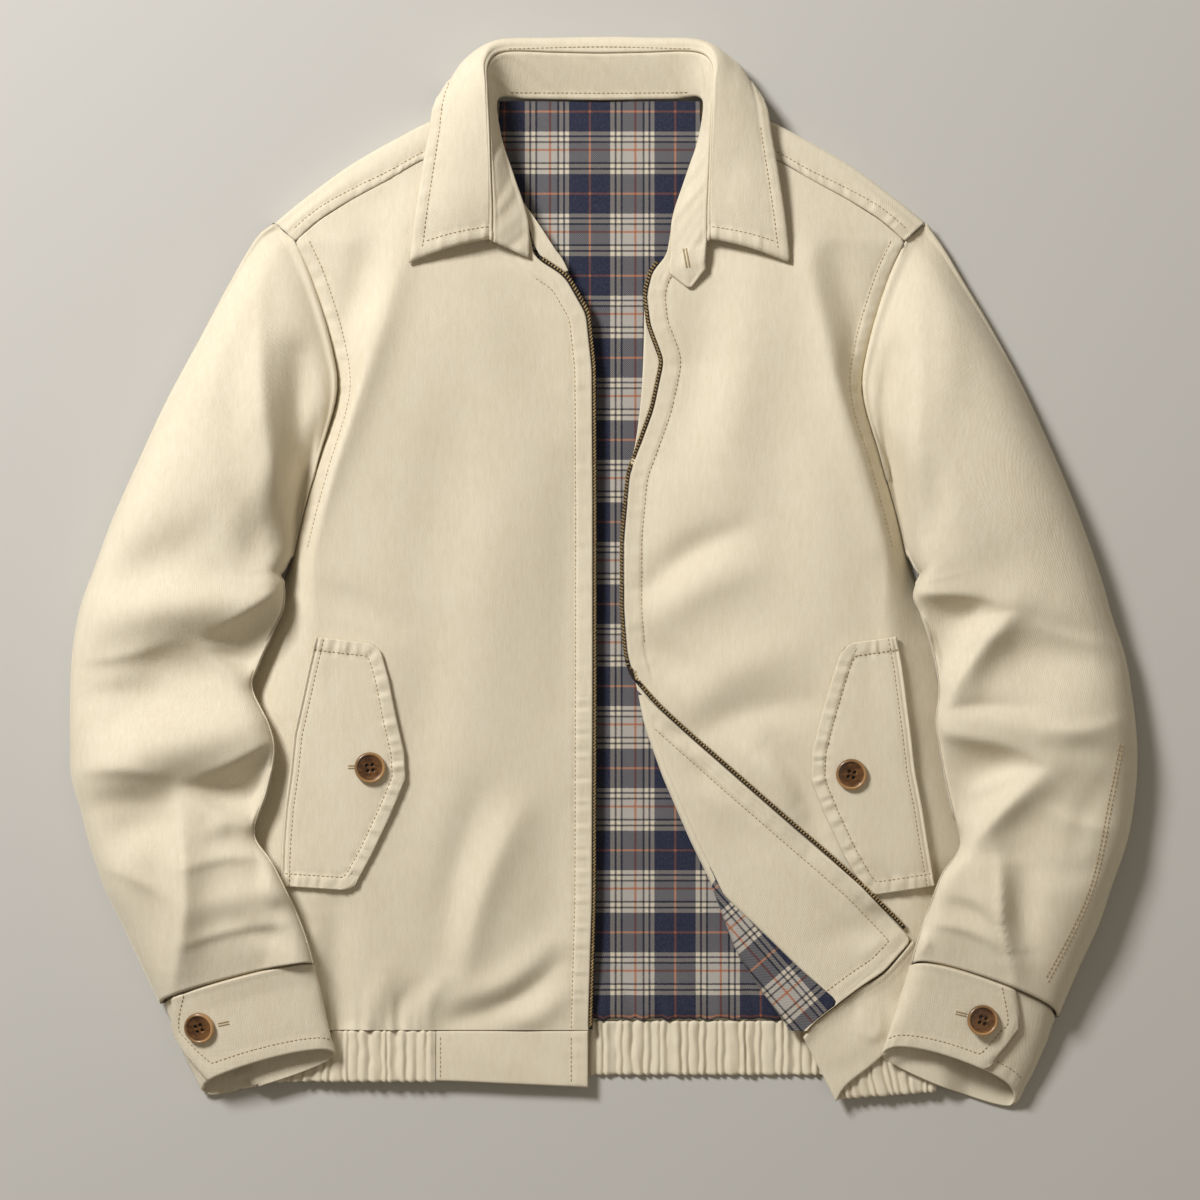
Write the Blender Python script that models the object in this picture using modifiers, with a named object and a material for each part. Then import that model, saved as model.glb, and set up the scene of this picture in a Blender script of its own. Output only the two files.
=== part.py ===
"""A harrington jacket laid open on a flat surface, front side up and collar towards +Y.

Every piece that is cut and sewn is one closed solid. Tables are in millimetres in the garment's
layout: x from the centre back line, +x towards the wearer's left, y up from the lower edge of
the right hem, z up from the surface. A piece of cloth is a wall between two grids of points, with
a row for each section and a column for each place along it.
"""

import math

import bmesh
import bpy
import numpy as np
from mathutils import Vector
from mathutils.bvhtree import BVHTree

MM = 0.001

# ---------------------------------------------------------------- driving dimensions, mm
SHELL = 1.6  # outer cloth
LINING = 1.0  # plaid lining and facing
BAND = 2.0  # doubled cloth of hem bands, collar and cuffs
FLAP = 2.2  # doubled cloth of a pocket flap
SEAM = 0.3  # space between pieces at a seam
LAID = 0.7  # space over what a piece lies on
ORIGIN = (2.6, 349.0)  # layout point that stands at the middle of the part

BACK_HEM = 45.0  # y of the back's hem seam
FRONT_HEM = 39.0  # y of the fronts' hem seam
UNDERARM = 360.0  # y where side seam and armhole meet
SHOULDER_END = 573.0  # y where the front shoulder seam meets the armhole
RISE_POWER = 1.4  # how roundly the front swells from its side edge
BUTTON_RADIUS = 10.5
BUTTON_THICK = 3.4
BUTTON_RIM = 1.7
BUTTON_CLEARANCE = 0.4
HOLE_RADIUS = 1.2
HOLE_SPREAD = 2.6  # from the button's middle to each hole
GATHER_PITCH = 6.4
GATHER_DEPTH = 1.9
GATHER_FLOOR = 2.4  # thickness of a gathered band between two gathers
ZIP_WIDTH = 3.4  # tape and teeth that show beyond the front edge
ZIP_THICK = 1.2
ARMHOLE_GAP = 0.55
SLEEVE_SEAM = 7.0  # height of the sleeve's two seams over what it lies on

# ---------------------------------------------------------------- outlines, mm
# The body's outer edge, alike on both sides: side seam, armholes and shoulder seams, x and y.
SIDE_EDGE = [(228, 39), (238, 76), (243, 100.5), (249, 156), (244, 254), (235, 297), (217, 334)]
FRONT_SHOULDER = [
    (189.5, 587.5), (168, 601), (143, 614.5), (122.5, 626.5), (95, 639), (72, 648.5),
]
BACK_ARMHOLE = [
    (208, 360), (201, 391), (192, 426), (185, 470), (187.5, 507), (198, 540), (207, 556),
    (221.5, 586.5),
]
FRONT_ARMHOLE = [
    (208, 360), (200.5, 391), (190.5, 426), (178, 470), (181.5, 503), (194, 545), (206.5, 573),
    (221.5, 586.5),
]
BACK_SHOULDER = [(160, 592), (110, 622), (80, 640), (70, 650), (69, 669)]
# Height of the fronts' outer face at that edge.
EDGE_HEIGHTS = [
    # y, height
    (39, 7.6), (70, 4.6), (110, 3.6), (360, 3.6), (391, 5.5), (426, 7.5), (470, 10),
    (503, 12.5), (545, 14), (573, 15), (590, 16), (650, 16.5),
]
# How far in from that edge the front has risen to its full height.
EDGE_REACH = [
    # y, reach
    (39, 46), (300, 42), (345, 20), (360, 15), (466, 15), (507, 26), (534, 46), (566, 66),
    (650, 66),
]

RIGHT_EDGE = [
    # front edge and neck of the wearer's right front: x, y
    (-8, 39), (-5.5, 126), (-5, 262), (-5, 398), (-5.5, 487), (-9.5, 524), (-24, 549.5), (-45, 562.5),
    (-49, 587.5), (-58.5, 616), (-67.5, 642), (-70, 648.5),
]
LEFT_EDGE = [
    # fold of the turned-back corner, front edge above it, and neck: x, y
    (130, 39), (109, 68), (94, 91), (79, 131), (61, 167.5), (42, 211.5), (30, 245.5), (24.5, 273.5),
    (19, 293), (16.5, 323.5), (16.5, 371.5), (20.5, 415.5), (36.5, 459.5), (43.5, 492.5), (34, 517.5),
    (32, 538), (36, 553.5), (45, 563), (49, 587.5), (58.5, 616), (67.5, 642), (70, 648.5),
]
TURNED_EDGE = [
    # seam of the turned corner with its hem band, then its front edge up to the fold: x, y
    (138, 36), (145.5, 45.5), (162, 58), (175, 68), (192, 79), (211, 100.5), (175.5, 138), (136, 172),
    (95, 207.5), (61, 237.5), (37.5, 258.5), (28, 268),
]
LINING_EDGE = [
    # where the plaid lining meets the facing on the turned corner: x, y
    (137, 39), (150, 49), (162, 58), (136.5, 80), (115.5, 100.5), (92.5, 122.5), (82, 132.5), (70, 152),
    (66, 165), (48, 205), (33, 255), (28, 268),
]
FRONT_SHARES = [0.0, 0.15, 0.35, 0.6, 0.85, 1.0]
RIGHT_HEIGHTS = [
    # y, then the height of the outer face at each share of the way from side to front edge
    (39, 9.5, 9.5, 10, 10, 10, 10),
    (92, 15, 15, 17, 16, 13, 11.5),
    (160, 18, 19, 22, 19, 14.5, 12),
    (215, 20, 21, 24, 21, 15, 12),
    (330, 25, 25, 25, 21, 15, 12),
    (432, 29, 28, 26, 22, 16, 12.5),
    (514, 28, 29, 27, 24, 18, 14),
    (568, 22, 23, 25, 24, 20, 17),
    (650, 16.5, 16.5, 17, 17.5, 17.5, 17),
]
LEFT_HEIGHTS = [
    (39, 8.5, 8.5, 8.5, 8, 7.8, 7.6),
    (92, 11, 11, 10, 9, 8.2, 7.6),
    (160, 18, 19, 18, 14, 9.5, 7.8),
    (215, 20, 21, 22, 19, 12, 8.5),
    (330, 25, 25, 25, 21, 14.5, 11.5),
    (432, 29, 28, 26, 22, 16, 12.5),
    (514, 28, 29, 27, 24, 18, 14),
    (568, 22, 23, 25, 24, 20, 17),
    (650, 16.5, 16.5, 17, 17.5, 17.5, 17),
]
LINING_WIDTHS = [
    # half width of the back lining, y
    (218, 47), (230, 85), (236, 160), (228, 262), (208, 335), (196, 372), (184, 440), (187, 500),
    (196, 548), (150, 585), (100, 615), (72, 640), (64, 668.3),
]

# Shoulder strips, from armhole to neck: front seam, fold, back seam and height of the front seam.
SHOULDER = [
    # seam x, y, fold x, y, back x, y, height
    (205.9, 573.3, 220.3, 586.3, 206.5, 556.6, 15.0),
    (189.5, 587.5, 202.5, 601, 184, 573.8, 16.0),
    (168, 601, 170, 625, 160, 592.3, 16.0),
    (143, 614.5, 136, 644.5, 135, 607.3, 16.5),
    (122.5, 626.5, 113, 656, 110, 622.3, 16.5),
    (95, 639, 88.5, 664, 88, 635.5, 16.5),
    (74, 648.5, 73, 667, 72, 650.5, 15.5),
]

# Sleeves, a row for each section from armhole to cuff: outer and inner edge, how much of the
# armhole's curve is left, heights of crown and inner ridge, and how far the crown leans back.
RIGHT_SLEEVE = [
    # outer x, y, inner x, y, curve, crown, ridge, lean
    (-221.5, 586.5, -208.0, 360, 1.00, 14, 15, 0),
    (-234, 575.5, -209.5, 358.5, 0.86, 26, 28, 0),
    (-252.5, 544, -210.5, 356.5, 0.70, 38, 38, 0),
    (-272, 507.5, -211.5, 354.5, 0.55, 44, 43, 0),
    (-294, 466.5, -212.5, 352, 0.40, 47, 46, 0),
    (-313, 425.5, -214, 349.5, 0.25, 48, 47, 0),
    (-331, 385, -215.5, 347, 0.10, 47, 46, 0),
    (-343.5, 351, -212.5, 341, 0.00, 45, 43, 0),
    (-352, 328, -213, 325.5, 0.00, 45, 43, 0),
    (-357, 303.5, -220.5, 308.5, 0.00, 43, 38, 0),
    (-359, 279.5, -230, 288.5, 0.00, 40, 32, 0),
    (-359.5, 255.5, -234.5, 271.5, 0.00, 41, 34, 0),
    (-359.5, 232, -223, 247.5, 0.00, 44, 40, 0),
    (-358.5, 209.5, -219, 228.5, 0.00, 44, 40, 0),
    (-352, 186.5, -224.5, 201.5, 0.00, 41, 34, 0),
    (-345.5, 162, -233, 173.5, 0.00, 40, 34, 0),
    (-336, 134.5, -219.5, 152.5, 0.00, 40, 36, 0),
    (-323.5, 109, -205.5, 123, 0.00, 38, 35, 0),
    (-311, 82.5, -197, 100.5, 0.00, 35, 32, 3),
    (-298.5, 56.5, -193, 85.5, 0.00, 30, 29, 6),
]
LEFT_SLEEVE = [
    (221.5, 586.5, 208.0, 360, 1.00, 14, 15, 0),
    (233, 570, 209.5, 358.5, 0.86, 26, 28, 0),
    (246, 548, 210.5, 356.5, 0.70, 38, 38, 0),
    (263, 519.5, 211.5, 354.5, 0.55, 44, 43, 0),
    (283, 483, 212.5, 352, 0.40, 47, 46, 0),
    (301, 444.5, 214, 349.5, 0.25, 48, 47, 0),
    (318, 405.5, 215.5, 347, 0.10, 47, 46, 0),
    (331, 371.5, 212.5, 341, 0.00, 45, 43, 0),
    (340.5, 344, 211, 331, 0.00, 44, 42, 0),
    (348, 318, 217.5, 317.5, 0.00, 43, 39, 0),
    (356.5, 292.5, 224.5, 294.5, 0.00, 41, 35, 0),
    (361, 266, 228, 269.5, 0.00, 43, 38, 0),
    (364, 240.5, 226, 247.5, 0.00, 44, 40, 0),
    (364.5, 216, 231, 217.5, 0.00, 43, 38, 0),
    (362, 189, 237.5, 189, 0.00, 41, 34, 0),
    (357, 164, 243, 165, 0.00, 41, 35, 0),
    (348, 138.5, 230, 145.5, 0.00, 42, 38, 0),
    (338.5, 110, 221, 121, 0.00, 40, 37, 0),
    (325.5, 81.5, 213.5, 100.5, 0.00, 37, 34, 5),
    (311, 47, 209.5, 85, 0.00, 33, 31, 10),
]
# The largest folds of the sleeves: a ridge (height above 0) or trough (below 0) between two
# points, with its half width.
RIGHT_FOLDS = [
    # from x, y, to x, y, height, half width
    (-347, 315.5, -215, 334.5, 7, 18),
    (-326.5, 344, -268.5, 371.5, -6, 18),
    (-268.5, 303.5, -230, 303.5, -12, 15),
    (-326.5, 284, -245, 284, -5, 20),
    (-350, 216, -224.5, 247.5, 8, 18),
    (-280, 206.5, -230, 201.5, -12, 15),
    (-334.5, 168.5, -291, 190.5, -7, 16),
    (-279, 181, -285.5, 82.5, 6, 16),
    (-306, 140, -300.5, 75.5, -5, 14),
]
LEFT_FOLDS = [
    (232.5, 266.5, 276, 326.5, 9, 14),
    (228, 317, 266.5, 325, -11, 16),
    (238, 258.5, 357, 227, 6, 18),
    (272, 289.5, 333, 296.5, -5, 22),
    (248, 172.5, 299, 216, 9, 14),
    (239.5, 215, 285.5, 218.5, -12, 16),
    (262, 160.5, 272, 85.5, 6, 14),
    (280, 153.5, 284, 92.5, -7, 14),
]
# A half sleeve's section: share of the width from outer to inner edge, height of the upper half
# as a share of the crown, and of the lower half as a share of the seam's height.
SECTION = [
    # width, upper, lower
    (0.00, 0.00, 1.00), (0.02, 0.30, 0.32), (0.06, 0.54, 0.04), (0.13, 0.76, 0.00),
    (0.24, 0.92, 0.00), (0.38, 1.00, 0.00), (0.54, 1.00, 0.00), (0.70, 1.00, 0.00),
    (0.83, 1.00, 0.00), (0.93, 0.90, 0.04), (0.98, 0.55, 0.32), (1.00, 0.00, 1.00),
]

# Cuffs, from seam to mouth.
RIGHT_CUFF = [
    # outer x, y, inner x, y, height, lean
    (-298.0, 55.3, -192.6, 84.3, 30, 6),
    (-292, 39, -188.8, 69, 27, 7),
    (-283, 17, -183.5, 43.5, 25, 8.5),
    (-272, -4, -179, 24, 23, 10),
]
LEFT_CUFF = [
    (310.5, 45.8, 209.0, 83.8, 32, 10),
    (304.5, 28, 204, 67, 29, 11),
    (295.5, 8, 196.5, 43.5, 26, 13),
    (284, -12, 190.5, 24, 24, 15),
]

# Collar, from the front end to the centre back: face of stand and leaf, seen from the neck.
COLLAR = [
    # neck seam x, y, height, leaf seam x, y, height, roll x, y, height
    # then the leaf's middle x, y, height, and its edge x, y, height
    (47.5, 561.5, 19.6, 72, 572, 27, 77, 573, 28.0, 102, 567, 31, 128.5, 557.5, 29.0),
    (48.5, 587.5, 19.8, 72, 595.5, 30, 77, 597.5, 32.0, 100.5, 594.5, 33, 125, 589, 30.5),
    (57, 614.5, 19.8, 73, 619.5, 32, 77.5, 623, 33.5, 99.5, 620, 32, 121, 616, 28.0),
    (66, 642, 19.8, 74, 646.5, 33, 79, 650, 34.5, 98, 647.5, 31, 116.5, 642.5, 25.0),
    (69.5, 664, 16.5, 75.5, 673, 32, 80, 677, 33.5, 98, 675, 26, 111.5, 668, 19.0),
    (66, 671.5, 9.0, 75, 692, 26, 81, 697, 26.0, 94, 694, 13, 97, 682, 2.0),
    (53, 671, 4.6, 64, 701, 17, 68, 709.3, 15.0, 70.5, 706.5, 4, 66, 681, 0.1),
    (27, 670.5, 4.2, 30, 701, 14, 30.5, 710.8, 11.5, 30.5, 708.5, 3.5, 30, 681, 0.0),
    (0, 670, 4.2, 0, 700.5, 13.5, 0, 711, 11.0, 0, 709, 3.5, 0, 681, 0.0),
]

POCKET_RIGHT = [
    # hinge x, y, free edge x, y, from the upper end down
    (-192, 306, -149, 301),
    (-197, 285, -142.5, 278),
    (-202, 262, -137.5, 252),
    (-207, 240, -132, 228),
    (-209.5, 215, -131, 210),
    (-213, 190, -140, 188),
    (-215, 165, -153, 160),
    (-216, 137, -167, 134),
]
POCKET_LEFT = [
    (200, 306, 164, 301),
    (204, 285, 156.5, 278),
    (207, 262, 149, 252),
    (210, 240, 143, 228),
    (213, 215, 142.5, 208),
    (218, 190, 151.5, 186),
    (222, 165, 164.5, 158),
    (227, 137, 181, 130),
]
BUTTONS = {
    "button_pocket_right": (-155, 217.5),
    "button_pocket_left": (169.5, 213),
    "button_cuff_right": (-270, 42),
    "button_cuff_left": (257.5, 47.5),
}

# Colours of the real thing: red, green, blue and roughness.
CREAM = (0.66, 0.56, 0.40, 0.9)
PLAID = (0.08, 0.09, 0.16, 0.85)
HORN = (0.16, 0.07, 0.025, 0.35)
TAPE = (0.03, 0.02, 0.015, 0.7)
BRASS = (0.35, 0.24, 0.09, 0.4)


# ---------------------------------------------------------------- curves and grids
def smooth(t):
    """An S-shaped step from 0 to 1 as t goes from 0 to 1."""
    t = np.clip(t, 0.0, 1.0)
    return t * t * (3.0 - 2.0 * t)


def curved(points, per_span=4):
    """Points along a Catmull-Rom curve through the rows of a table."""
    table = np.array(points, float)
    ends = np.vstack([2 * table[0] - table[1], table, 2 * table[-1] - table[-2]])
    t = np.arange(per_span)[:, None] / per_span
    spans = []
    for before, start, end, after in zip(ends, ends[1:], ends[2:], ends[3:]):
        tangent = 0.5 * (end - before)
        leaving = 0.5 * (after - start)
        spans.append(
            (2 * t**3 - 3 * t**2 + 1) * start
            + (t**3 - 2 * t**2 + t) * tangent
            + (3 * t**2 - 2 * t**3) * end
            + (t**3 - t**2) * leaving
        )
    return np.vstack(spans + [table[-1:]])


def across(points):
    """The x of an outline at any y."""
    outline = np.array(points, float)
    outline = outline[np.argsort(outline[:, 1])]
    return lambda y: np.interp(y, outline[:, 1], outline[:, 0])


def along(points, shares):
    """Points at shares of a line's length."""
    line = np.array(points, float)
    length = np.concatenate([[0.0], np.cumsum(np.linalg.norm(np.diff(line, axis=0), axis=1))])
    shares = np.asarray(shares) * length[-1]
    return np.stack([np.interp(shares, length, column) for column in line.T], axis=-1)


ARMHOLE_SHARES = [0.09, 0.20, 0.33, 0.47, 0.61, 0.75, 0.87, 0.95, 1.0]


def armhole(points):
    """An armhole from the tip of the shoulder to the underarm, a point for each sleeve column."""
    tip = np.array(points[-1], float)
    corner = np.array(points[-2], float)
    below = along(curved(points[:-1])[::-1], ARMHOLE_SHARES)
    return np.vstack([tip, 0.5 * (tip + corner), corner, below])


def body_outline(armhole_points, shoulder):
    """The body's outer edge, x and y: side, then armhole up to the strip, then shoulder."""
    kept = [tuple(point) for point in armhole(armhole_points)[:1:-1]]
    return SIDE_EDGE + kept + shoulder


def rows_of(outline, levels):
    """The levels of an outline's points and some more, in order and not too close together."""
    rows = sorted(point[1] for point in outline)
    for level in levels:
        if min(abs(level - row) for row in rows) > 4.0:
            rows = sorted(rows + [level])
    return rows


def unit(vectors):
    return vectors / np.maximum(np.linalg.norm(vectors, axis=-1, keepdims=True), 1e-9)


def grid_normals(grid):
    return unit(np.cross(np.gradient(grid, axis=1), np.gradient(grid, axis=0)))


def quads_of(index):
    """The four corners of each cell of a grid of point numbers."""
    corners = [index[:-1, :-1], index[:-1, 1:], index[1:, 1:], index[1:, :-1]]
    return [tuple(int(i) for i in quad) for quad in np.stack(corners, -1).reshape(-1, 4)]


def up(grid, height):
    """A copy of a grid of points, raised by a height."""
    raised = np.array(grid, float)
    raised[..., 2] += height
    return raised


def segment_distance(x, y, fold):
    """How far points are from the line between a fold's two ends."""
    start = np.array(fold[0:2])
    run = np.array(fold[2:4]) - start
    t = np.clip(((x - start[0]) * run[0] + (y - start[1]) * run[1]) / run.dot(run), 0.0, 1.0)
    return np.hypot(x - start[0] - t * run[0], y - start[1] - t * run[1])


# ---------------------------------------------------------------- objects
def clear_scene():
    for old in list(bpy.data.objects):
        bpy.data.objects.remove(old, do_unlink=True)


def material(name, look):
    made = bpy.data.materials.new(name)
    made.use_nodes = True
    shader = made.node_tree.nodes["Principled BSDF"]
    shader.inputs["Base Color"].default_value = (*look[:3], 1.0)
    shader.inputs["Roughness"].default_value = look[3]
    shader.inputs["Metallic"].default_value = 1.0 if look is BRASS else 0.0
    return made


COVER_REPEATS = 24  # how many net steps a slope is carried outwards


class Relief:
    """The height of what has been laid down so far, on a square net of points."""

    STEP = 2.0
    X0, X1, Y0, Y1 = -390.0, 390.0, -40.0, 740.0

    def __init__(self):
        self.xs = np.arange(self.X0, self.X1, self.STEP)
        self.ys = np.arange(self.Y0, self.Y1, self.STEP)
        self.height = np.zeros((len(self.ys), len(self.xs)))

    def add(self, points, quads):
        tree = BVHTree.FromPolygons([tuple(p) for p in points], quads)
        low = points.min(axis=0)
        high = points.max(axis=0)
        down = Vector((0.0, 0.0, -1.0))
        for row in np.flatnonzero((self.ys > low[1]) & (self.ys < high[1])):
            for column in np.flatnonzero((self.xs > low[0]) & (self.xs < high[0])):
                hit = tree.ray_cast(Vector((self.xs[column], self.ys[row], 200.0)), down)[0]
                if hit is not None:
                    self.height[row, column] = max(self.height[row, column], hit.z)

    def sample(self, field, x, y):
        """The value at any points of a field that is held on the net."""
        column = (np.asarray(x, float) - self.X0) / self.STEP
        row = (np.asarray(y, float) - self.Y0) / self.STEP
        c = np.clip(column.astype(int), 0, len(self.xs) - 2)
        r = np.clip(row.astype(int), 0, len(self.ys) - 2)
        u = column - c
        v = row - r
        low = field[r, c] * (1 - u) + field[r, c + 1] * u
        high = field[r + 1, c] * (1 - u) + field[r + 1, c + 1] * u
        return low * (1 - v) + high * v

    def cover(self, clearance, slope, widen=2):
        """A function giving the height of a cloth laid over everything.

        The cloth is no steeper than slope, and each height first spreads by widen net steps.
        """
        cloth = np.where(self.height > 0.0, self.height + clearance, 0.0)
        steps = [(-1, 0), (1, 0), (0, -1), (0, 1), (-1, -1), (-1, 1), (1, -1), (1, 1)]
        for repeat in range(COVER_REPEATS):
            for dy, dx in steps:
                drop = slope * self.STEP * math.hypot(dx, dy) if repeat >= widen else 0.0
                cloth = np.maximum(cloth, np.roll(cloth, (dy, dx), (0, 1)) - drop)
        return lambda x, y: self.sample(cloth, x, y)


class Jacket:
    """Collects the pieces in one collection, in metres from the part's origin."""

    def __init__(self):
        self.collection = bpy.data.collections.new("harrington_jacket")
        bpy.context.scene.collection.children.link(self.collection)
        self.cutters = bpy.data.collections.new("cutters")
        bpy.context.scene.collection.children.link(self.cutters)
        self.relief = Relief()

    def place(self, name, points, faces, look, smooth_faces=False):
        centred = (np.asarray(points) - np.array([*ORIGIN, 0.0])) * MM
        mesh = bpy.data.meshes.new(name)
        mesh.from_pydata([tuple(p) for p in centred], [], faces)
        work = bmesh.new()
        work.from_mesh(mesh)
        bmesh.ops.recalc_face_normals(work, faces=work.faces)
        work.to_mesh(mesh)
        work.free()
        if smooth_faces:
            mesh.shade_smooth()
            mesh.set_sharp_from_angle(angle=math.radians(40))
        placed = bpy.data.objects.new(name, mesh)
        mesh.materials.append(material(name, look))
        self.collection.objects.link(placed)
        return placed

    def wall(self, name, outer, inner, quads, look, laid=True):
        """A closed wall between two sheets of points that share their faces."""
        count = len(outer)
        faces = list(quads) + [tuple(count + i for i in reversed(quad)) for quad in quads]
        edges = {}
        for quad in quads:
            for a, b in zip(quad, quad[1:] + quad[:1]):
                if (b, a) in edges:
                    del edges[(b, a)]
                else:
                    edges[(a, b)] = True
        faces += [(b, a, count + a, count + b) for a, b in edges]
        self.place(name, np.vstack([outer, inner]), faces, look)
        if laid:
            self.relief.add(np.vstack([outer, inner]), faces)

    def grid_wall(self, name, outer, inner, look, laid=True):
        index = np.arange(outer.shape[0] * outer.shape[1]).reshape(outer.shape[:2])
        self.wall(name, outer.reshape(-1, 3), inner.reshape(-1, 3), quads_of(index), look, laid)


# ---------------------------------------------------------------- body
FRONT_OUTLINE = body_outline(FRONT_ARMHOLE, FRONT_SHOULDER)
FRONT_LEVELS = [
    39, 46, 54, 64, 76, 91, 110, 132, 156, 182, 208, 234, 254, 266, 276, 297, 318, 346,
    449, 487, 517, 535, 549.5, 562.5,
]
FRONT_ROWS = rows_of(FRONT_OUTLINE, FRONT_LEVELS)
FRONT_COLUMNS = [0.0, 0.03, 0.08, 0.15, 0.25, 0.4, 0.58, 0.78, 1.0]


def front_face(side, edge, heights):
    """Height of a front's outer face at any point, side being -1 for the wearer's right."""
    outline = across(FRONT_OUTLINE)
    table = np.array(heights, float)
    edge_heights = np.array(EDGE_HEIGHTS, float)
    reaches = np.array(EDGE_REACH, float)

    def height_at(x, y):
        outer = side * outline(y)
        share = np.clip((x - outer) / (edge(y) - outer), 0.0, 1.0)
        levels = np.stack([np.interp(y, table[:, 0], table[:, 1 + k]) for k in range(6)], axis=-1)
        full = np.zeros(np.shape(share))
        for k, (start, end) in enumerate(zip(FRONT_SHARES, FRONT_SHARES[1:])):
            within = np.clip((share - start) / (end - start), 0.0, 1.0)
            step = (levels[..., k + 1] - levels[..., k]) * within
            full = full + step
        full = full + levels[..., 0]
        low = np.interp(y, edge_heights[:, 0], edge_heights[:, 1])
        reach = np.interp(y, reaches[:, 0], reaches[:, 1])
        rise = 1.0 - (1.0 - np.clip(np.abs(x - outer) / reach, 0.0, 1.0)) ** RISE_POWER
        return low + (full - low) * rise

    return height_at


def upright(grid, thickness):
    """The inner face of a nearly level wall: straight below, deeper where the wall is steep."""
    normals = grid_normals(grid)
    steep = 1.0 / np.clip(np.abs(normals[..., 2]), 0.5, 1.0)
    inner = np.array(grid)
    inner[..., 2] = np.maximum(grid[..., 2] - thickness * steep, SHELL + SEAM + 0.05)
    return inner


def body_grid(rows, start, end, shares, face):
    y = np.array(rows, float)[:, None]
    x = start(y) + (end(y) - start(y)) * np.array(shares)
    y = np.broadcast_to(y, x.shape)
    return np.stack([x, y, face(x, y)], axis=-1)


def flat(height):
    return lambda x, y: np.full(np.shape(x), float(height))


def make_back(jacket):
    corners = body_outline(BACK_ARMHOLE, BACK_SHOULDER)
    outline = across(corners)
    shares = np.linspace(0.0, 1.0, 3)
    rows = [row for row in rows_of(corners, [BACK_HEM]) if row >= BACK_HEM]
    top = body_grid(rows, lambda y: -outline(y), outline, shares, flat(SHELL))
    jacket.grid_wall("back", top, up(top, -SHELL), CREAM)
    lining = across(LINING_WIDTHS)
    rows = [point[1] for point in LINING_WIDTHS]
    top = body_grid(rows, lambda y: -lining(y), lining, shares, flat(SHELL + SEAM + LINING))
    jacket.grid_wall("back_lining", top, up(top, -LINING), PLAID)


def gathers(jacket, name, lower_edge, upper_edge, heights):
    """A gathered band between two edges, each from x, y to x, y, with even waves across it.

    The band's underside follows heights, a table of x and height.
    """
    edges = np.array([lower_edge, upper_edge], float)
    count = round(float(np.ptp(edges[..., 0], axis=1).mean()) / GATHER_PITCH)
    shares = np.linspace(0.0, 1.0, 2 * count + 1)[None, :, None]
    plan = edges[:, :1] + (edges[:, 1:] - edges[:, :1]) * shares
    table = np.array(heights, float)
    under = np.interp(plan[..., :1], table[:, 0], table[:, 1])
    grid = np.concatenate([plan, under], axis=-1)
    wave = np.arange(grid.shape[1]) % 2
    jacket.grid_wall(name, up(grid, GATHER_FLOOR + GATHER_DEPTH * wave), grid, CREAM)


def make_right_front(jacket):
    outline = across(FRONT_OUTLINE)
    edge = across(RIGHT_EDGE)
    face = front_face(-1, edge, RIGHT_HEIGHTS)
    top = body_grid(FRONT_ROWS, lambda y: -outline(y), edge, FRONT_COLUMNS, face)
    jacket.grid_wall("front_right", top, upright(top, SHELL), CREAM)
    make_tape(jacket, "zip_tape_right", top[top[:, -1, 1] < 563, -1], 1.0)


# ---------------------------------------------------------------- the turned-back corner
TURN_TOP = 268.0  # y where the corner starts to turn
TURN_ROWS = sum(row < TURN_TOP for row in FRONT_ROWS)  # rows that have a turned part
BEND_COLUMNS = 4
TOP_COLUMNS = 8
LINING_COLUMN = 3  # column of the turned part, after the bend, where lining and facing meet
FOLD_RADIUS = 2.4
SMALL_RADIUS = 0.8


def fold_radius(y):
    """Inner radius of the fold, tighter towards its upper end."""
    return SMALL_RADIUS + (FOLD_RADIUS - SMALL_RADIUS) * np.clip((TURN_TOP - y) / 70.0, 0.0, 1.0)


class TurnedCorner:
    """The rows of points of the turned corner, at any distance from the outer cloth's face."""

    def __init__(self, face, cover):
        self.y = np.array(FRONT_ROWS[:TURN_ROWS], float)
        self.radius = fold_radius(self.y)
        self.centre = across(LEFT_EDGE)(self.y) + self.radius + SHELL
        self.base = face(self.centre, self.y) + self.radius
        end = across(TURNED_EDGE)(self.y)
        meet = np.clip(across(LINING_EDGE)(self.y), self.centre + 3.0, end - 2.0)
        spans = np.arange(1, TOP_COLUMNS + 1)
        first = np.minimum(spans, LINING_COLUMN) / LINING_COLUMN
        last = np.maximum(spans - LINING_COLUMN, 0) / (TOP_COLUMNS - LINING_COLUMN)
        meet = meet[:, None]
        start = self.centre[:, None]
        self.x = start + (meet - start) * first + (end[:, None] - meet) * last
        rows = np.broadcast_to(self.y[:, None], self.x.shape)
        self.level = np.maximum((self.base + self.radius)[:, None], cover(self.x, rows))

    def points(self, away, first=0, last=BEND_COLUMNS + TOP_COLUMNS):
        """Columns first to last, the first of all being where the bend starts."""
        columns = []
        reach = self.radius + away
        for k in range(BEND_COLUMNS + 1):
            angle = math.pi * k / BEND_COLUMNS
            x = self.centre - reach * math.sin(angle)
            level = self.level[:, 0] - self.radius
            middle = np.where(k > BEND_COLUMNS // 2, level, self.base)
            columns.append(np.stack([x, self.y, middle - reach * math.cos(angle)], -1))
        for k in range(TOP_COLUMNS):
            columns.append(np.stack([self.x[:, k], self.y, self.level[:, k] + away], -1))
        return np.stack(columns[first : last + 1], axis=1)


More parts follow.
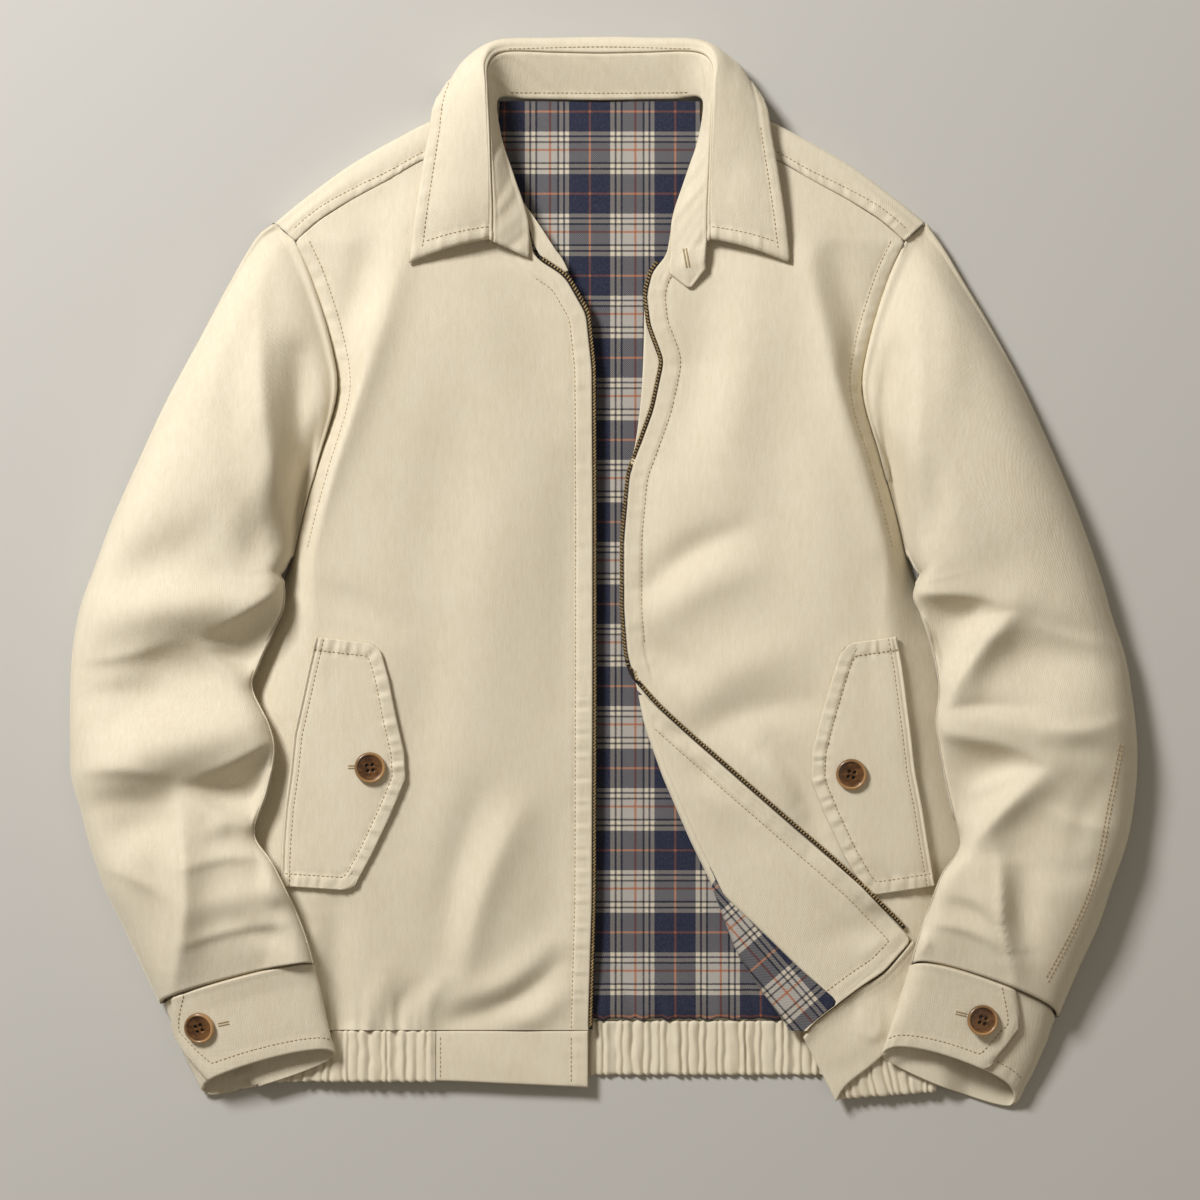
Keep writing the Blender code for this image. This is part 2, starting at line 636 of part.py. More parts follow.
def make_left_front(jacket, face, corner):
    """The wearer's left front, one wall that turns back over itself at the lower corner."""
    rows = np.array(FRONT_ROWS, float)
    edge = across(LEFT_EDGE)
    turned = np.arange(len(rows)) < TURN_ROWS
    inset = np.where(turned, fold_radius(rows) + SHELL, 0.0)
    top = body_grid(
        FRONT_ROWS, across(FRONT_OUTLINE), lambda y: edge(y) + np.interp(y, rows, inset),
        FRONT_COLUMNS, face,
    )
    under = upright(top, SHELL)
    under[:TURN_ROWS, -1] = up(top[:TURN_ROWS, -1], -SHELL)
    index = np.arange(top.shape[0] * top.shape[1]).reshape(top.shape[:2])
    face_side = corner.points(0.0)[:, 1:]
    back_side = corner.points(SHELL)[:, 1:]
    more = index.size + np.arange(face_side[..., 0].size).reshape(face_side.shape[:2])
    flap = np.hstack([index[:TURN_ROWS, -1:], more])
    outer = np.vstack([top.reshape(-1, 3), face_side.reshape(-1, 3)])
    inner = np.vstack([under.reshape(-1, 3), back_side.reshape(-1, 3)])
    jacket.wall("front_left", outer, inner, quads_of(index) + quads_of(flap), CREAM)
    line = top[:, -1]
    make_tape(jacket, "zip_tape_left", line[(line[:, 1] > 280) & (line[:, 1] < 563)], -1.0)


def make_corner_linings(jacket, corner):
    """Plaid lining round the fold, and the facing from there to the front edge."""
    meet = BEND_COLUMNS + LINING_COLUMN
    plaid_rows = sum(y < 150 for y in FRONT_ROWS)
    under = corner.points(SHELL + SEAM, 1, meet)
    over = corner.points(SHELL + SEAM + LINING, 1, meet)
    for sheet in (under, over):
        sheet[:, -1] -= unit(sheet[:, -1] - sheet[:, -2]) * SEAM
    jacket.grid_wall("lining_left", over[:plaid_rows], under[:plaid_rows], PLAID)
    under = corner.points(SHELL + SEAM, meet)
    over = corner.points(SHELL + SEAM + LINING, meet)
    jacket.grid_wall("facing_left", over, under, CREAM)


# ---------------------------------------------------------------- hem
PLAIN_BAND_START = -111.0  # x where the right front's plain band takes over from the elastic
PLAIN_BAND_EDGE = [(PLAIN_BAND_START, 4.5), (-95, 4.0), (-8, 0.0)]  # its lower edge, x and y
PLAIN_BAND_TOP = 10.0
LEFT_BAND = [
    # hem seam of the turned corner x, y, and the band's lower edge x, y
    (137.5, 34.5, 160, -9.5),
    (145.8, 44.7, 167, 1.5),
    (162.4, 57.4, 184, 15),
    (175.4, 67.4, 199, 28.5),
    (192.4, 78.4, 217, 46),
    (211.4, 100, 238, 70),
]
# Undersides of the gathered bands, x and height.
BACK_ELASTIC = [(0, 0.0)]
RIGHT_ELASTIC = [(-228, 5.0), (-190, 5.4), (PLAIN_BAND_START, 7.4)]
LEFT_ELASTIC = [(139, 5.2), (190, 5.0)]


def make_hem(jacket):
    half = across(FRONT_OUTLINE)(FRONT_HEM)
    back_seam = BACK_HEM - SEAM
    seam = FRONT_HEM - SEAM
    ends = half - 1.0
    gathers(
        jacket, "hem_elastic_back", [(-ends, 8), (ends, 8)], [(-ends, back_seam), (ends, back_seam)],
        BACK_ELASTIC,
    )
    right = PLAIN_BAND_START - SEAM
    gathers(
        jacket, "hem_elastic_right", [(-half, 4), (right, 4)], [(-half, seam), (right, seam)],
        RIGHT_ELASTIC,
    )
    gathers(
        jacket, "hem_elastic_left", [(161.5, -8), (half, -3)], [(139, seam), (half, seam)],
        LEFT_ELASTIC,
    )
    low_x, low_y = np.array(PLAIN_BAND_EDGE).T
    x = np.linspace(PLAIN_BAND_START, across(RIGHT_EDGE)(FRONT_HEM), 6)
    low = np.interp(x, low_x, low_y)
    shares = np.array([0.0, 0.5, 1.0])[:, None]
    y = seam + (low - seam) * shares
    bulge = PLAIN_BAND_TOP + 0.3 * np.sin(math.pi * shares)
    grid = np.stack(np.broadcast_arrays(x, y, bulge), axis=-1)
    jacket.grid_wall("hem_front_right", grid, up(grid, -BAND), CREAM)


def make_turned_band(jacket, corner_cover):
    """The plain hem band of the turned corner, its lining side up."""
    table = curved(LEFT_BAND, 2)
    shares = np.array([0.0, 0.35, 0.7, 1.0])[None, :, None]
    start = table[:, None, 0:2]
    end = table[:, None, 2:4]
    start = start + unit(end - start) * (SEAM + 0.25)
    plan = start + (end - start) * shares
    level = corner_cover(plan[..., 0], plan[..., 1])
    under = np.concatenate([plan, level[..., None]], axis=-1)
    jacket.grid_wall("hem_front_left", up(under, BAND), under, CREAM)


# ---------------------------------------------------------------- pockets, buttons, zip
def make_pocket(jacket, name, table):
    table = curved(table, 1)
    cover = jacket.relief.cover(LAID - 0.2, 3.0)
    shares = np.linspace(0.0, 1.0, 8)[None, :, None]
    plan = table[:, None, 0:2] + (table[:, None, 2:4] - table[:, None, 0:2]) * shares
    under = np.concatenate([plan, cover(plan[..., 0], plan[..., 1])[..., None]], axis=-1)
    jacket.grid_wall(name, up(under, FLAP), under, CREAM)


BUTTON_SIDES = 20
# Half a button's section from the middle of its underside to the middle of its face.
BUTTON_PROFILE = [
    # radius, height
    (0.0, 0.0),
    (BUTTON_RADIUS - 1.6, 0.0),
    (BUTTON_RADIUS, 1.3),
    (BUTTON_RADIUS, 2.4),
    (BUTTON_RADIUS - 0.7, BUTTON_THICK),
    (BUTTON_RADIUS - BUTTON_RIM, BUTTON_THICK),
    (BUTTON_RADIUS - BUTTON_RIM - 1.2, BUTTON_THICK - 1.1),
    (0.0, BUTTON_THICK - 1.1),
]


def resting_plane(jacket, place, radius):
    """The slope below a disc, as x and y rises, and the least height at which it lies clear."""
    across_disc = np.linspace(-1.0, 1.0, 9)
    x, y = np.meshgrid(across_disc, across_disc)
    inside = np.hypot(x, y) <= 1.01
    spread = np.column_stack([radius * x[inside], radius * y[inside], np.ones(inside.sum())])
    relief = jacket.relief
    level = relief.sample(relief.height, place[0] + spread[:, 0], place[1] + spread[:, 1])
    slope = np.linalg.lstsq(spread, level, rcond=None)[0]
    return slope, float((level - spread @ slope).max() + slope[2]) + BUTTON_CLEARANCE


def cutter(jacket, name, mesh, parent):
    """An object that only a Boolean uses, parented to what it cuts or joins."""
    made = bpy.data.objects.new(name, mesh)
    made.parent = parent
    made.hide_render = True
    made.display_type = "WIRE"
    jacket.cutters.objects.link(made)
    return made


def make_button(jacket, name, place):
    """A turned disc with a raised rim and four holes, laid on the slope below it."""
    slope, base = resting_plane(jacket, place, BUTTON_RADIUS)
    profile = bpy.data.meshes.new(name)
    points = [(radius * MM, 0.0, height * MM) for radius, height in BUTTON_PROFILE]
    profile.from_pydata(points, [(k, k + 1) for k in range(len(points) - 1)], [])
    profile.materials.append(material(name, HORN))
    button = bpy.data.objects.new(name, profile)
    jacket.collection.objects.link(button)
    button.rotation_mode = "QUATERNION"
    normal = Vector((-slope[0], -slope[1], 1.0))
    button.rotation_quaternion = Vector((0, 0, 1)).rotation_difference(normal)
    button.location = Vector((place[0] - ORIGIN[0], place[1] - ORIGIN[1], base)) * MM
    turned = button.modifiers.new("turned", "SCREW")
    turned.axis = "Z"
    turned.steps = BUTTON_SIDES
    turned.render_steps = BUTTON_SIDES
    turned.use_merge_vertices = True
    turned.merge_threshold = 0.00001
    turned.use_smooth_shade = True
    turned.use_normal_calculate = True
    spread = HOLE_SPREAD * MM / math.sqrt(2)
    for dx, dy in ((1, 1), (1, -1), (-1, 1), (-1, -1)):
        drill = bmesh.new()
        bmesh.ops.create_cone(
            drill, cap_ends=True, segments=8, radius1=HOLE_RADIUS * MM, radius2=HOLE_RADIUS * MM,
            depth=4 * BUTTON_THICK * MM,
        )
        mesh = bpy.data.meshes.new(f"{name}_hole")
        drill.to_mesh(mesh)
        drill.free()
        hole = cutter(jacket, f"{name}_hole_{dx}_{dy}", mesh, button)
        hole.location = (dx * spread, dy * spread, 0.0)
        cut = button.modifiers.new("hole", "BOOLEAN")
        cut.solver = "EXACT"
        cut.object = hole


def make_tape(jacket, name, edge, side):
    """A zip tape with its teeth: a narrow strip just beyond a front edge, from the edge's points."""
    run = unit(np.gradient(edge[:, :2], axis=0))
    out = np.stack([run[:, 1], -run[:, 0], np.zeros(len(run))], axis=-1) * side
    lowered = up(edge, -0.2)
    top = np.stack([lowered + out * (SEAM + 0.15), lowered + out * (SEAM + 0.15 + ZIP_WIDTH)], axis=1)
    jacket.grid_wall(name, top, up(top, -ZIP_THICK), TAPE)


SLIDER_BODY = (9.0, 12.0, 2.4)
SLIDER_PULL = (5.0, 20.0, 1.2)
SLIDER_PLACE = (221.5, 97.5)
SLIDER_TURN = math.radians(44.0)


def make_slider(jacket, cover):
    """The zip's slider and its pull, lying on the end of the turned corner."""
    run = np.array([math.sin(SLIDER_TURN), -math.cos(SLIDER_TURN)])
    points = np.array([np.array(SLIDER_PLACE) + run * step for step in (-6, 0, 6, 12, 18, 24)])
    level = float(cover(points[:, 0], points[:, 1]).max())
    shapes = []
    for size, shift, height in ((SLIDER_BODY, 0.0, 0.0), (SLIDER_PULL, -12.0, 0.3)):
        work = bmesh.new()
        bmesh.ops.create_cube(work, size=1.0)
        bmesh.ops.scale(work, verts=work.verts, vec=[s * MM for s in size])
        bmesh.ops.translate(work, verts=work.verts, vec=(0.0, shift * MM, (height + size[2] / 2) * MM))
        mesh = bpy.data.meshes.new("zip_slider")
        work.to_mesh(mesh)
        work.free()
        shapes.append(mesh)
    slider = bpy.data.objects.new("zip_slider", shapes[0])
    slider.location = Vector((SLIDER_PLACE[0] - ORIGIN[0], SLIDER_PLACE[1] - ORIGIN[1], level)) * MM
    slider.rotation_euler = (0.0, 0.0, SLIDER_TURN)
    shapes[0].materials.append(material("zip_slider", BRASS))
    jacket.collection.objects.link(slider)
    join = slider.modifiers.new("pull", "BOOLEAN")
    join.operation = "UNION"
    join.solver = "EXACT"
    join.object = cutter(jacket, "zip_slider_pull", shapes[1], slider)
    bpy.context.view_layer.update()
    for mesh in shapes:
        world = np.array([slider.matrix_world @ v.co for v in mesh.vertices]) / MM
        world += np.array([*ORIGIN, 0.0])
        jacket.relief.add(world, [tuple(p.vertices) for p in mesh.polygons])


# ---------------------------------------------------------------- sleeves and cuffs
def horizontal(vectors):
    level = np.array(vectors)
    level[..., 2] = 0.0
    return unit(level)


def edge_height(y):
    table = np.array(EDGE_HEIGHTS, float)
    return np.interp(y, table[:, 0], table[:, 1])


FAN_ROWS = 7  # sections between the armhole and the first straight one


def sleeve_grids(jacket, side, table, folds, cover):
    """Outer faces of a sleeve's upper and lower halves, from armhole to cuff seam."""
    table = np.array(table, float)
    section = np.array(SECTION, float)
    width = section[:, 0]
    outer = table[:, None, 0:2]
    chord = table[:, None, 2:4] - outer
    straight = outer + chord * width[None, :, None]
    grids = []
    heights = []
    flip = np.array([side, 1.0])
    for points in (FRONT_ARMHOLE, BACK_ARMHOLE):
        hole = armhole(points) * flip
        hole[:, 0] += side * ARMHOLE_GAP
        bow = hole - (hole[0] + (hole[-1] - hole[0]) * width[:, None])
        grids.append(straight + bow[None] * table[:, 4, None, None])
    plan = grids[0]
    lift = cover(plan[..., 0], plan[..., 1])
    fan = FAN_ROWS
    for row in range(fan):
        lift[row] = lift[fan] * row / fan
    lift[:, : len(width) // 3] = np.where(lift[:, : len(width) // 3] < 1.0, 0.0, lift[:, : len(width) // 3])
    lift = np.where(lift < 0.6, 0.0, lift)
    seam = lift + SLEEVE_SEAM
    crown = table[:, 5, None] + (table[:, 6] - table[:, 5])[:, None] * width
    rows = np.arange(len(table))[:, None]
    low = 1.0 - np.clip(1.0 - rows / fan, 0.0, 1.0) * smooth((width - 0.55) / 0.45)
    upper = seam + (np.maximum(crown, seam + 12.0) - seam) * section[:, 1] * low
    extra = np.zeros(upper.shape)
    for fold in folds:
        away = segment_distance(plan[..., 0], plan[..., 1], fold)
        extra = extra + fold[4] * np.exp(-((away / fold[5]) ** 2))
    upper = upper + extra * np.clip(section[:, 1], 0.0, 1.0) ** 2
    seam_height = np.where(width < 0.5, 8.0, 0.0)
    hole = grids[0][0]
    tip = np.clip((SHOULDER_END + 14.0 - hole[:, 1]) / 14.0, 0.0, 1.0)
    upper[0] = edge_height(hole[:, 1]) * tip + 8.0 * (1.0 - tip)
    lower = lift + SLEEVE_SEAM * section[:, 2]
    lower[0] = seam_height * section[:, 2]
    lower[:fan, -1] = lift[:fan, -1]
    upper[:fan, -1] = lift[:fan, -1] + edge_height(UNDERARM)
    upper[1:, 1:-1] = np.maximum(upper[1:, 1:-1], lower[1:, 1:-1] + 2.0 * SHELL + 3.0)
    axis = unit(np.gradient(table[:, 0:2], axis=0))[:, None]
    lean = table[:, 7, None, None] * np.sin(np.linspace(0.0, math.pi, len(width)))[None, :, None]
    heights.append(np.concatenate([grids[0] - axis * lean, upper[..., None]], axis=-1))
    heights.append(np.concatenate([grids[1] + axis * lean * 0.3, lower[..., None]], axis=-1))
    return heights


def sleeve_wall(grid, sense):
    """The inner face: along the normals, but level at the long seams and upright at the armhole."""
    normals = grid_normals(grid)
    normals *= np.where(normals[..., 2:] * sense < 0, -1.0, 1.0)
    across_rows = horizontal(grid[:, -1] - grid[:, 0])
    normals[:, 0] = -across_rows
    normals[:, -1] = across_rows
    normals[0, 1:] = (0.0, 0.0, sense)
    normals[:FAN_ROWS, -4:] = (0.0, 0.0, sense)
    return grid - normals * SHELL


def make_sleeve(jacket, side, name, table, folds, cover):
    upper, lower = sleeve_grids(jacket, side, table, folds, cover)
    lower[:, 0, 2] -= SEAM
    lower[FAN_ROWS:, -1, 2] -= SEAM
    jacket.grid_wall(f"sleeve_{name}_under", lower, sleeve_wall(lower, -1.0), CREAM, laid=False)
    jacket.grid_wall(f"sleeve_{name}_top", upper, sleeve_wall(upper, 1.0), CREAM)


CUFF_LAP_START = 0.30  # share of the width where the under end starts, from the outer edge
CUFF_SHARES = [0.0, 0.3, 0.65, 1.0]
CUFF_SEAM = 5.5  # height of a cuff's two edges over what it lies on
CUFF_POINT = 0.45  # share of the depth where the pointed end has its tip
MOUTH_RIM = 7.0  # how far the lower half bows out at the mouth, which the upper half leaves open


def make_cuff(jacket, name, table, cover):
    """A band that goes once round the wrist and laps over itself with a pointed end."""
    table = np.array(table, float)
    section = np.array(SECTION, float)
    ends = np.array([np.interp(CUFF_SHARES, np.linspace(0, 1, len(table)), c) for c in table.T]).T
    width = section[:, 0]
    plan = ends[:, None, 0:2] + (ends[:, None, 2:4] - ends[:, None, 0:2]) * width[None, :, None]
    axis = unit(ends[-1, 0:2] - ends[0, 0:2])
    bow = np.sin(np.linspace(0.0, math.pi, len(width)))[None, :, None]
    lean = ends[:, 5, None, None]
    down = np.array(CUFF_SHARES)[:, None, None]
    below = plan + axis * (0.3 * lean * (1.0 - down) + MOUTH_RIM * down) * bow
    lift = np.maximum(cover(plan[..., 0], plan[..., 1]), cover(below[..., 0], below[..., 1]))
    lift = np.where(lift < 0.6, 0.0, lift)
    seam = lift + CUFF_SEAM
    upper = seam + (ends[:, 4, None] - seam) * section[:, 1]
    lower = lift + CUFF_SEAM * section[:, 2]
    top = np.concatenate([plan - axis * lean * bow, upper[..., None]], axis=-1)
    bottom = np.concatenate([below, lower[..., None]], axis=-1)
    loop = np.concatenate([top[:, ::-1], bottom[:, 1:-1]], axis=1)
    count = loop.shape[1]
    near_outer = np.interp(CUFF_LAP_START, width, np.arange(len(width)))
    first = (len(width) - 1) - near_outer
    last = count + (len(width) - 1) - np.interp(0.035, width, np.arange(len(width)))
    whole = np.arange(math.ceil(first), math.floor(last) + 1)
    places = np.concatenate([[first], whole[whole > first + 0.2], [last - 0.45, last]])
    places = np.unique(np.round(places, 3))
    step = np.arange(count + 1)
    ring = np.concatenate([loop, loop[:, :1]], axis=1)
    face = np.stack(
        [[np.interp(places % count, step, ring[r, :, a]) for a in range(3)] for r in range(len(ends))]
    ).transpose(0, 2, 1)
    normals = grid_normals(face)
    middle = ring[:, :-1].mean(axis=1)[:, None]
    normals *= np.where(((face - middle) * normals).sum(-1, keepdims=True) < 0, -1.0, 1.0)
    normals[..., :2] -= (normals[..., :2] @ axis)[..., None] * axis
    normals = unit(normals)
    under = (BAND + 0.5) * (1.0 - smooth((places - first) / (0.55 * count)))
    face = face - normals * under[None, :, None]
    taper = 1.0 - 0.86 * smooth((places - (last - 2.2)) / 2.2)
    shares = CUFF_POINT + (np.array(CUFF_SHARES)[:, None] - CUFF_POINT) * taper
    tapered = np.empty_like(face)
    for column in range(face.shape[1]):
        for a in range(3):
            tapered[:, column, a] = np.interp(shares[:, column], CUFF_SHARES, face[:, column, a])
    jacket.grid_wall(f"cuff_{name}", tapered, tapered - normals * BAND, CREAM)


# ---------------------------------------------------------------- shoulders, neck and collar
def make_shoulder(jacket, side, name):
    """The strip that wraps over the shoulder fold, from the front seam to the back seam."""
    table = np.array(SHOULDER, float)
    rows = []
    for sx, sy, fx, fy, bx, by, height in table:
        seam = np.array([sx, sy])
        fold = np.array([fx, fy])
        back = np.array([bx, by])
        into = unit(seam - fold)
        reach = np.linalg.norm(seam - fold)
        front = seam - into * SEAM * 0.7
        rear = back + unit(fold - back) * 0.45
        points = [
            (*front, height),
            (*(fold + into * reach * 0.5), height - 0.4),
            (*(fold + into * 5.0), height - 2.6),
            (*(fold + into * 1.2), height * 0.72),
            (*fold, height * 0.45),
            (*(fold + into * 1.2), height * 0.18),
            (*(fold + into * 5.0), 0.0),
            (*(0.5 * (fold + into * 5.0 + rear)), 0.0),
            (*rear, 0.0),
        ]
        rows.append(points)
    grid = np.array(rows)
    grid[..., 0] *= side
    normals = grid_normals(grid)
    middle = grid.mean(axis=1, keepdims=True)
    normals *= np.where((normals * (grid - middle)).sum(-1, keepdims=True) < 0, -1.0, 1.0)
    normals[:, 0] = (0.0, 0.0, 1.0)
    normals[:, -2:] = (0.0, 0.0, -1.0)
    jacket.grid_wall(f"shoulder_{name}", grid, grid - normals * SHELL, CREAM)


NECK_FACINGS = {
    # rows of x, y to x, y, from the neck down, with the height of the upper face
    "facing_right": [
        (-56, 601, -47, 600, 14.6),
        (-49, 586, -38.5, 585, 14.6),
        (-44, 570, -31, 569, 14.4),
        (-36, 558, -25.5, 561.5, 13.6),
    ],
    "facing_left_neck": [
        (30, 526, 46, 526, 12.0),
        (29.5, 500, 52, 500, 11.2),
        (28, 470, 44, 470, 10.8),
        (24.5, 440, 34, 440, 10.2),
        (20, 420, 24, 420, 10.0),
    ],
}


def make_neck_facings(jacket):
    """The narrow parts of the facings that show inside the neck."""
    for name, rows in NECK_FACINGS.items():
        table = np.array(rows, float)[:, None]
        shares = np.linspace(0.0, 1.0, 3)[None, :, None]
        plan = table[..., 0:2] + (table[..., 2:4] - table[..., 0:2]) * shares
        level = np.broadcast_to(table[..., 4:], (*plan.shape[:2], 1))
        grid = np.concatenate([plan, level], axis=-1)
        jacket.grid_wall(name, grid, up(grid, -LINING), CREAM)


COLLAR_COLUMNS = 4  # divisions of each of the collar's four stretches
STAND_TAB = [
    # the stand's pointed end on the wearer's left: neck side x, y, leaf side x, y
    (46.5, 553.5, 70.5, 557.5),
    (50.0, 547.0, 67.5, 549.0),
    (58.0, 541.5, 61.5, 541.5),
]


def facing_out(grid):
    """Unit normals of a collar's grid, pointing out of the neck and up over the fold."""
    normals = grid_normals(grid)
    return normals * np.where(normals[:, 1, 2] < 0, -1.0, 1.0)[:, None, None]


def make_collar(jacket):
    """Stand and leaf, one curved section swept round the neck and parted at the seam."""
    half = np.array(COLLAR, float)
    mirrored = half[:-1].copy()
    half[:, 0::3] *= -1.0
    rows = np.vstack([half, mirrored[::-1]])
    grid = np.array([curved(row.reshape(-1, 3), COLLAR_COLUMNS) for row in rows])
    grid[..., 2] = np.maximum(grid[..., 2], 0.0)
    cover = jacket.relief.cover(BAND + 0.35, 1.4, widen=1)
    above = facing_out(grid)[..., 2] > 0.35
    level = cover(grid[..., 0], grid[..., 1])
    grid[..., 2] = np.where(above, np.maximum(grid[..., 2], level), grid[..., 2])
    inner = grid - facing_out(grid) * BAND
    inner[..., 2] = np.maximum(inner[..., 2], 0.0)
    seam = COLLAR_COLUMNS
    gap = unit(grid[:, seam + 1] - grid[:, seam - 1]) * SEAM * 0.55
    stand = grid[:, : seam + 1].copy()
    stand_inner = inner[:, : seam + 1].copy()
    stand[:, -1] -= gap
    stand_inner[:, -1] -= gap
    tab = np.array(STAND_TAB, float)[:, None]
    plan = tab[..., 0:2] + (tab[..., 2:4] - tab[..., 0:2]) * np.linspace(0.0, 1.0, seam + 1)[:, None]
    tab = np.concatenate([plan, cover(plan[..., 0], plan[..., 1])[..., None]], axis=-1)
    stand = np.vstack([stand, tab])
    stand_inner = np.vstack([stand_inner, up(tab, -BAND)])
    jacket.grid_wall("collar_stand", stand, stand_inner, CREAM, laid=False)
    leaf = grid[:, seam:].copy()
    leaf_inner = inner[:, seam:].copy()
    leaf[:, 0] += gap
    leaf_inner[:, 0] += gap
    jacket.grid_wall("collar_leaf", leaf, leaf_inner, CREAM, laid=False)


def build_jacket():
    clear_scene()
    jacket = Jacket()
    make_back(jacket)
    make_hem(jacket)
    make_right_front(jacket)
    left_face = front_face(1, across(LEFT_EDGE), LEFT_HEIGHTS)
    sheet = body_grid(
        FRONT_ROWS, across(FRONT_OUTLINE), across(LEFT_EDGE), FRONT_COLUMNS, left_face
    )
    index = np.arange(sheet.shape[0] * sheet.shape[1]).reshape(sheet.shape[:2])
    jacket.relief.add(sheet.reshape(-1, 3), quads_of(index))
    make_pocket(jacket, "pocket_flap_left", POCKET_LEFT)
    below = jacket.relief.cover(LAID, 0.6)
    make_button(jacket, "button_pocket_left", BUTTONS["button_pocket_left"])
    corner = TurnedCorner(left_face, below)
    make_left_front(jacket, left_face, corner)
    edge = corner.points(SHELL)[:, -1]
    open_zip = (edge[:, 1] > 105) & (edge[:, 1] < 262)
    make_tape(jacket, "zip_tape_left_turned", edge[open_zip], 1.0)
    make_corner_linings(jacket, corner)
    make_turned_band(jacket, below)
    make_slider(jacket, below)
    make_pocket(jacket, "pocket_flap_right", POCKET_RIGHT)
    make_button(jacket, "button_pocket_right", BUTTONS["button_pocket_right"])
    make_shoulder(jacket, -1, "right")
    make_shoulder(jacket, 1, "left")
    make_neck_facings(jacket)
    for side, name, table, folds, cuff in (
        (-1, "right", RIGHT_SLEEVE, RIGHT_FOLDS, RIGHT_CUFF),
        (1, "left", LEFT_SLEEVE, LEFT_FOLDS, LEFT_CUFF),
    ):
        cover = jacket.relief.cover(LAID + SEAM, 0.6)
        make_sleeve(jacket, side, name, table, folds, cover)
        make_cuff(jacket, name, cuff, cover)
        make_button(jacket, f"button_cuff_{name}", BUTTONS[f"button_cuff_{name}"])
    make_collar(jacket)


build_jacket()
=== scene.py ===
"""Dresses the harrington jacket that lies open on a level surface, collar towards +Y.

Sizes are millimetres in the garment's layout, as in the solids: x from the centre back line,
+x towards the wearer's left, y up from the lower edge of the right hem, z up from the surface.
Each piece of cloth is a closed thin shell between two grids of points. Pieces are worked out in
the order in which they lie on each other, so that each one rests on what is under it.
"""

import logging
import math
from dataclasses import dataclass, field
from enum import Enum
from typing import Callable, Sequence

import bpy
import numpy as np
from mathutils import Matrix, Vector
from mathutils.bvhtree import BVHTree


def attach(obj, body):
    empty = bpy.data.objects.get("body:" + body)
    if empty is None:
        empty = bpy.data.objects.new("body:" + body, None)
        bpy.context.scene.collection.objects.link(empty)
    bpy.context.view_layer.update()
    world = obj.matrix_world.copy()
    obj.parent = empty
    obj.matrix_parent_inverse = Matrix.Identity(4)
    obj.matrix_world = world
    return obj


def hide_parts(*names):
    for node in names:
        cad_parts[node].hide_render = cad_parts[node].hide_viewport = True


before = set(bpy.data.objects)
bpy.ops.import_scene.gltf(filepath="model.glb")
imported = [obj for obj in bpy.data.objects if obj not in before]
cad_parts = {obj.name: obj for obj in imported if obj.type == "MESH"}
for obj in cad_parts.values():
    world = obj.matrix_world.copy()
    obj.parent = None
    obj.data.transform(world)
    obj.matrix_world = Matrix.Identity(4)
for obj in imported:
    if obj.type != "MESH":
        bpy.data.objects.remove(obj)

LOG = logging.getLogger("jacket")
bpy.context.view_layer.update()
MM = 0.001
ORIGIN = np.array([2.6, 349.0, 0.0])
Table = Sequence[Sequence[float]]
Array = np.ndarray
Height = Callable[[Array, Array], Array]


class Slot(Enum):
    """The record's material slots."""

    SHELL = "shell_cloth"
    PLAID = "plaid_lining"
    HORN = "horn_button"
    TAPE = "zip_tape"
    METAL = "zip_metal"


class Side(Enum):
    """The wearer's two sides, with the sign of x on each."""

    RIGHT = -1
    LEFT = 1

    @property
    def word(self) -> str:
        """right or left, as in the pieces' names."""
        return self.name.lower()


# --- the garment's own sizes
SHELL = 1.6  # outer cloth
LINING = 1.0  # plaid lining and facing
BAND = 2.0  # doubled cloth of hem bands, collar and cuffs
FLAP = 2.2  # doubled cloth of a pocket flap
SEAM = 0.3  # space between pieces at a seam
LAID = 0.7  # space over what a piece lies on
ARMHOLE_GAP = 0.55
SLEEVE_SEAM = 7.0
CUFF_SEAM = 5.5
BACK_HEM = 45.0
FRONT_HEM = 39.0
UNDERARM = 360.0
SHOULDER_END = 573.0
NECK_END = 648.5
TURN_TOP = 268.0
TWIST_TOP = 286.0  # where the left zip starts to turn over
TURNED_LINING_TOP = 151.0  # up to where plaid shows on the turned corner
ZIP_TOP = 562.0
LINING_HEM = 47.0
LINING_TOP = 669.4
BAND_START = -111.0  # where the right hem's plain band starts
LEFT_GATHERS = 150.0  # where the left hem's gathers start
TOUCHING = 0.6  # a cloth that is laid lower than this lies on the surface
LOWEST = 0.03  # least height of a point, so that nothing dips under the surface
RISE_POWER = 1.4
GRID = 2.8  # spacing of the points of a panel
EDGE_STITCH = 11.6  # topstitching of the front edges, from the edge
FLAP_STITCH = 9.0
HINGE_STITCH = 6.0
ARMHOLE_STITCH = 9.0
LEAF_STITCH = 8.5
CUFF_STITCH = 9.5

SIDE_EDGE = [(228, 39), (238, 76), (243, 100.5), (249, 156), (244, 254), (235, 297), (217, 334)]
BACK_ARMHOLE = [
    (208, 360), (201, 391), (192, 426), (185, 470), (187.5, 507), (198, 540), (207, 556), (221.5, 586.5),
]
FRONT_ARMHOLE = [
    (208, 360), (200.5, 391), (190.5, 426), (178, 470), (181.5, 503), (194, 545), (206.5, 573),
    (221.5, 586.5),
]
FRONT_SHOULDER = [(189.5, 587.5), (168, 601), (143, 614.5), (122.5, 626.5), (95, 639), (72, 648.5)]
BACK_SHOULDER = [(160, 592), (110, 622), (80, 640), (70, 650), (69, 669)]
EDGE_HEIGHTS = [
    # y, height of the front at its outer edge
    (39, 7.6), (70, 4.6), (110, 3.6), (360, 3.6), (391, 5.5), (426, 7.5), (470, 10), (503, 12.5), (545, 14),
    (573, 15), (590, 16), (650, 16.5),
]
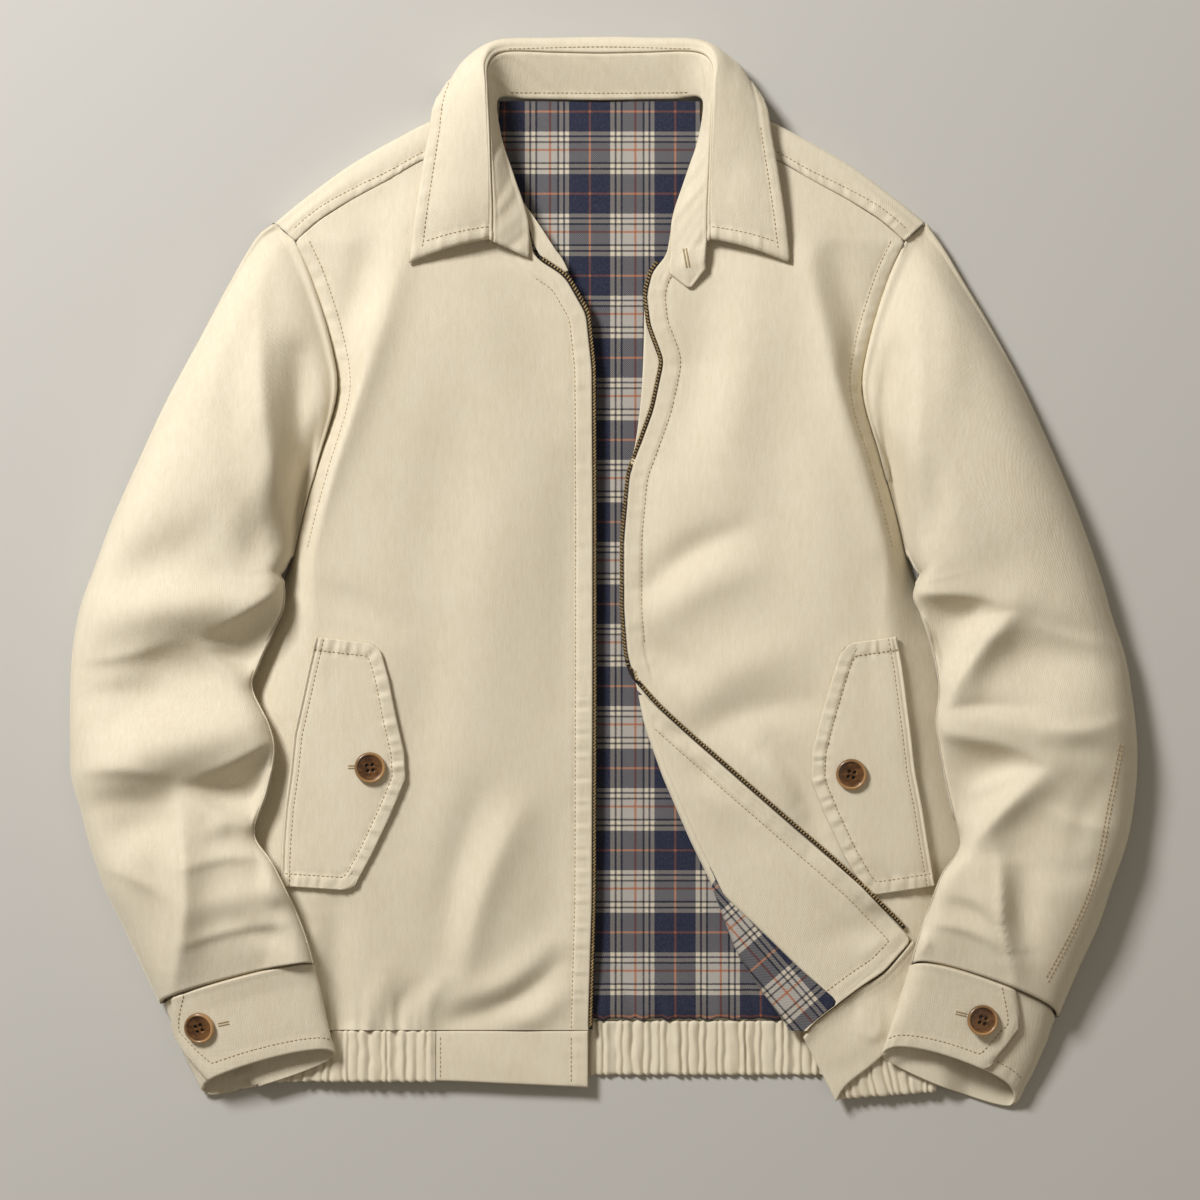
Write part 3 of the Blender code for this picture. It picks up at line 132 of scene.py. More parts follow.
EDGE_REACH = [
    # y, how far in the front has risen to its full height
    (39, 46), (300, 42), (345, 20), (360, 15), (466, 15), (507, 26), (534, 46), (566, 66), (650, 66),
]
RIGHT_EDGE = [
    (-8, 39), (-5.5, 126), (-5, 262), (-5, 398), (-5.5, 487), (-9.5, 524), (-24, 549.5), (-45, 562.5),
    (-49, 587.5), (-58.5, 616), (-67.5, 642), (-70, 648.5),
]
LEFT_EDGE = [
    (130, 39), (109, 68), (94, 91), (79, 131), (61, 167.5), (42, 211.5), (30, 245.5), (24.5, 273.5),
    (19, 293), (16.5, 323.5), (16.5, 371.5), (20.5, 415.5), (36.5, 459.5), (43.5, 492.5), (34, 517.5),
    (32, 538), (36, 553.5), (45, 563), (49, 587.5), (58.5, 616), (67.5, 642), (70, 648.5),
]
TURNED_EDGE = [
    (138, 36), (145.5, 45.5), (162, 58), (175, 68), (192, 79), (211, 100.5), (175.5, 138), (136, 172),
    (95, 207.5), (61, 237.5), (37.5, 258.5), (28, 268),
]
LINING_EDGE = [
    (137, 39), (150, 49), (162, 58), (136.5, 80), (115.5, 100.5), (92.5, 122.5), (82, 132.5), (70, 152),
    (66, 165), (48, 205), (33, 255), (28, 268),
]
FRONT_SHARES = [0, 0.15, 0.35, 0.6, 0.85, 1]
RIGHT_HEIGHTS = [
    # y, then the height at each share of the way from side to front edge
    (39, 9.5, 9.5, 10, 10, 10, 10), (92, 15, 15, 17, 16, 13, 11.5), (160, 18, 19, 22, 19, 14.5, 12),
    (215, 20, 21, 24, 21, 15, 12), (330, 25, 25, 25, 21, 15, 12), (432, 29, 28, 26, 22, 16, 12.5),
    (514, 28, 29, 27, 24, 18, 14), (568, 22, 23, 25, 24, 20, 17), (650, 16.5, 16.5, 17, 17.5, 17.5, 17),
]
LEFT_HEIGHTS = [
    (39, 8.5, 8.5, 8.5, 8, 7.8, 7.6), (92, 11, 11, 10, 9, 8.2, 7.6), (160, 18, 19, 18, 14, 9.5, 7.8),
    (215, 20, 21, 22, 19, 12, 8.5), (330, 25, 25, 25, 21, 14.5, 11.5), (432, 29, 28, 26, 22, 16, 12.5),
    *RIGHT_HEIGHTS[6:],
]
LINING_WIDTHS = [
    (218, 47), (230, 85), (236, 160), (228, 262), (208, 335), (196, 372), (184, 440), (187, 500),
    (196, 548), (150, 585), (100, 615), (74, 640), (68.5, 656), (68.3, 669.4),
]
SHOULDER = [
    # seam x, y, fold x, y, back x, y, height
    (205.9, 573.3, 220.3, 586.3, 206.5, 556.6, 15), (189.5, 587.5, 202.5, 601, 184, 573.8, 16),
    (168, 601, 170, 625, 160, 592.3, 16), (143, 614.5, 136, 644.5, 135, 607.3, 16.5),
    (122.5, 626.5, 113, 656, 110, 622.3, 16.5), (95, 639, 88.5, 664, 88, 635.5, 16.5),
    (74, 648.5, 73, 667, 72, 650.5, 15.5),
]
RIGHT_SLEEVE = [
    # outer x, y, inner x, y, curve of the armhole left, crown, ridge, lean
    (-221.5, 586.5, -208, 360, 1, 14, 15, 0), (-234, 575.5, -209.5, 358.5, 0.86, 26, 28, 0),
    (-252.5, 544, -210.5, 356.5, 0.7, 38, 38, 0), (-272, 507.5, -211.5, 354.5, 0.55, 44, 43, 0),
    (-294, 466.5, -212.5, 352, 0.4, 47, 46, 0), (-313, 425.5, -214, 349.5, 0.25, 48, 47, 0),
    (-331, 385, -215.5, 347, 0.1, 47, 46, 0), (-343.5, 351, -212.5, 341, 0, 45, 43, 0),
    (-352, 328, -213, 325.5, 0, 45, 43, 0), (-357, 303.5, -220.5, 308.5, 0, 43, 38, 0),
    (-359, 279.5, -230, 288.5, 0, 40, 32, 0), (-359.5, 255.5, -234.5, 271.5, 0, 41, 34, 0),
    (-359.5, 232, -223, 247.5, 0, 44, 40, 0), (-358.5, 209.5, -219, 228.5, 0, 44, 40, 0),
    (-352, 186.5, -224.5, 201.5, 0, 41, 34, 0), (-345.5, 162, -233, 173.5, 0, 40, 34, 0),
    (-336, 134.5, -219.5, 152.5, 0, 40, 36, 0), (-323.5, 109, -205.5, 123, 0, 38, 35, 0),
    (-311, 82.5, -197, 100.5, 0, 35, 32, 3), (-298.5, 56.5, -193, 85.5, 0, 30, 29, 6),
]
LEFT_SLEEVE = [
    (221.5, 586.5, 208, 360, 1, 14, 15, 0), (233, 570, 209.5, 358.5, 0.86, 26, 28, 0),
    (246, 548, 210.5, 356.5, 0.7, 38, 38, 0), (263, 519.5, 211.5, 354.5, 0.55, 44, 43, 0),
    (283, 483, 212.5, 352, 0.4, 47, 46, 0), (301, 444.5, 214, 349.5, 0.25, 48, 47, 0),
    (318, 405.5, 215.5, 347, 0.1, 47, 46, 0), (331, 371.5, 212.5, 341, 0, 45, 43, 0),
    (340.5, 344, 211, 331, 0, 44, 42, 0), (348, 318, 217.5, 317.5, 0, 43, 39, 0),
    (356.5, 292.5, 224.5, 294.5, 0, 41, 35, 0), (361, 266, 228, 269.5, 0, 43, 38, 0),
    (364, 240.5, 226, 247.5, 0, 44, 40, 0), (364.5, 216, 231, 217.5, 0, 43, 38, 0),
    (362, 189, 237.5, 189, 0, 41, 34, 0), (357, 164, 243, 165, 0, 41, 35, 0),
    (348, 138.5, 230, 145.5, 0, 42, 38, 0), (338.5, 110, 221, 121, 0, 40, 37, 0),
    (325.5, 81.5, 213.5, 100.5, 0, 37, 34, 5), (311, 47, 209.5, 85, 0, 33, 31, 10),
]
FAN_ROWS = 7
SECTION = [
    # share of the width, height of the upper half, height of the lower half
    (0, 0, 1), (0.02, 0.3, 0.32), (0.06, 0.54, 0.04), (0.13, 0.76, 0), (0.24, 0.92, 0), (0.38, 1, 0),
    (0.54, 1, 0), (0.7, 1, 0), (0.83, 1, 0), (0.93, 0.9, 0.04), (0.98, 0.55, 0.32), (1, 0, 1),
]
ARMHOLE_SHARES = [0.09, 0.2, 0.33, 0.47, 0.61, 0.75, 0.87, 0.95, 1]
CUFF_LAPS = {
    # where the under end starts and the pointed end stops, as shares of the width from the outer
    # fold, then the lengths of the point's two slants
    Side.RIGHT: (0.3, 0.015, 13.5, 14),
    Side.LEFT: (0.5, 0.24, 12, 9),
}
RIGHT_CUFF = [
    # outer x, y, inner x, y, height, lean
    (-298, 55.3, -192.6, 84.3, 30, 6), (-292, 39, -188.8, 69, 27, 7), (-283, 17, -183.5, 43.5, 25, 8.5),
    (-272, -4, -179, 24, 23, 10),
]
LEFT_CUFF = [
    (310.5, 45.8, 209, 83.8, 32, 10), (304.5, 28, 204, 67, 29, 11), (295.5, 8, 196.5, 43.5, 26, 13),
    (284, -12, 190.5, 24, 24, 15),
]
COLLAR = [
    # neck seam x, y, height, leaf seam, roll, middle of the leaf and its edge, each x, y, height
    (47.5, 561.5, 19.6, 72, 572, 27, 77, 573, 28, 102, 567, 31, 128.5, 557.5, 29),
    (48.5, 587.5, 19.8, 72, 595.5, 30, 77, 597.5, 32, 100.5, 594.5, 33, 125, 589, 30.5),
    (57, 614.5, 19.8, 73, 619.5, 32, 77.5, 623, 33.5, 99.5, 620, 32, 121, 616, 28),
    (66, 642, 19.8, 74, 646.5, 33, 79, 650, 34.5, 98, 647.5, 31, 116.5, 642.5, 25),
    (69.5, 664, 16.5, 75.5, 673, 32, 80, 677, 33.5, 98, 675, 26, 111.5, 668, 19),
    (66, 671.5, 9, 75, 692, 26, 81, 697, 26, 94, 694, 13, 97, 682, 2),
    (53, 671, 4.6, 64, 701, 17, 68, 709.3, 15, 70.5, 706.5, 4, 66, 681, 0.1),
    (27, 670.5, 4.2, 30, 701, 14, 30.5, 710.8, 11.5, 30.5, 708.5, 3.5, 30, 681, 0),
    (0, 670, 4.2, 0, 700.5, 13.5, 0, 711, 11, 0, 709, 3.5, 0, 681, 0),
]
STAND_TAB = [
    # neck side x, y, leaf side x, y
    (46.2, 555, 71, 559.5), (46.9, 551, 71.6, 554), (59, 541.5, 61.6, 541.3),
]
TAB_BORDER = [row[:2] for row in STAND_TAB] + [row[2:] for row in reversed(STAND_TAB)]
POCKET_RIGHT = [
    # hinge x, y, free edge x, y
    (-192, 306, -149, 301), (-197, 285, -142.5, 278), (-202, 262, -137.5, 252), (-207, 240, -132, 228),
    (-209.5, 215, -131, 210), (-213, 190, -140, 188), (-215, 165, -153, 160), (-216, 137, -167, 134),
]
POCKET_LEFT = [
    (200, 306, 164, 301), (204, 285, 156.5, 278), (207, 262, 149, 252), (210, 240, 143, 228),
    (213, 215, 142.5, 208), (218, 190, 151.5, 186), (222, 165, 164.5, 158), (227, 137, 181, 130),
]
LEFT_BAND = [
    # seam x, y, lower edge x, y
    (137.5, 34.5, 160, -9.5), (145.8, 44.7, 167, 1.5), (162.4, 57.4, 184, 15), (175.4, 67.4, 199, 28.5),
    (192.4, 78.4, 217, 46), (211.4, 100, 238, 70),
]
NECK_FACINGS = {
    # rows of x, y to x, y, and the height of the upper face
    "facing_right": [
        (-56, 603, -53.5, 602, 14.6), (-49, 586, -41.5, 585, 14.6), (-44, 570, -31, 569, 14.4),
        (-36, 558, -25.5, 561.5, 13.6), (-27, 550.5, -21.5, 553.5, 12.9),
    ],
    "facing_left_neck": [
        (30, 526, 46, 526, 12), (29.5, 500, 52, 500, 11.2), (28, 470, 44, 470, 10.8),
        (24.5, 440, 34, 440, 10.2), (20, 420, 24, 420, 10),
    ],
}


# --- curves and grids
def smooth(t: Array) -> Array:
    """An S-shaped step: 3t squared minus 2t cubed, from 0 to 1."""
    t = np.clip(t, 0, 1)
    return t * t * (3 - 2 * t)


def curved(points: Table, per_span: int = 8) -> Array:
    """Points along a curve through a table's rows.

    Each span is a cubic whose slope at a row is half the step between that row's neighbours.

    Args:
        points: rows of any number of columns.
        per_span: how many points each span gets.

    Returns:
        The rows of the curve, the table's own rows among them.
    """
    table = np.asarray(points, float)
    ends = np.concatenate([2 * table[:1] - table[1:2], table, 2 * table[-1:] - table[-2:-1]])
    t = (np.arange(per_span) / per_span).reshape(-1, *[1] * table.ndim)
    before, start, end, after = ends[:-3], ends[1:-2], ends[2:-1], ends[3:]
    spans = (
        (2 * t**3 - 3 * t**2 + 1) * start
        + (t**3 - 2 * t**2 + t) * 0.5 * (end - before)
        + (3 * t**2 - 2 * t**3) * end
        + (t**3 - t**2) * 0.5 * (after - start)
    )
    return np.concatenate([np.moveaxis(spans, 0, 1).reshape(-1, *table.shape[1:]), table[-1:]])


def soft_interp(at: Array, known: Table, values: Table, blur: float) -> Array:
    """A table's value with its corners rounded: the mean of seven readings spread over blur.

    Args:
        at: where the value is wanted.
        known: the table's places, rising.
        values: the table's values.
        blur: how far to each side the readings reach.

    Returns:
        The rounded values.
    """
    offsets = np.linspace(-blur, blur, 7)
    weights = np.array([1, 2, 3, 4, 3, 2, 1]) / 16
    reads = [w * np.interp(at + o, known, values) for o, w in zip(offsets, weights)]
    return np.sum(reads, axis=0)


def outline_x(points: Table, blur: float = 7.0) -> Callable[[Array], Array]:
    """The x of an outline at any y, with its corners rounded over blur."""
    line = np.array(points, float)
    line = line[np.argsort(line[:, 1])]
    return lambda y: soft_interp(np.asarray(y, float), line[:, 1], line[:, 0], blur)


def bell(value: Array, centre: float, width: float) -> Array:
    """A bell-shaped bump: e to the minus (distance from centre / width) squared."""
    return np.exp(-(((value - centre) / width) ** 2))


def joined(*parts: Array) -> Array:
    """Arrays stretched to one shape and put side by side in a new last axis."""
    return np.stack(np.broadcast_arrays(*parts), axis=-1)


def xy(grid: Array) -> tuple[Array, Array]:
    """The x and the y of a grid's points."""
    return grid[..., 0], grid[..., 1]


def lifted(plan: Array, height: Array) -> Array:
    """The points of a plan with heights."""
    return np.concatenate([plan, height[..., None]], axis=-1)


def spread(rows: Array, share: Array) -> Array:
    """Places between the first pair and the second pair of each row, at shares of the way."""
    start, end = rows[..., None, :2], rows[..., None, 2:4]
    return start + (end - start) * share[..., None]


def walked_along(points: Array, axis: int = 0) -> Array:
    """The distance walked along rows of points, 0 at the first."""
    steps = np.diff(points, axis=axis, prepend=np.take(points, [0], axis=axis))
    return np.cumsum(np.linalg.norm(steps, axis=-1), axis=axis)


def along(line: Array, at: Array) -> Array:
    """Points of a line at distances from its start."""
    run = walked_along(line)
    return np.stack([np.interp(at, run, column) for column in line.T], axis=-1)


def length_of(line: Array) -> float:
    """The length of a line of points."""
    return float(np.linalg.norm(np.diff(line, axis=0), axis=1).sum())


def unit(vectors: Array) -> Array:
    """Vectors divided by their lengths."""
    return vectors / np.maximum(np.linalg.norm(vectors, axis=-1, keepdims=True), 1e-9)


def grid_normals(grid: Array) -> Array:
    """The unit cross product of a grid's two directions."""
    return unit(np.cross(np.gradient(grid, axis=1), np.gradient(grid, axis=0)))


def slid(grid: Array, at: Array) -> Array:
    """A grid's points at other, broken column numbers, given for each row."""
    low = np.clip(at.astype(int), 0, grid.shape[1] - 2)
    part = (at - low)[..., None]
    row = np.arange(len(grid))[:, None]
    return grid[row, low] * (1 - part) + grid[row, low + 1] * part


def up(grid: Array, height: Array | float) -> Array:
    """A copy of a grid of points, raised by a height."""
    raised = np.array(grid, float)
    raised[..., 2] += height
    return raised


def line_distance(x: Array, y: Array, line: Array) -> tuple[Array, Array]:
    """How far points are from a line of straight stretches, in plan.

    On each stretch the nearest place is the projection, kept between its ends; the least counts.

    Args:
        x: the points' x.
        y: the points' y.
        line: rows of x and y.

    Returns:
        The distance, and how far along the line the nearest place is.
    """
    best = np.full(np.shape(x), np.inf)
    run = np.zeros(np.shape(x))
    walked = 0
    for start, end in zip(line[:-1, :2], line[1:, :2]):
        step = end - start
        long = math.hypot(*step)
        t = np.clip(((x - start[0]) * step[0] + (y - start[1]) * step[1]) / long**2, 0, 1)
        away = np.hypot(x - start[0] - t * step[0], y - start[1] - t * step[1])
        run = np.where(away < best, walked + t * long, run)
        best = np.minimum(best, away)
        walked += long
    return best, run


def inset(line: Array, distance: float) -> Array:
    """A line moved sideways, to its left, its corners kept: each point moves along the mean normal."""
    step = unit(np.diff(line[:, :2], axis=0))
    normals = joined(-step[:, 1], step[:, 0])
    first = np.vstack([normals[:1], normals])
    last = np.vstack([normals, normals[-1:]])
    lean = 1 + (first * last).sum(-1, keepdims=True)
    return line[:, :2] + distance * (first + last) / np.maximum(lean, 0.5)


def ripple(run: Array, seed: float, scale: float = 1.0) -> Array:
    """Uneven waves between about -1 and 1: four sines of unlike lengths added up."""
    waves = ((9.7, 0.45), (6.1, 0.4), (15.3, 0.35), (4.3, 0.22))
    total = [
        share * np.sin(2 * math.pi * run / (length * scale) + seed * (k + 1.7) * 2.1)
        for k, (length, share) in enumerate(waves)
    ]
    return np.sum(total, axis=0)


def roll(distance: Array, radius: float) -> Array:
    """How far a rounded edge has dropped: a quarter circle of that radius."""
    inside = np.clip(1 - distance / radius, 0, 1)
    return radius * (1 - np.sqrt(1 - inside**2))


@dataclass(frozen=True)
class SewnEdge:
    """A turned and topstitched edge: a thicker margin, a groove at the stitches, puckers."""

    stitch: float
    margin: float = 0.55
    groove: float = 0.6
    pucker: float = 0.62
    edge_radius: float = 0.9
    seed: float = 1.0

    def height(self, distance: Array, run: Array) -> Array:
        """The change of height at a distance from the edge.

        The margin is raised up to the stitches, with a bell-shaped groove at them and uneven waves
        between edge and stitches.
        """
        raised = self.margin * (1 - smooth((distance - self.stitch + 1) / 2.2))
        groove = self.groove * bell(distance, self.stitch, 1.1)
        across = np.exp(-(((distance - 0.62 * self.stitch) / (0.52 * self.stitch)) ** 2))
        waves = self.pucker * across * ripple(run, self.seed)
        return raised - groove + waves - roll(distance, self.edge_radius)


@dataclass(frozen=True)
class Crease:
    """A soft fold of the cloth between two points: a ridge, or a trough if height is negative.

    Its section is height times e to the minus (distance / width) to the power. It bows sideways at
    its middle and fades in a half sine towards both ends. On its right, width is times steep.
    """

    x0: float
    y0: float
    x1: float
    y1: float
    height: float
    width: float
    bow: float = 0.0
    power: float = 2.0
    steep: float = 1.0

    def at(self, x: Array, y: Array) -> Array:
        """The height that the fold adds."""
        run = np.array([self.x1 - self.x0, self.y1 - self.y0])
        long = math.hypot(*run)
        t = ((x - self.x0) * run[0] + (y - self.y0) * run[1]) / long**2
        off = ((y - self.y0) * run[0] - (x - self.x0) * run[1]) / long
        inside = np.clip(t, 0, 1)
        off = off - self.bow * np.sin(math.pi * inside)
        beyond = (t - inside) * long
        away = np.hypot(np.where(off < 0, off / self.steep, off), beyond)
        fade = np.sin(math.pi * np.clip(0.12 + 0.76 * inside, 0, 1)) ** 0.8
        return self.height * fade * np.exp(-((away / self.width) ** self.power))


@dataclass(frozen=True)
class Recess:
    """A three-cornered hollow between two sharp ridges that meet at an apex.

    Inside, the height falls by depth times 1 minus e to the minus (distance to the nearer ridge /
    width), growing from the apex on; outside it rises to ridge and dies out.
    """

    apex: tuple[float, float]
    left_end: tuple[float, float]
    right_end: tuple[float, float]
    depth: float
    width: float = 8.0
    ridge: float = 2.5

    def at(self, x: Array, y: Array) -> Array:
        """The height that the hollow and its ridges add."""
        sides = []
        for end, sign in ((self.left_end, -1), (self.right_end, 1)):
            run = np.array(end) - np.array(self.apex)
            long = math.hypot(*run)
            t = ((x - self.apex[0]) * run[0] + (y - self.apex[1]) * run[1]) / long**2
            off = sign * ((y - self.apex[1]) * run[0] - (x - self.apex[0]) * run[1]) / long
            grown = smooth((t + 0.15) / 0.7)
            sides.append((off + 2.5 * np.sin(4 * t) * sign, grown, t * long))
        (first, grown_a, run_a), (second, grown_b, _) = sides
        inside = np.minimum(first, second)
        grown = np.maximum(grown_a, grown_b)
        soft = np.sqrt(inside**2 + 6)
        hollow = self.depth * (1 - np.exp(-0.5 * (soft + inside) / self.width))
        outside = 0.5 * (soft - inside) + np.maximum(-run_a, 0) * 0.6
        lips = self.ridge * np.exp(-outside / (1.1 * self.width))
        return grown * (lips - hollow)


def creased(x: Array, y: Array, folds: Sequence[Sequence]) -> Array:
    """What rows of numbers for creases, and for recesses where they start with a pair, add."""
    total = np.zeros(np.broadcast(x, y).shape)
    for fold in folds:
        kind = Recess if isinstance(fold[0], tuple) else Crease
        total = total + kind(*fold).at(x, y)
    return total


class Relief:
    """The height of what has been laid down so far, on a square net of points."""

    STEP = 2
    LOW = (-390, -40)
    COUNT = 390
    REPEATS = 24

    def __init__(self) -> None:
        """Starts with a bare surface."""
        self.height = np.zeros((self.COUNT, self.COUNT))

    def add(self, grid: Array) -> None:
        """Lays a grid down: each net point keeps the highest of the grid's points near it.

        Args:
            grid: rows and columns of points; it is first made finer by halving its steps.
        """
        for axis in (0, 1):
            ends = np.take(grid, [-1], axis=axis)
            first = np.take(grid, range(grid.shape[axis] - 1), axis=axis)
            second = np.take(grid, range(1, grid.shape[axis]), axis=axis)
            pair = np.stack([first, 0.5 * (first + second)], axis=axis + 1)
            shape = list(first.shape)
            shape[axis] *= 2
            grid = np.concatenate([pair.reshape(shape), ends], axis=axis)
        column = np.rint((grid[..., 0] - self.LOW[0]) / self.STEP).astype(int)
        row = np.rint((grid[..., 1] - self.LOW[1]) / self.STEP).astype(int)
        np.maximum.at(self.height, (row.ravel(), column.ravel()), grid[..., 2].ravel())

    def sample(self, values: Array, x: Array, y: Array) -> Array:
        """The value at any points of a field that is held on the net, straight between them."""
        column = (np.asarray(x, float) - self.LOW[0]) / self.STEP
        row = (np.asarray(y, float) - self.LOW[1]) / self.STEP
        c = np.clip(column.astype(int), 0, self.COUNT - 2)
        r = np.clip(row.astype(int), 0, self.COUNT - 2)
        u = column - c
        v = row - r
        low = values[r, c] * (1 - u) + values[r, c + 1] * u
        high = values[r + 1, c] * (1 - u) + values[r + 1, c + 1] * u
        return low * (1 - v) + high * v

    def cover(self, clearance: float, slope: float, widen: int = 1) -> Height:
        """The height of a cloth laid over everything, no steeper than slope.

        Args:
            clearance: space over what the cloth lies on.
            slope: the steepest rise of the cloth.
            widen: net steps by which each height first spreads.

        Returns:
            A function of x and y.
        """
        cloth = np.where(self.height > 0, self.height + clearance, 0)
        steps = [(-1, 0), (1, 0), (0, -1), (0, 1), (-1, -1), (-1, 1), (1, -1), (1, 1)]
        for repeat in range(self.REPEATS):
            for dy, dx in steps:
                drop = slope * self.STEP * math.hypot(dx, dy) if repeat >= widen else 0
                cloth = np.maximum(cloth, np.roll(cloth, (dy, dx), (0, 1)) - drop)
        for repeat in range(2):
            cloth = np.maximum(cloth, sum(np.roll(cloth, s, (0, 1)) for s in steps) / 8)
        return lambda x, y: self.sample(cloth, x, y)


# --- meshes
def quads_of(index: Array) -> Array:
    """The four corners of each cell of a grid of point numbers."""
    corners = [index[:-1, :-1], index[:-1, 1:], index[1:, 1:], index[1:, :-1]]
    return np.stack(corners, axis=-1).reshape(-1, 4)


def rim_of(index: Array, shift: int) -> Array:
    """The faces that close a grid's border to its copy, whose point numbers are shift higher."""
    border = np.concatenate([index[0, :-1], index[:-1, -1], index[-1, :0:-1], index[:0:-1, 0]])
    after = np.roll(border, -1)
    return joined(after, border, border + shift, after + shift)


def new_object(name: str, data: bpy.types.ID) -> bpy.types.Object:
    """An object of some data, put into the scene."""
    made = bpy.data.objects.new(name, data)
    bpy.context.scene.collection.objects.link(made)
    return made


def outward(points: Array, faces: Array) -> Array:
    """Faces turned so that the volume they close is positive."""
    corners = points[faces]
    fan = np.cross(corners[:, 1] - corners[:, 0], corners[:, 2] - corners[:, 0])
    fan += np.cross(corners[:, 2] - corners[:, 0], corners[:, 3] - corners[:, 0])
    volume = (fan * (corners.mean(axis=1) - points.mean(axis=0))).sum()
    return faces if volume > 0 else faces[:, ::-1]


class Workshop:
    """Makes the pieces' objects, gives them their finishes and tells the frame about them."""

    def __init__(self, finishes: "Finishes") -> None:
        """Keeps the finishes and a net of what has been laid down."""
        self.finishes = finishes
        self.relief = Relief()
        self.made: dict[str, bpy.types.Object] = {}

    def mesh(
        self, name: str, points: Array, faces: Array, slot: Slot, cloth: Array | None = None,
        edge: Array | None = None, nodes: Sequence[str] = (),
        finish: bpy.types.Material | None = None,
    ) -> bpy.types.Object:
        """Args:
            name: the piece.
            points: its points.
            faces: rows of four point numbers.
            slot: the record's slot.
            cloth: each point's place on the cloth.
            edge: each point's distance from a sewn edge.
            nodes: the CAD nodes that it stands for.
            finish: a material other than the slot's own.

        Returns:
            The new object.
        """
        faces = outward(points, faces)
        data = bpy.data.meshes.new(f"fine_{name}")
        data.vertices.add(len(points))
        data.vertices.foreach_set("co", ((points - ORIGIN) * MM).astype(np.float32).ravel())
        data.loops.add(faces.size)
        data.loops.foreach_set("vertex_index", faces.astype(np.int32).ravel())
        data.polygons.add(len(faces))
        data.polygons.foreach_set("loop_start", np.arange(0, faces.size, 4, dtype=np.int32))
        data.polygons.foreach_set("use_smooth", np.ones(len(faces), dtype=bool))
        data.update(calc_edges=True)
        if cloth is not None:
            layer = data.uv_layers.new(name="cloth")
            layer.data.foreach_set("uv", (cloth[faces.ravel()] * MM).astype(np.float32).ravel())
        if edge is not None:
            data.attributes.new("edge", "FLOAT", "POINT").data.foreach_set("value", edge.astype(np.float32))
        data.validate()
        piece = new_object(f"fine_{name}", data)
        data.materials.append(finish or self.finishes.of(slot))
        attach(piece, "root")
        if nodes:
            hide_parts(*nodes)
        self.made[name] = piece
        LOG.info("%s: %d faces", name, len(faces))
        return piece

    def shell(
        self, name: str, outer: Array, inner: Array, slot: Slot = Slot.SHELL,
        cloth: Array | None = None, edge: Array | None = None,
        nodes: Sequence[str] | None = None, lay: bool = True,
    ) -> bpy.types.Object:
        """A closed thin wall between two grids of points.

        Args:
            name: the piece.
            outer: the face's grid.
            inner: the back's grid.
            slot: the record's slot.
            cloth: each point's place on the cloth; by default its x and y.
            edge: each point's distance from a sewn edge.
            nodes: the CAD nodes that it stands for; by default its own.
            lay: whether what comes later lies on it.

        Returns:
            The new object.
        """
        index = np.arange(outer[..., 0].size).reshape(outer.shape[:2])
        shift = index.size
        faces = np.vstack([quads_of(index), quads_of(index)[:, ::-1] + shift, rim_of(index, shift)])
        points = np.vstack([outer.reshape(-1, 3), inner.reshape(-1, 3)])
        plan = outer[..., :2] if cloth is None else cloth
        plan = np.tile(plan.reshape(-1, 2), (2, 1))
        far = np.full(index.size, 99.0) if edge is None else edge.ravel()
        points[:, 2] = np.maximum(points[:, 2], LOWEST)
        nodes = [name] if nodes is None else nodes
        piece = self.mesh(name, points, faces, slot, plan, np.tile(far, 2), nodes)
        if lay:
            self.relief.add(outer)
        return piece


# --- body
def level_rows(start: float, end: float, step: float = GRID) -> Array:
    """Even steps from start to end, with closer ones at both ends."""
    even = np.linspace(start, end, max(4, round(abs(end - start) / step)))
    sign = 1 if end > start else -1
    near = np.array([0.25, 0.6, 1.1]) * sign
    return np.unique(np.round(np.concatenate([even, start + near, end - near]), 4))[:: int(sign)]


FINE_FRONT_ARMHOLE = curved(FRONT_ARMHOLE[:-1], 10)
FINE_BACK_ARMHOLE = curved(BACK_ARMHOLE[:-1], 10)
FRONT_OUTLINE = SIDE_EDGE + [tuple(p) for p in FINE_FRONT_ARMHOLE] + FRONT_SHOULDER
front_outer = outline_x(FRONT_OUTLINE, 3)


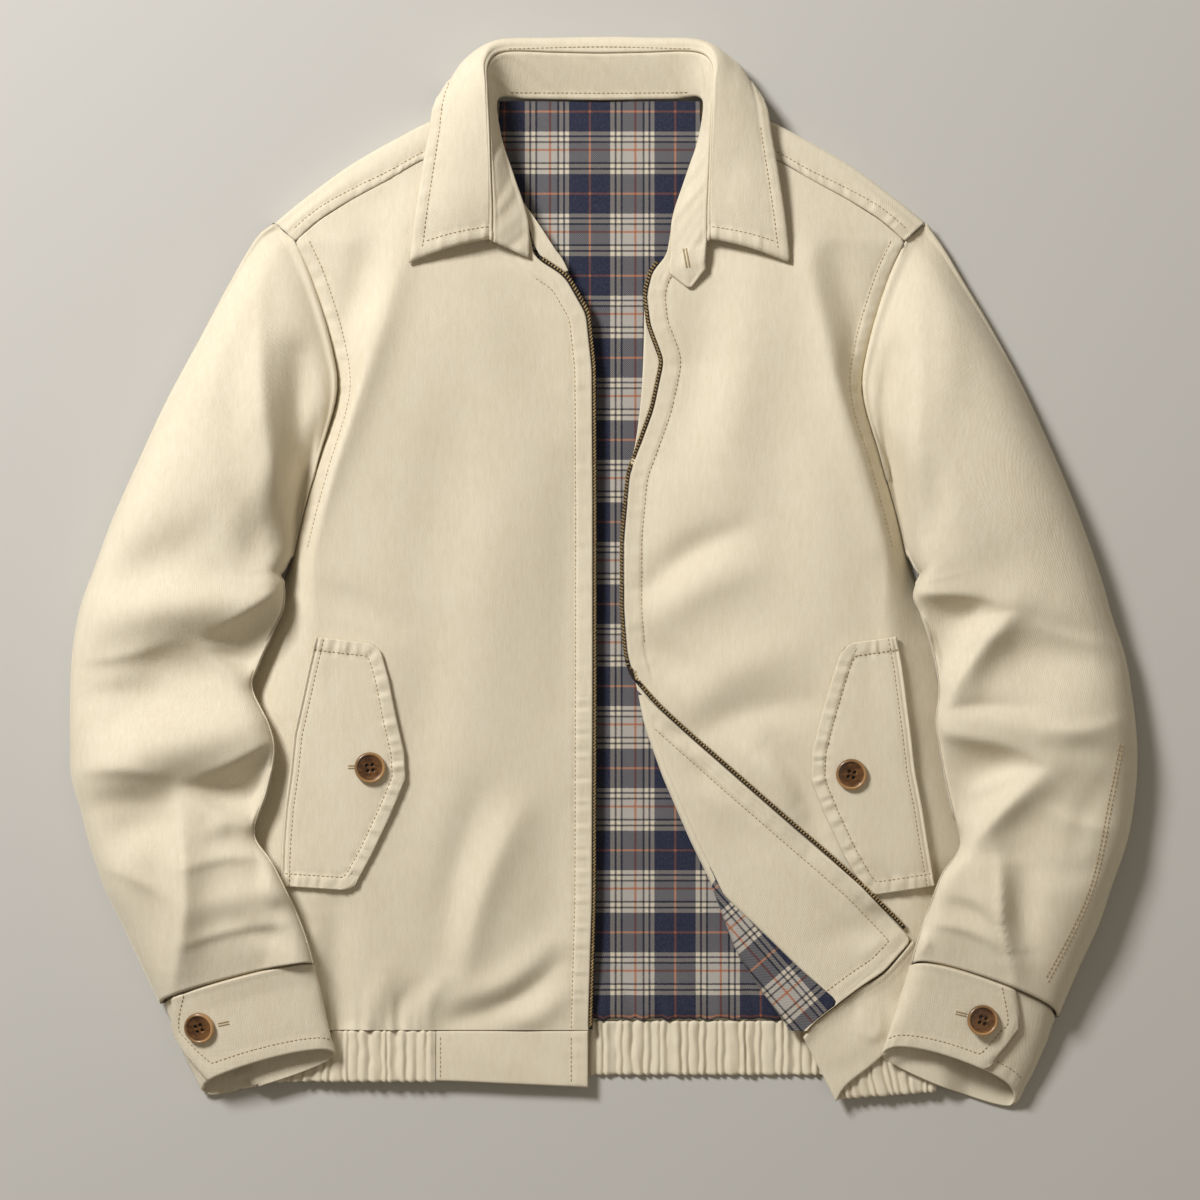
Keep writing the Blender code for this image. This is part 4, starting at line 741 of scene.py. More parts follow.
@dataclass
class Front:
    """A front panel as a height over the plane: x from its outer edge to its front edge."""

    side: Side
    edge: list[tuple[float, float]]
    heights: list[tuple[float, ...]]
    folds: list[tuple]
    stitched_from: float
    sewn: SewnEdge = SewnEdge(EDGE_STITCH, pucker=0.42, seed=2)
    armhole: SewnEdge = SewnEdge(ARMHOLE_STITCH, margin=0.7, pucker=0.8, seed=5)

    def __post_init__(self) -> None:
        """Works out the rounded front edge and the lines that are sewn."""
        self.edge_x = outline_x(self.edge, 6)
        y = np.arange(self.stitched_from, NECK_END, 4)
        self.edge_line = joined(self.edge_x(y), y)
        y = np.arange(UNDERARM, SHOULDER_END, 4)
        self.armhole_line = joined(self.side.value * front_outer(y), y)

    def edge_points(self, y: Array) -> Array:
        """Points of the front edge, on the face."""
        x = self.edge_x(y)
        return joined(x, y, self.face(x, y))

    def base(self, x: Array, y: Array) -> Array:
        """The panel's main form.

        The height follows the table's shares; near the outer edge it rises from the seam's height
        as 1 minus (1 minus d / reach) to a power.
        """
        outer = self.side.value * front_outer(y)
        share = np.clip((x - outer) / (self.edge_x(y) - outer), 0, 1)
        table = np.array(self.heights)
        full = np.zeros(np.shape(share))
        for k in range(len(FRONT_SHARES)):
            hat = np.zeros(len(FRONT_SHARES))
            hat[k] = 1
            level = soft_interp(y, table[:, 0], table[:, 1 + k], 16)
            full = full + level * soft_interp(share, FRONT_SHARES, hat, 0.05)
        heights = np.array(EDGE_HEIGHTS)
        reaches = np.array(EDGE_REACH)
        low = soft_interp(y, heights[:, 0], heights[:, 1], 6)
        reach = soft_interp(y, reaches[:, 0], reaches[:, 1], 9)
        rise = 1 - (1 - np.clip(np.abs(x - outer) / reach, 0, 1)) ** RISE_POWER
        return low + (full - low) * rise

    def face(self, x: Array, y: Array) -> Array:
        """The main form with its folds and its sewn edges."""
        outer = self.side.value * front_outer(y)
        inward = np.abs(x - outer)
        keep = smooth(inward / 14) * smooth((y - FRONT_HEM + 6) / 12)
        keep = keep * smooth((NECK_END - y) / 20)
        height = self.base(x, y) + creased(x, y, self.folds) * keep
        away, run = line_distance(x, y, self.edge_line)
        stitched = smooth((y - self.stitched_from) / 6)
        height = height + self.sewn.height(away, run) * stitched
        away, run = line_distance(x, y, self.armhole_line)
        sewn = self.armhole.height(away, run) * smooth((y - UNDERARM - 4) / 8)
        height = height + sewn * smooth((SHOULDER_END + 6 - y) / 10)
        gathers = bell(y, FRONT_HEM, 16) * smooth((inward_of_band(x) + 2) / 20)
        return height + 2 * gathers * ripple(x, 3, 1.4)

    def edge_distance(self, x: Array, y: Array) -> Array:
        """The distance to the nearest of the panel's sewn edges."""
        away = line_distance(x, y, self.edge_line)[0]
        return np.minimum(away, line_distance(x, y, self.armhole_line)[0])


def inward_of_band(x: Array) -> Array:
    """How far a place is out beyond the right hem's plain band; the left hem counts as beyond."""
    return np.where(x < 0, BAND_START - x, x - LEFT_GATHERS)


def fold_radius(y: Array) -> Array:
    """The turned fold's radius: 0.8 at its top, growing to 2.4 over the 70 mm below."""
    return 0.8 + 1.6 * np.clip((TURN_TOP - y) / 70, 0, 1)


def upright(grid: Array, thickness: float) -> Array:
    """The back of a nearly level wall: straight below it, deeper where the wall is steep."""
    steep = 1 / np.clip(np.abs(grid_normals(grid)[..., 2]), 0.6, 1)
    inner = np.array(grid)
    inner[..., 2] = np.maximum(grid[..., 2] - thickness * steep, SHELL + SEAM + 0.05)
    return inner


FRONT_COLUMNS = np.concatenate([
    np.linspace(0, 0.93, 88),
    1 - np.array([15.2, 13.4, 12.3, 11.6, 10.9, 9.8, 8.2, 6.4, 4.6, 3, 1.8, 0.9, 0.4, 0]) / 238,
])

RIGHT_FOLDS = [
    # as a Crease: x and y of both ends, height, width, then bow, power and steep
    (-131, 566, -202, 374, 4.9, 10, 4, 1.6, 1.5), (-156, 566, -186, 440, -4.6, 12),
    (-150, 590, -165, 520, -2.3, 14), (-66, 556, -30, 470, -3.2, 24, 4), (-52, 430, -80, 240, 3.2, 30, -6),
    (-92, 470, -118, 330, -2.3, 26), (-55, 187, -92, 78, 6.1, 13, -5, 1.7),
    (-82, 196, -104, 96, -3.8, 13, -4, 1.8), (-30, 180, -40, 78, -2.9, 18, 3),
    (-99, 46, -28, 84, -3.4, 8, -7, 1.6), (-98, 60, -34, 96, 4.3, 11, -7, 1.8),
    (-60, 44, -26, 62, 3.2, 9, -3), (-119, 40, -108, 72, 2.6, 7, 3), (-138, 40, -130, 66, -2.4, 6, 2),
    (-150, 40, -146, 78, 2.4, 8, 2), (-172, 40, -178, 120, -4.9, 12, 3), (-186, 40, -196, 100, 3.2, 9, 2),
    (-184, 335, -140, 312, -2, 10, 3), (-205, 330, -222, 240, 2.3, 12),
    (-110, 300, -128, 170, -2.9, 20, -4), (-20, 420, -24, 260, -2, 13),
]
LEFT_FOLDS = [
    (142, 560, 188, 368, 4.9, 10, -4, 1.6), (160, 562, 184, 450, -4.6, 12), (74, 552, 52, 430, -5.2, 20, 5),
    (104, 540, 78, 420, 3.2, 24, 4), (32, 338, 94, 378, -5.5, 11, 5, 1.8), (36, 316, 102, 352, 4.1, 15, 5),
    (28, 428, 34, 350, -3.5, 14, -3), (22, 316, 60, 280, -3.5, 12, -4), (58, 262, 128, 296, 3.2, 16, 5),
    (64, 240, 140, 262, -3.8, 13, 4, 1.8), (118, 232, 150, 170, -5.2, 12, 4, 1.7),
    (104, 226, 132, 190, 3.8, 10, 3), (120, 470, 112, 330, -2, 24, 5), (150, 450, 166, 330, 2.3, 20, -5),
    (196, 330, 206, 240, 2.3, 10), (206, 120, 190, 150, -2.6, 9),
]
TURNED_FOLDS = [
    (42, 244, 62, 232, -1.9, 5, 2, 1.7), (40, 234, 66, 222, 1.7, 6, 3), (52, 222, 78, 200, -1.5, 8, 3),
    (60, 200, 100, 178, 1.4, 11, 4), (84, 190, 104, 150, -1.1, 12), (110, 160, 150, 118, 1.4, 14, 5),
    (150, 100, 192, 108, -1.2, 10, 3), (180, 92, 204, 104, 1.4, 6, 2),
]


@dataclass
class TurnedCorner:
    """The corner of the left front that is turned back: rows of points at any distance away.

    Each row goes half round a bend at the fold and then lies over what is below it.
    """

    front: Front
    cover: Height
    bend_columns: int = 10
    lining_columns: int = 14
    facing_columns: int = 42

    def __post_init__(self) -> None:
        """Works out the rows, the bend and the places of the columns."""
        self.y = level_rows(FRONT_HEM, TURN_TOP - 2)
        self.radius = fold_radius(self.y)
        self.centre = self.front.edge_x(self.y) + self.radius + SHELL
        self.base = self.front.base(self.centre, self.y) + self.radius
        end = np.maximum(outline_x(TURNED_EDGE, 4)(self.y), self.centre + 1.6)
        meet = np.clip(outline_x(LINING_EDGE, 4)(self.y), self.centre + 0.8, end - 0.6)
        first = np.linspace(0, 1, self.lining_columns + 1)[1:]
        count = self.facing_columns - 9
        last = np.concatenate([np.linspace(0.02, 0.86, count), 1 - 0.14 * np.linspace(0.92, 0, 9) ** 1.4])
        start = self.centre[:, None]
        lining = start + (meet[:, None] - start) * first
        facing = meet[:, None] + (end - meet)[:, None] * last
        self.x = np.hstack([lining, facing])
        rows = np.broadcast_to(self.y[:, None], self.x.shape)
        level = np.maximum((self.base + self.radius)[:, None], self.cover(self.x, rows))
        inside = self.x - start
        self.level = level + creased(self.x, rows, TURNED_FOLDS) * smooth((inside - 8) / 14)
        self.edge_line = joined(end, self.y)[::-1]

    @property
    def lining_end(self) -> int:
        """The column at which lining and facing meet."""
        return self.bend_columns + self.lining_columns

    def points(self, away: float, first: int = 0, last: int | None = None) -> Array:
        """The grid at a distance from the cloth's face.

        Round the bend, x is the centre minus r sin a and the height is the middle minus r cos a.
        """
        angle = np.linspace(0, math.pi, self.bend_columns + 1)[None, :]
        reach = (self.radius + away)[:, None]
        x = self.centre[:, None] - reach * np.sin(angle)
        turned = self.level[:, :1] - self.radius[:, None]
        middle = self.base[:, None] + (turned - self.base[:, None]) * smooth(angle / math.pi)
        bend = joined(x, self.y[:, None], middle - reach * np.cos(angle))
        flat = joined(self.x, self.y[:, None], self.level + away)
        whole = np.concatenate([bend, flat], axis=1)
        return whole[:, first : None if last is None else last + 1]


@dataclass
class Body:
    """Back, back lining, the two fronts, the turned corner's linings and the neck's facings."""

    right: Front = field(
        default_factory=lambda: Front(Side.RIGHT, RIGHT_EDGE, RIGHT_HEIGHTS, RIGHT_FOLDS, FRONT_HEM)
    )
    left: Front = field(
        default_factory=lambda: Front(Side.LEFT, LEFT_EDGE, LEFT_HEIGHTS, LEFT_FOLDS, TURN_TOP + 6)
    )
    lining_pucker: float = 3.4

    def make_back(self, shop: Workshop) -> None:
        """The flat back panel, and the lining on it with its soft puckers over the hem."""
        outline = outline_x(SIDE_EDGE + [tuple(p) for p in FINE_BACK_ARMHOLE] + BACK_SHOULDER, 3)
        y = level_rows(BACK_HEM, 668.9, 6)[:, None]
        x = outline(y) * np.linspace(-1, 1, 60)
        plan = np.broadcast_arrays(x, y, SHELL)
        top = np.stack(plan, axis=-1)
        shop.shell("back", top, up(top, -SHELL))
        y = level_rows(LINING_HEM, LINING_TOP, 3.2)[:, None]
        x = outline_x(LINING_WIDTHS, 6)(y) * np.linspace(-1, 1, 120)
        y = np.broadcast_to(y, x.shape)
        hem = bell(y, 52, 26)
        waves = self.lining_pucker * hem * (0.55 + 0.5 * ripple(x + 0.35 * (y - 50), 4, 1.7))
        open_part = smooth((x + 40) / 30) * smooth((150 - x) / 30)
        calm = 0.5 + 0.45 * ripple(x * 0.5 + 0.2 * y, 2, 5) * ripple(y * 0.6, 6, 6)
        neck = smooth((y - 560) / 60)
        height = SHELL + SEAM + LINING + np.clip(waves, 0, 6) * smooth((y - 46) / 4)
        height = height + 0.9 * np.clip(calm, 0, 1.2) * open_part * (1 - 0.4 * neck)
        height = height - roll(np.minimum(y - LINING_HEM, LINING_TOP - y), 0.6)
        cloth = joined(x, 49 + (y - 49) * 1.0403)
        hang = np.clip(0.5 + 0.5 * ripple(x, 9, 1.5), 0, 1.2) * bell(y, LINING_HEM, 6)
        y = y - 2.4 * hang
        top = joined(x, y, height + 0.8 * hang)
        inner = joined(x, y, np.full(x.shape, SHELL + SEAM))
        shop.shell("back_lining", top, inner, Slot.PLAID, cloth=cloth)

    def grid(self, front: Front) -> Array:
        """A front's grid of points, a row for each level and a column for each share."""
        y = [level_rows(FRONT_HEM, top) for top in (NECK_END, TURN_TOP - 2)]
        y = np.unique(np.concatenate(y))
        y = y[np.concatenate([[True], np.diff(y) > 0.2])][:, None]
        outer = front.side.value * front_outer(y)
        inset_x = 0
        if front.side is Side.LEFT:
            inset_x = (fold_radius(y) + SHELL) * (y < TURN_TOP - 1)
        x = outer + (front.edge_x(y) + inset_x - outer) * FRONT_COLUMNS
        y = np.broadcast_to(y, x.shape)
        return joined(x, y, front.face(x, y))

    def make_right(self, shop: Workshop) -> None:
        """The wearer's right front."""
        top = self.grid(self.right)
        edge = self.right.edge_distance(*xy(top))
        shop.shell("front_right", top, upright(top, SHELL), edge=edge)

    def make_left(self, shop: Workshop, corner: TurnedCorner) -> None:
        """The wearer's left front: the panel, and the part that is turned back as one cloth."""
        top = self.grid(self.left)
        under = upright(top, SHELL)
        low = top[:, -1, 1] < TURN_TOP - 1
        under[low, -1] = up(top[low, -1], -SHELL)
        rows = np.interp(corner.y, top[:, -1, 1], np.arange(len(top)))
        rows = np.rint(rows).astype(int)
        index = np.arange(top[..., 0].size).reshape(top.shape[:2])
        face = corner.points(0, 1)
        back = corner.points(SHELL, 1)
        more = index.size + np.arange(face[..., 0].size).reshape(face.shape[:2])
        outer = np.vstack([top.reshape(-1, 3), face.reshape(-1, 3)])
        inner = np.vstack([under.reshape(-1, 3), back.reshape(-1, 3)])
        flap = np.hstack([index[rows, -1:], more])
        faces = np.vstack([quads_of(index), quads_of(flap)])
        count = len(outer)
        rim = open_edges(faces)
        rim = joined(rim[:, 1], rim[:, 0], rim[:, 0] + count, rim[:, 1] + count)
        faces = np.vstack([faces, faces[:, ::-1] + count, rim])
        edge = self.left.edge_distance(outer[:, 0], outer[:, 1])
        edge[index.size :] = 99
        turned = joined(2 * corner.centre[:, None] - face[..., 0], face[..., 1])
        cloth = np.vstack([top[..., :2].reshape(-1, 2), turned.reshape(-1, 2)])
        piece = shop.mesh(
            "front_left", np.vstack([outer, inner]), faces, Slot.SHELL, np.tile(cloth, (2, 1)),
            np.tile(edge, 2), ["front_left"],
        )
        shop.relief.add(top)
        shop.relief.add(corner.points(SHELL, corner.bend_columns))

    def make_corner_linings(self, shop: Workshop, corner: TurnedCorner) -> None:
        """Plaid lining round the fold, and the facing from there to the front edge."""
        meet = corner.lining_end
        low = corner.y < TURNED_LINING_TOP
        under = corner.points(SHELL + SEAM, 1, meet)[low]
        over = corner.points(SHELL + SEAM + LINING, 1, meet)[low]
        start = (meet - 1.5) * (1 - smooth((TURNED_LINING_TOP - corner.y[low]) / 20))[:, None]
        at = start + (meet - 1 - start) * np.linspace(0, 1, meet)
        under, over = slid(under, at), slid(over, at)
        for sheet in (under, over):
            sheet[:, -1, 0] -= SEAM
        shop.shell("lining_left", over, under, Slot.PLAID, cloth=zip_plan(over))
        under = corner.points(SHELL + SEAM, meet)
        over = corner.points(SHELL + SEAM + LINING, meet)
        far, run = line_distance(*xy(over), corner.edge_line)
        sewn = SewnEdge(EDGE_STITCH, margin=0.5, pucker=0.55, edge_radius=0.8, seed=7)
        over[..., 2] += sewn.height(far, run) + 0.5
        inner_edge = over[..., 0] - over[:, :1, 0]
        over[..., 2] -= roll(inner_edge, 0.7)
        band, run = line_distance(*xy(over), np.array(LEFT_BAND)[:, :2])
        over[..., 2] += 0.4 * bell(band, 1.6, 1.2) - roll(band, 0.4)
        shop.shell("facing_left", over, under, cloth=zip_plan(over), edge=np.minimum(far, band))

    def make_neck_facings(self, shop: Workshop) -> None:
        """The narrow parts of the facings that show inside the neck."""
        for name, rows in NECK_FACINGS.items():
            table = curved(rows, 10)
            plan = spread(table, np.linspace(0, 1, 14))
            grid = joined(*xy(plan), table[:, 4:])
            shop.shell(name, grid, up(grid, -LINING))


def open_edges(faces: Array) -> Array:
    """The edges that only one face has, in that face's direction."""
    edges = joined(faces, np.roll(faces, -1, axis=1)).reshape(-1, 2)
    span = int(faces.max()) + 1
    key = edges.min(axis=1) * span + edges.max(axis=1)
    _, first, count = np.unique(key, return_index=True, return_counts=True)
    return edges[first[count == 1]]


def zip_plan(grid: Array) -> Array:
    """Place on the cloth of the turned corner: its plan turned to run with the front edge."""
    turn = math.radians(41)
    x = grid[..., 0] * math.cos(turn) + grid[..., 1] * math.sin(turn)
    y = grid[..., 1] * math.cos(turn) - grid[..., 0] * math.sin(turn)
    return joined(y, x)


# --- hem
@dataclass
class Hem:
    """The hem band: gathered elastic stretches and the plain ends."""

    pitch: float = 6.4
    depth: float = 2.6
    floor: float = 1.9
    plain_start: float = BAND_START
    plain_top: float = 10.0

    def gathered(
        self, shop: Workshop, name: str, lower: Table, upper: Table, heights: Table, seed: float
    ) -> None:
        """A gathered stretch between two edges.

        The height is the root of a cosine wave along an unevenly stretched share, so that the
        gathers differ in width, depth and lean; both edges are scalloped with them.

        Args:
            shop: the workshop.
            name: the piece.
            lower: both ends of the lower edge.
            upper: both ends of the upper edge.
            heights: x and height of the underside.
            seed: what makes the stretch differ from the others.
        """
        edges = np.array([lower, upper], float)
        span = float(np.ptp(edges[..., 0], axis=1).mean())
        count = round(span / self.pitch)
        share = np.linspace(0, 1, count * 9 + 1)[None, :]
        middle = np.linspace(0.12, 0.88, 11)
        depth_share = np.concatenate([[0, 0.02, 0.06], middle, [0.94, 0.98, 1]])[:, None]
        start = edges[0, 0] + (edges[1, 0] - edges[0, 0]) * depth_share
        end = edges[0, 1] + (edges[1, 1] - edges[0, 1]) * depth_share
        plan = start[:, None] + (end - start)[:, None] * share[..., None]
        run = share * span
        sway = 0.3 * ripple(run, seed, 2.2) + 0.1 * ripple(depth_share * 40 + run, seed + 1, 3)
        phase = share * count + sway
        wave = 0.5 - 0.5 * np.cos(2 * math.pi * phase)
        uneven = 0.75 + 0.3 * ripple(run + 8 * depth_share, seed + 2, 2.5)
        table = np.array(heights, float)
        under = np.interp(plan[..., 0], table[:, 0], table[:, 1])
        ends = np.minimum(depth_share, 1 - depth_share) * 37
        round_top = np.sqrt(np.clip(wave, 0, 1) + 0.002)
        top = under + self.floor + self.depth * round_top * np.clip(uneven, 0.35, 1.1) - roll(ends, 1.3)
        scallop = 0.7 * wave * (np.exp(-depth_share / 0.05) - 0.4 * np.exp(-(1 - depth_share) / 0.05))
        outer = joined(plan[..., 0], plan[..., 1] - scallop, top)
        inner = joined(plan[..., 0], plan[..., 1] - scallop, under)
        shop.shell(name, outer, inner, edge=np.broadcast_to(ends, top.shape))

    def make(self, shop: Workshop) -> None:
        """The back's and the two fronts' gathered stretches, and the right front's plain end."""
        half = float(front_outer(np.array(FRONT_HEM)))
        ends = half - 1
        back = BACK_HEM - SEAM
        seam = FRONT_HEM - SEAM
        upper = [(-ends, back), (ends, back)]
        self.gathered(shop, "hem_elastic_back", [(-ends, 8), (ends, 8)], upper, [(0, 0)], 1)
        right = self.plain_start - SEAM
        self.gathered(
            shop, "hem_elastic_right", [(-half, 4), (right, 4)], [(-half, seam), (right, seam)],
            [(-228, 5), (-190, 5.4), (right, 7.4)], 2,
        )
        self.gathered(
            shop, "hem_elastic_left", [(161.5, -8), (half, -3)], [(139, seam), (half, seam)],
            [(139, 5.2), (190, 5)], 3,
        )
        x = self.plain_start + level_rows(0, 103, 2.2)[None, :]
        low = np.interp(x, [self.plain_start, -95, -8], [4.5, 4, 0])
        share = np.concatenate([[0, 0.015, 0.04], np.linspace(0.08, 0.92, 16), [0.96, 0.985, 1]])[:, None]
        y = seam + (low - seam) * share
        inside = np.minimum(seam - y, y - low)
        inside = np.minimum(inside, x[:, -1:] - x)
        top = self.plain_top + 0.3 * np.sin(math.pi * share) - roll(inside, 1.1)
        band = x[:, -1:] - x
        sewn = SewnEdge(EDGE_STITCH, margin=0.4, pucker=0.3, edge_radius=0.01, seed=3)
        top = top + sewn.height(band, y)
        top = top + creased(x, y, [(-90, 30, -60, 8, 0.7, 9), (-50, 34, -30, 10, -0.6, 8)])
        outer = joined(x, y, top)
        inner = joined(x, y, self.plain_top - BAND)
        shop.shell("hem_front_right", outer, inner, edge=np.broadcast_to(inside, top.shape))

    def make_turned(self, shop: Workshop, cover: Height) -> None:
        """The plain band of the turned corner, its lining side up."""
        table = curved(LEFT_BAND, 14)
        share = np.concatenate([[0, 0.015, 0.04], np.linspace(0.08, 0.92, 18), [0.96, 0.985, 1]])
        start = table[:, None, 0:2]
        end = table[:, None, 2:4]
        start = start + unit(end - start) * 0.12
        plan = start + (end - start) * share[None, :, None]
        level = cover(*xy(plan))
        wide = np.linalg.norm(end - start, axis=-1) * share
        far = np.linalg.norm(end - start, axis=-1) - wide
        side = line_distance(*xy(plan), np.array([LEFT_BAND[0][:2], LEFT_BAND[0][2:]]))[0]
        rounded = roll(np.minimum(far, side), 1.2) + roll(wide, 0.25) - 1.9 * (1 - smooth(wide / 10))
        piping = 0.5 * bell(wide, 1.5, 1) - 0.5 * bell(wide, 3, 0.6)
        folds = [(170, 20, 196, 44, 0.9, 10), (196, 60, 222, 66, -0.9, 8), (158, 10, 180, 20, -0.7, 8)]
        height = level + BAND - rounded + piping + creased(*xy(plan), folds)
        outer = lifted(plan, height)
        inner = lifted(plan, level)
        shop.shell("hem_front_left", outer, inner, cloth=zip_plan(outer), edge=np.minimum(wide, far))


# --- pockets
@dataclass
class PocketFlap:
    """A flap sewn along its hinge, with turned and topstitched free edges."""

    name: str
    table: list[tuple[float, ...]]
    seed: float
    corner: float = 7.0

    def make(self, shop: Workshop) -> None:
        """Lays the flap on its front.

        The hinge has a piping and a fine groove, the free edges a thicker margin with puckers.
        """
        coarse = np.array(self.table, float)
        walked = walked_along(coarse[:, :2])
        at = level_rows(0, walked[-1], 2)
        rows = np.stack([soft_interp(at, walked, column, 2.5) for column in coarse.T], axis=-1)
        rows[0], rows[-1] = coarse[0], coarse[-1]
        near = np.array([0, 0.8, 1.6, 2.2, 2.8, 3.6, 4.8, 6, 7.2, 9])
        far = np.array([12.5, 10.8, 9.8, 9, 8.2, 7, 5.5, 4, 2.8, 1.6, 0.8, 0.35, 0])
        corner = roll(np.minimum(at, walked[-1] - at), self.corner)[:, None]
        rows[:, 2:] -= corner * unit(rows[:, 2:] - rows[:, :2])
        wide = np.linalg.norm(rows[:, 2:] - rows[:, :2], axis=1)[:, None]
        between = 11 + (wide - 11 - 14.5) * np.linspace(0, 1, 18)
        reach = np.hstack([np.tile(near, (len(rows), 1)), between, wide - far])
        plan = spread(rows, reach / wide)
        x, y = xy(plan)
        cover = shop.relief.cover(LAID - 0.2, 3)
        under = cover(x, y)
        free = np.vstack([coarse[:1, :2], rows[::3, 2:], rows[-1:, 2:], coarse[-1:, :2]])
        self.free_line = free
        self.hinge_line = rows[:, :2]
        away, run = line_distance(x, y, free)
        sewn = SewnEdge(FLAP_STITCH, margin=0.7, pucker=1, edge_radius=1.1, seed=self.seed)
        height = under + FLAP + sewn.height(away, run)
        height = height + 0.7 * bell(reach, 1.1, 0.8) - 1 * bell(reach, 2.5, 0.5)
        height = height - 0.4 * bell(reach, HINGE_STITCH, 0.9) - roll(reach, 0.7)
        middle = smooth((away - FLAP_STITCH - 2) / 10) * smooth((reach - 8) / 8)
        height = height + 0.5 * middle * ripple(0.35 * y + 0.5 * x, self.seed + 2, 3.4)
        outer = lifted(plan, height)
        inner = np.concatenate([plan, np.minimum(under, height - 0.6)[..., None]], axis=-1)
        shop.shell(self.name, outer, inner, edge=np.minimum(away, reach))


# --- sleeves and cuffs
def armhole(points: Table) -> Array:
    """An armhole from the tip of the shoulder to the underarm, a point for each section column."""
    tip = np.array(points[-1], float)
    corner = np.array(points[-2], float)
    below = curved(points[:-1], 4)[::-1]
    below = along(below, np.array(ARMHOLE_SHARES) * length_of(below))
    return np.vstack([tip, 0.5 * (tip + corner), corner, below])


def refined(grid: Array, rows: int, columns: int) -> Array:
    """A grid with more points: the table curve through its rows, then through its columns."""
    grid = curved(grid, rows)
    return np.swapaxes(curved(np.swapaxes(grid, 0, 1), columns), 0, 1)


def edge_height(y: Array) -> Array:
    """The fronts' height at their outer edge."""
    table = np.array(EDGE_HEIGHTS, float)
    return np.interp(y, table[:, 0], table[:, 1])


@dataclass
class Sleeve:
    """A sleeve of an upper and a lower half, from the armhole to the cuff seam."""

    side: Side
    table: list[tuple[float, ...]]
    folds: list[tuple]
    row_steps: int = 10
    column_steps: int = 6

    def grids(self, cover: Height) -> tuple[Array, Array]:
        """The outer faces of both halves.

        Each section is a chord that bows with the armhole near it. The upper half's height is the
        seam's plus a share of the crown's, with folds; the lower half's falls to what it lies on.

        Args:
            cover: the height of what the sleeve lies on.

        Returns:
            The upper and the lower grid.
        """
        table = curved(self.table, self.row_steps)
        section = np.clip(curved(SECTION, self.column_steps), 0, 1)
        width = section[:, 0]
        rows = (np.arange(len(table)) / self.row_steps)[:, None]
        straight = spread(table, width)
        plans = []
        side = self.side.value
        for points in (FRONT_ARMHOLE, BACK_ARMHOLE):
            hole = curved(armhole(points), self.column_steps) * np.array([side, 1])
            if points is FRONT_ARMHOLE:
                snug = (hole[:, 1] > UNDERARM) & (hole[:, 1] < SHOULDER_END - 2)
                hole[:, 0] = np.where(snug, side * front_outer(hole[:, 1]), hole[:, 0])
            hole[:, 0] += side * ARMHOLE_GAP
            bow = hole - (hole[0] + (hole[-1] - hole[0]) * width[:, None])
            plans.append(straight + bow[None] * np.clip(table[:, 4], 0, 1)[:, None, None])
        x, y = plans[0][..., 0], plans[0][..., 1]
        lift = cover(x, y)
        fan = FAN_ROWS * self.row_steps
        lift[:fan] = lift[fan] * rows[:fan] / FAN_ROWS
        third = len(width) // 3
        lift[:, :third] = np.where(lift[:, :third] < 1, 0, lift[:, :third])
        lift = np.where(lift < TOUCHING, 0, lift)
        seam = lift + SLEEVE_SEAM
        crown = table[:, 5, None] + (table[:, 6] - table[:, 5])[:, None] * width
        low = 1 - np.clip(1 - rows / FAN_ROWS, 0, 1) * smooth((width - 0.55) / 0.45)
        upper = seam + (np.maximum(crown, seam + 12) - seam) * section[:, 1] * low
        upper = upper + creased(x, y, self.folds) * section[:, 1] ** 2 * smooth(rows / 1.2)
        hole = plans[0][0]
        tip = np.clip((SHOULDER_END + 14 - hole[:, 1]) / 14, 0, 1)
        upper[0] = edge_height(hole[:, 1]) * tip + 8 * (1 - tip)
        lower = lift + SLEEVE_SEAM * section[:, 2]
        lower[0] = np.where(width < 0.5, 8, 0) * section[:, 2]
        lower[:fan, -1] = lift[:fan, -1]
        upper[:fan, -1] = lift[:fan, -1] + edge_height(UNDERARM)
        upper[1:, 1:-1] = np.maximum(upper[1:, 1:-1], lower[1:, 1:-1] + 2 * SHELL + 1)
        axis = unit(np.gradient(table[:, 0:2], axis=0))[:, None]
        lean = table[:, 7, None, None] * np.sin(np.linspace(0, math.pi, len(width)))[None, :, None]
        return lifted(plans[0] - axis * lean, upper), lifted(plans[1] + axis * lean * 0.3, lower)

    def wall(self, grid: Array, sense: float) -> Array:
        """The inner face: along the normals, level at the long seams, upright at the armhole."""
        normals = grid_normals(grid)
        normals *= np.where(normals[..., 2:] * sense < 0, -1, 1)
        across = grid[:, -1] - grid[:, 0]
        across[:, 2] = 0
        across = unit(across)
        normals[:, 0] = -across
        normals[:, -1] = across
        normals[0, 1:] = (0, 0, sense)
        fan = FAN_ROWS * self.row_steps
        normals[:fan, -3 * self.column_steps :] = (0, 0, sense)
        return grid - normals * SHELL

    def make(self, shop: Workshop, cover: Height) -> None:
        """Both halves, the lower one first."""
        upper, lower = self.grids(cover)
        lower[:, 0, 2] -= SEAM
        lower[FAN_ROWS * self.row_steps :, -1, 2] -= SEAM
        name = f"sleeve_{self.side.word}"
        table = curved(self.table, self.row_steps)
        run = walked_along(table[:, :2])
        walked = walked_along(upper, 1)
        cloth = joined(walked, run[:, None])
        edge = np.minimum(run[-1] - run[:, None], walked)
        shop.shell(f"{name}_under", lower, self.wall(lower, -1), cloth=cloth, edge=edge, lay=False)
        shop.shell(f"{name}_top", upper, self.wall(upper, 1), cloth=cloth, edge=edge)


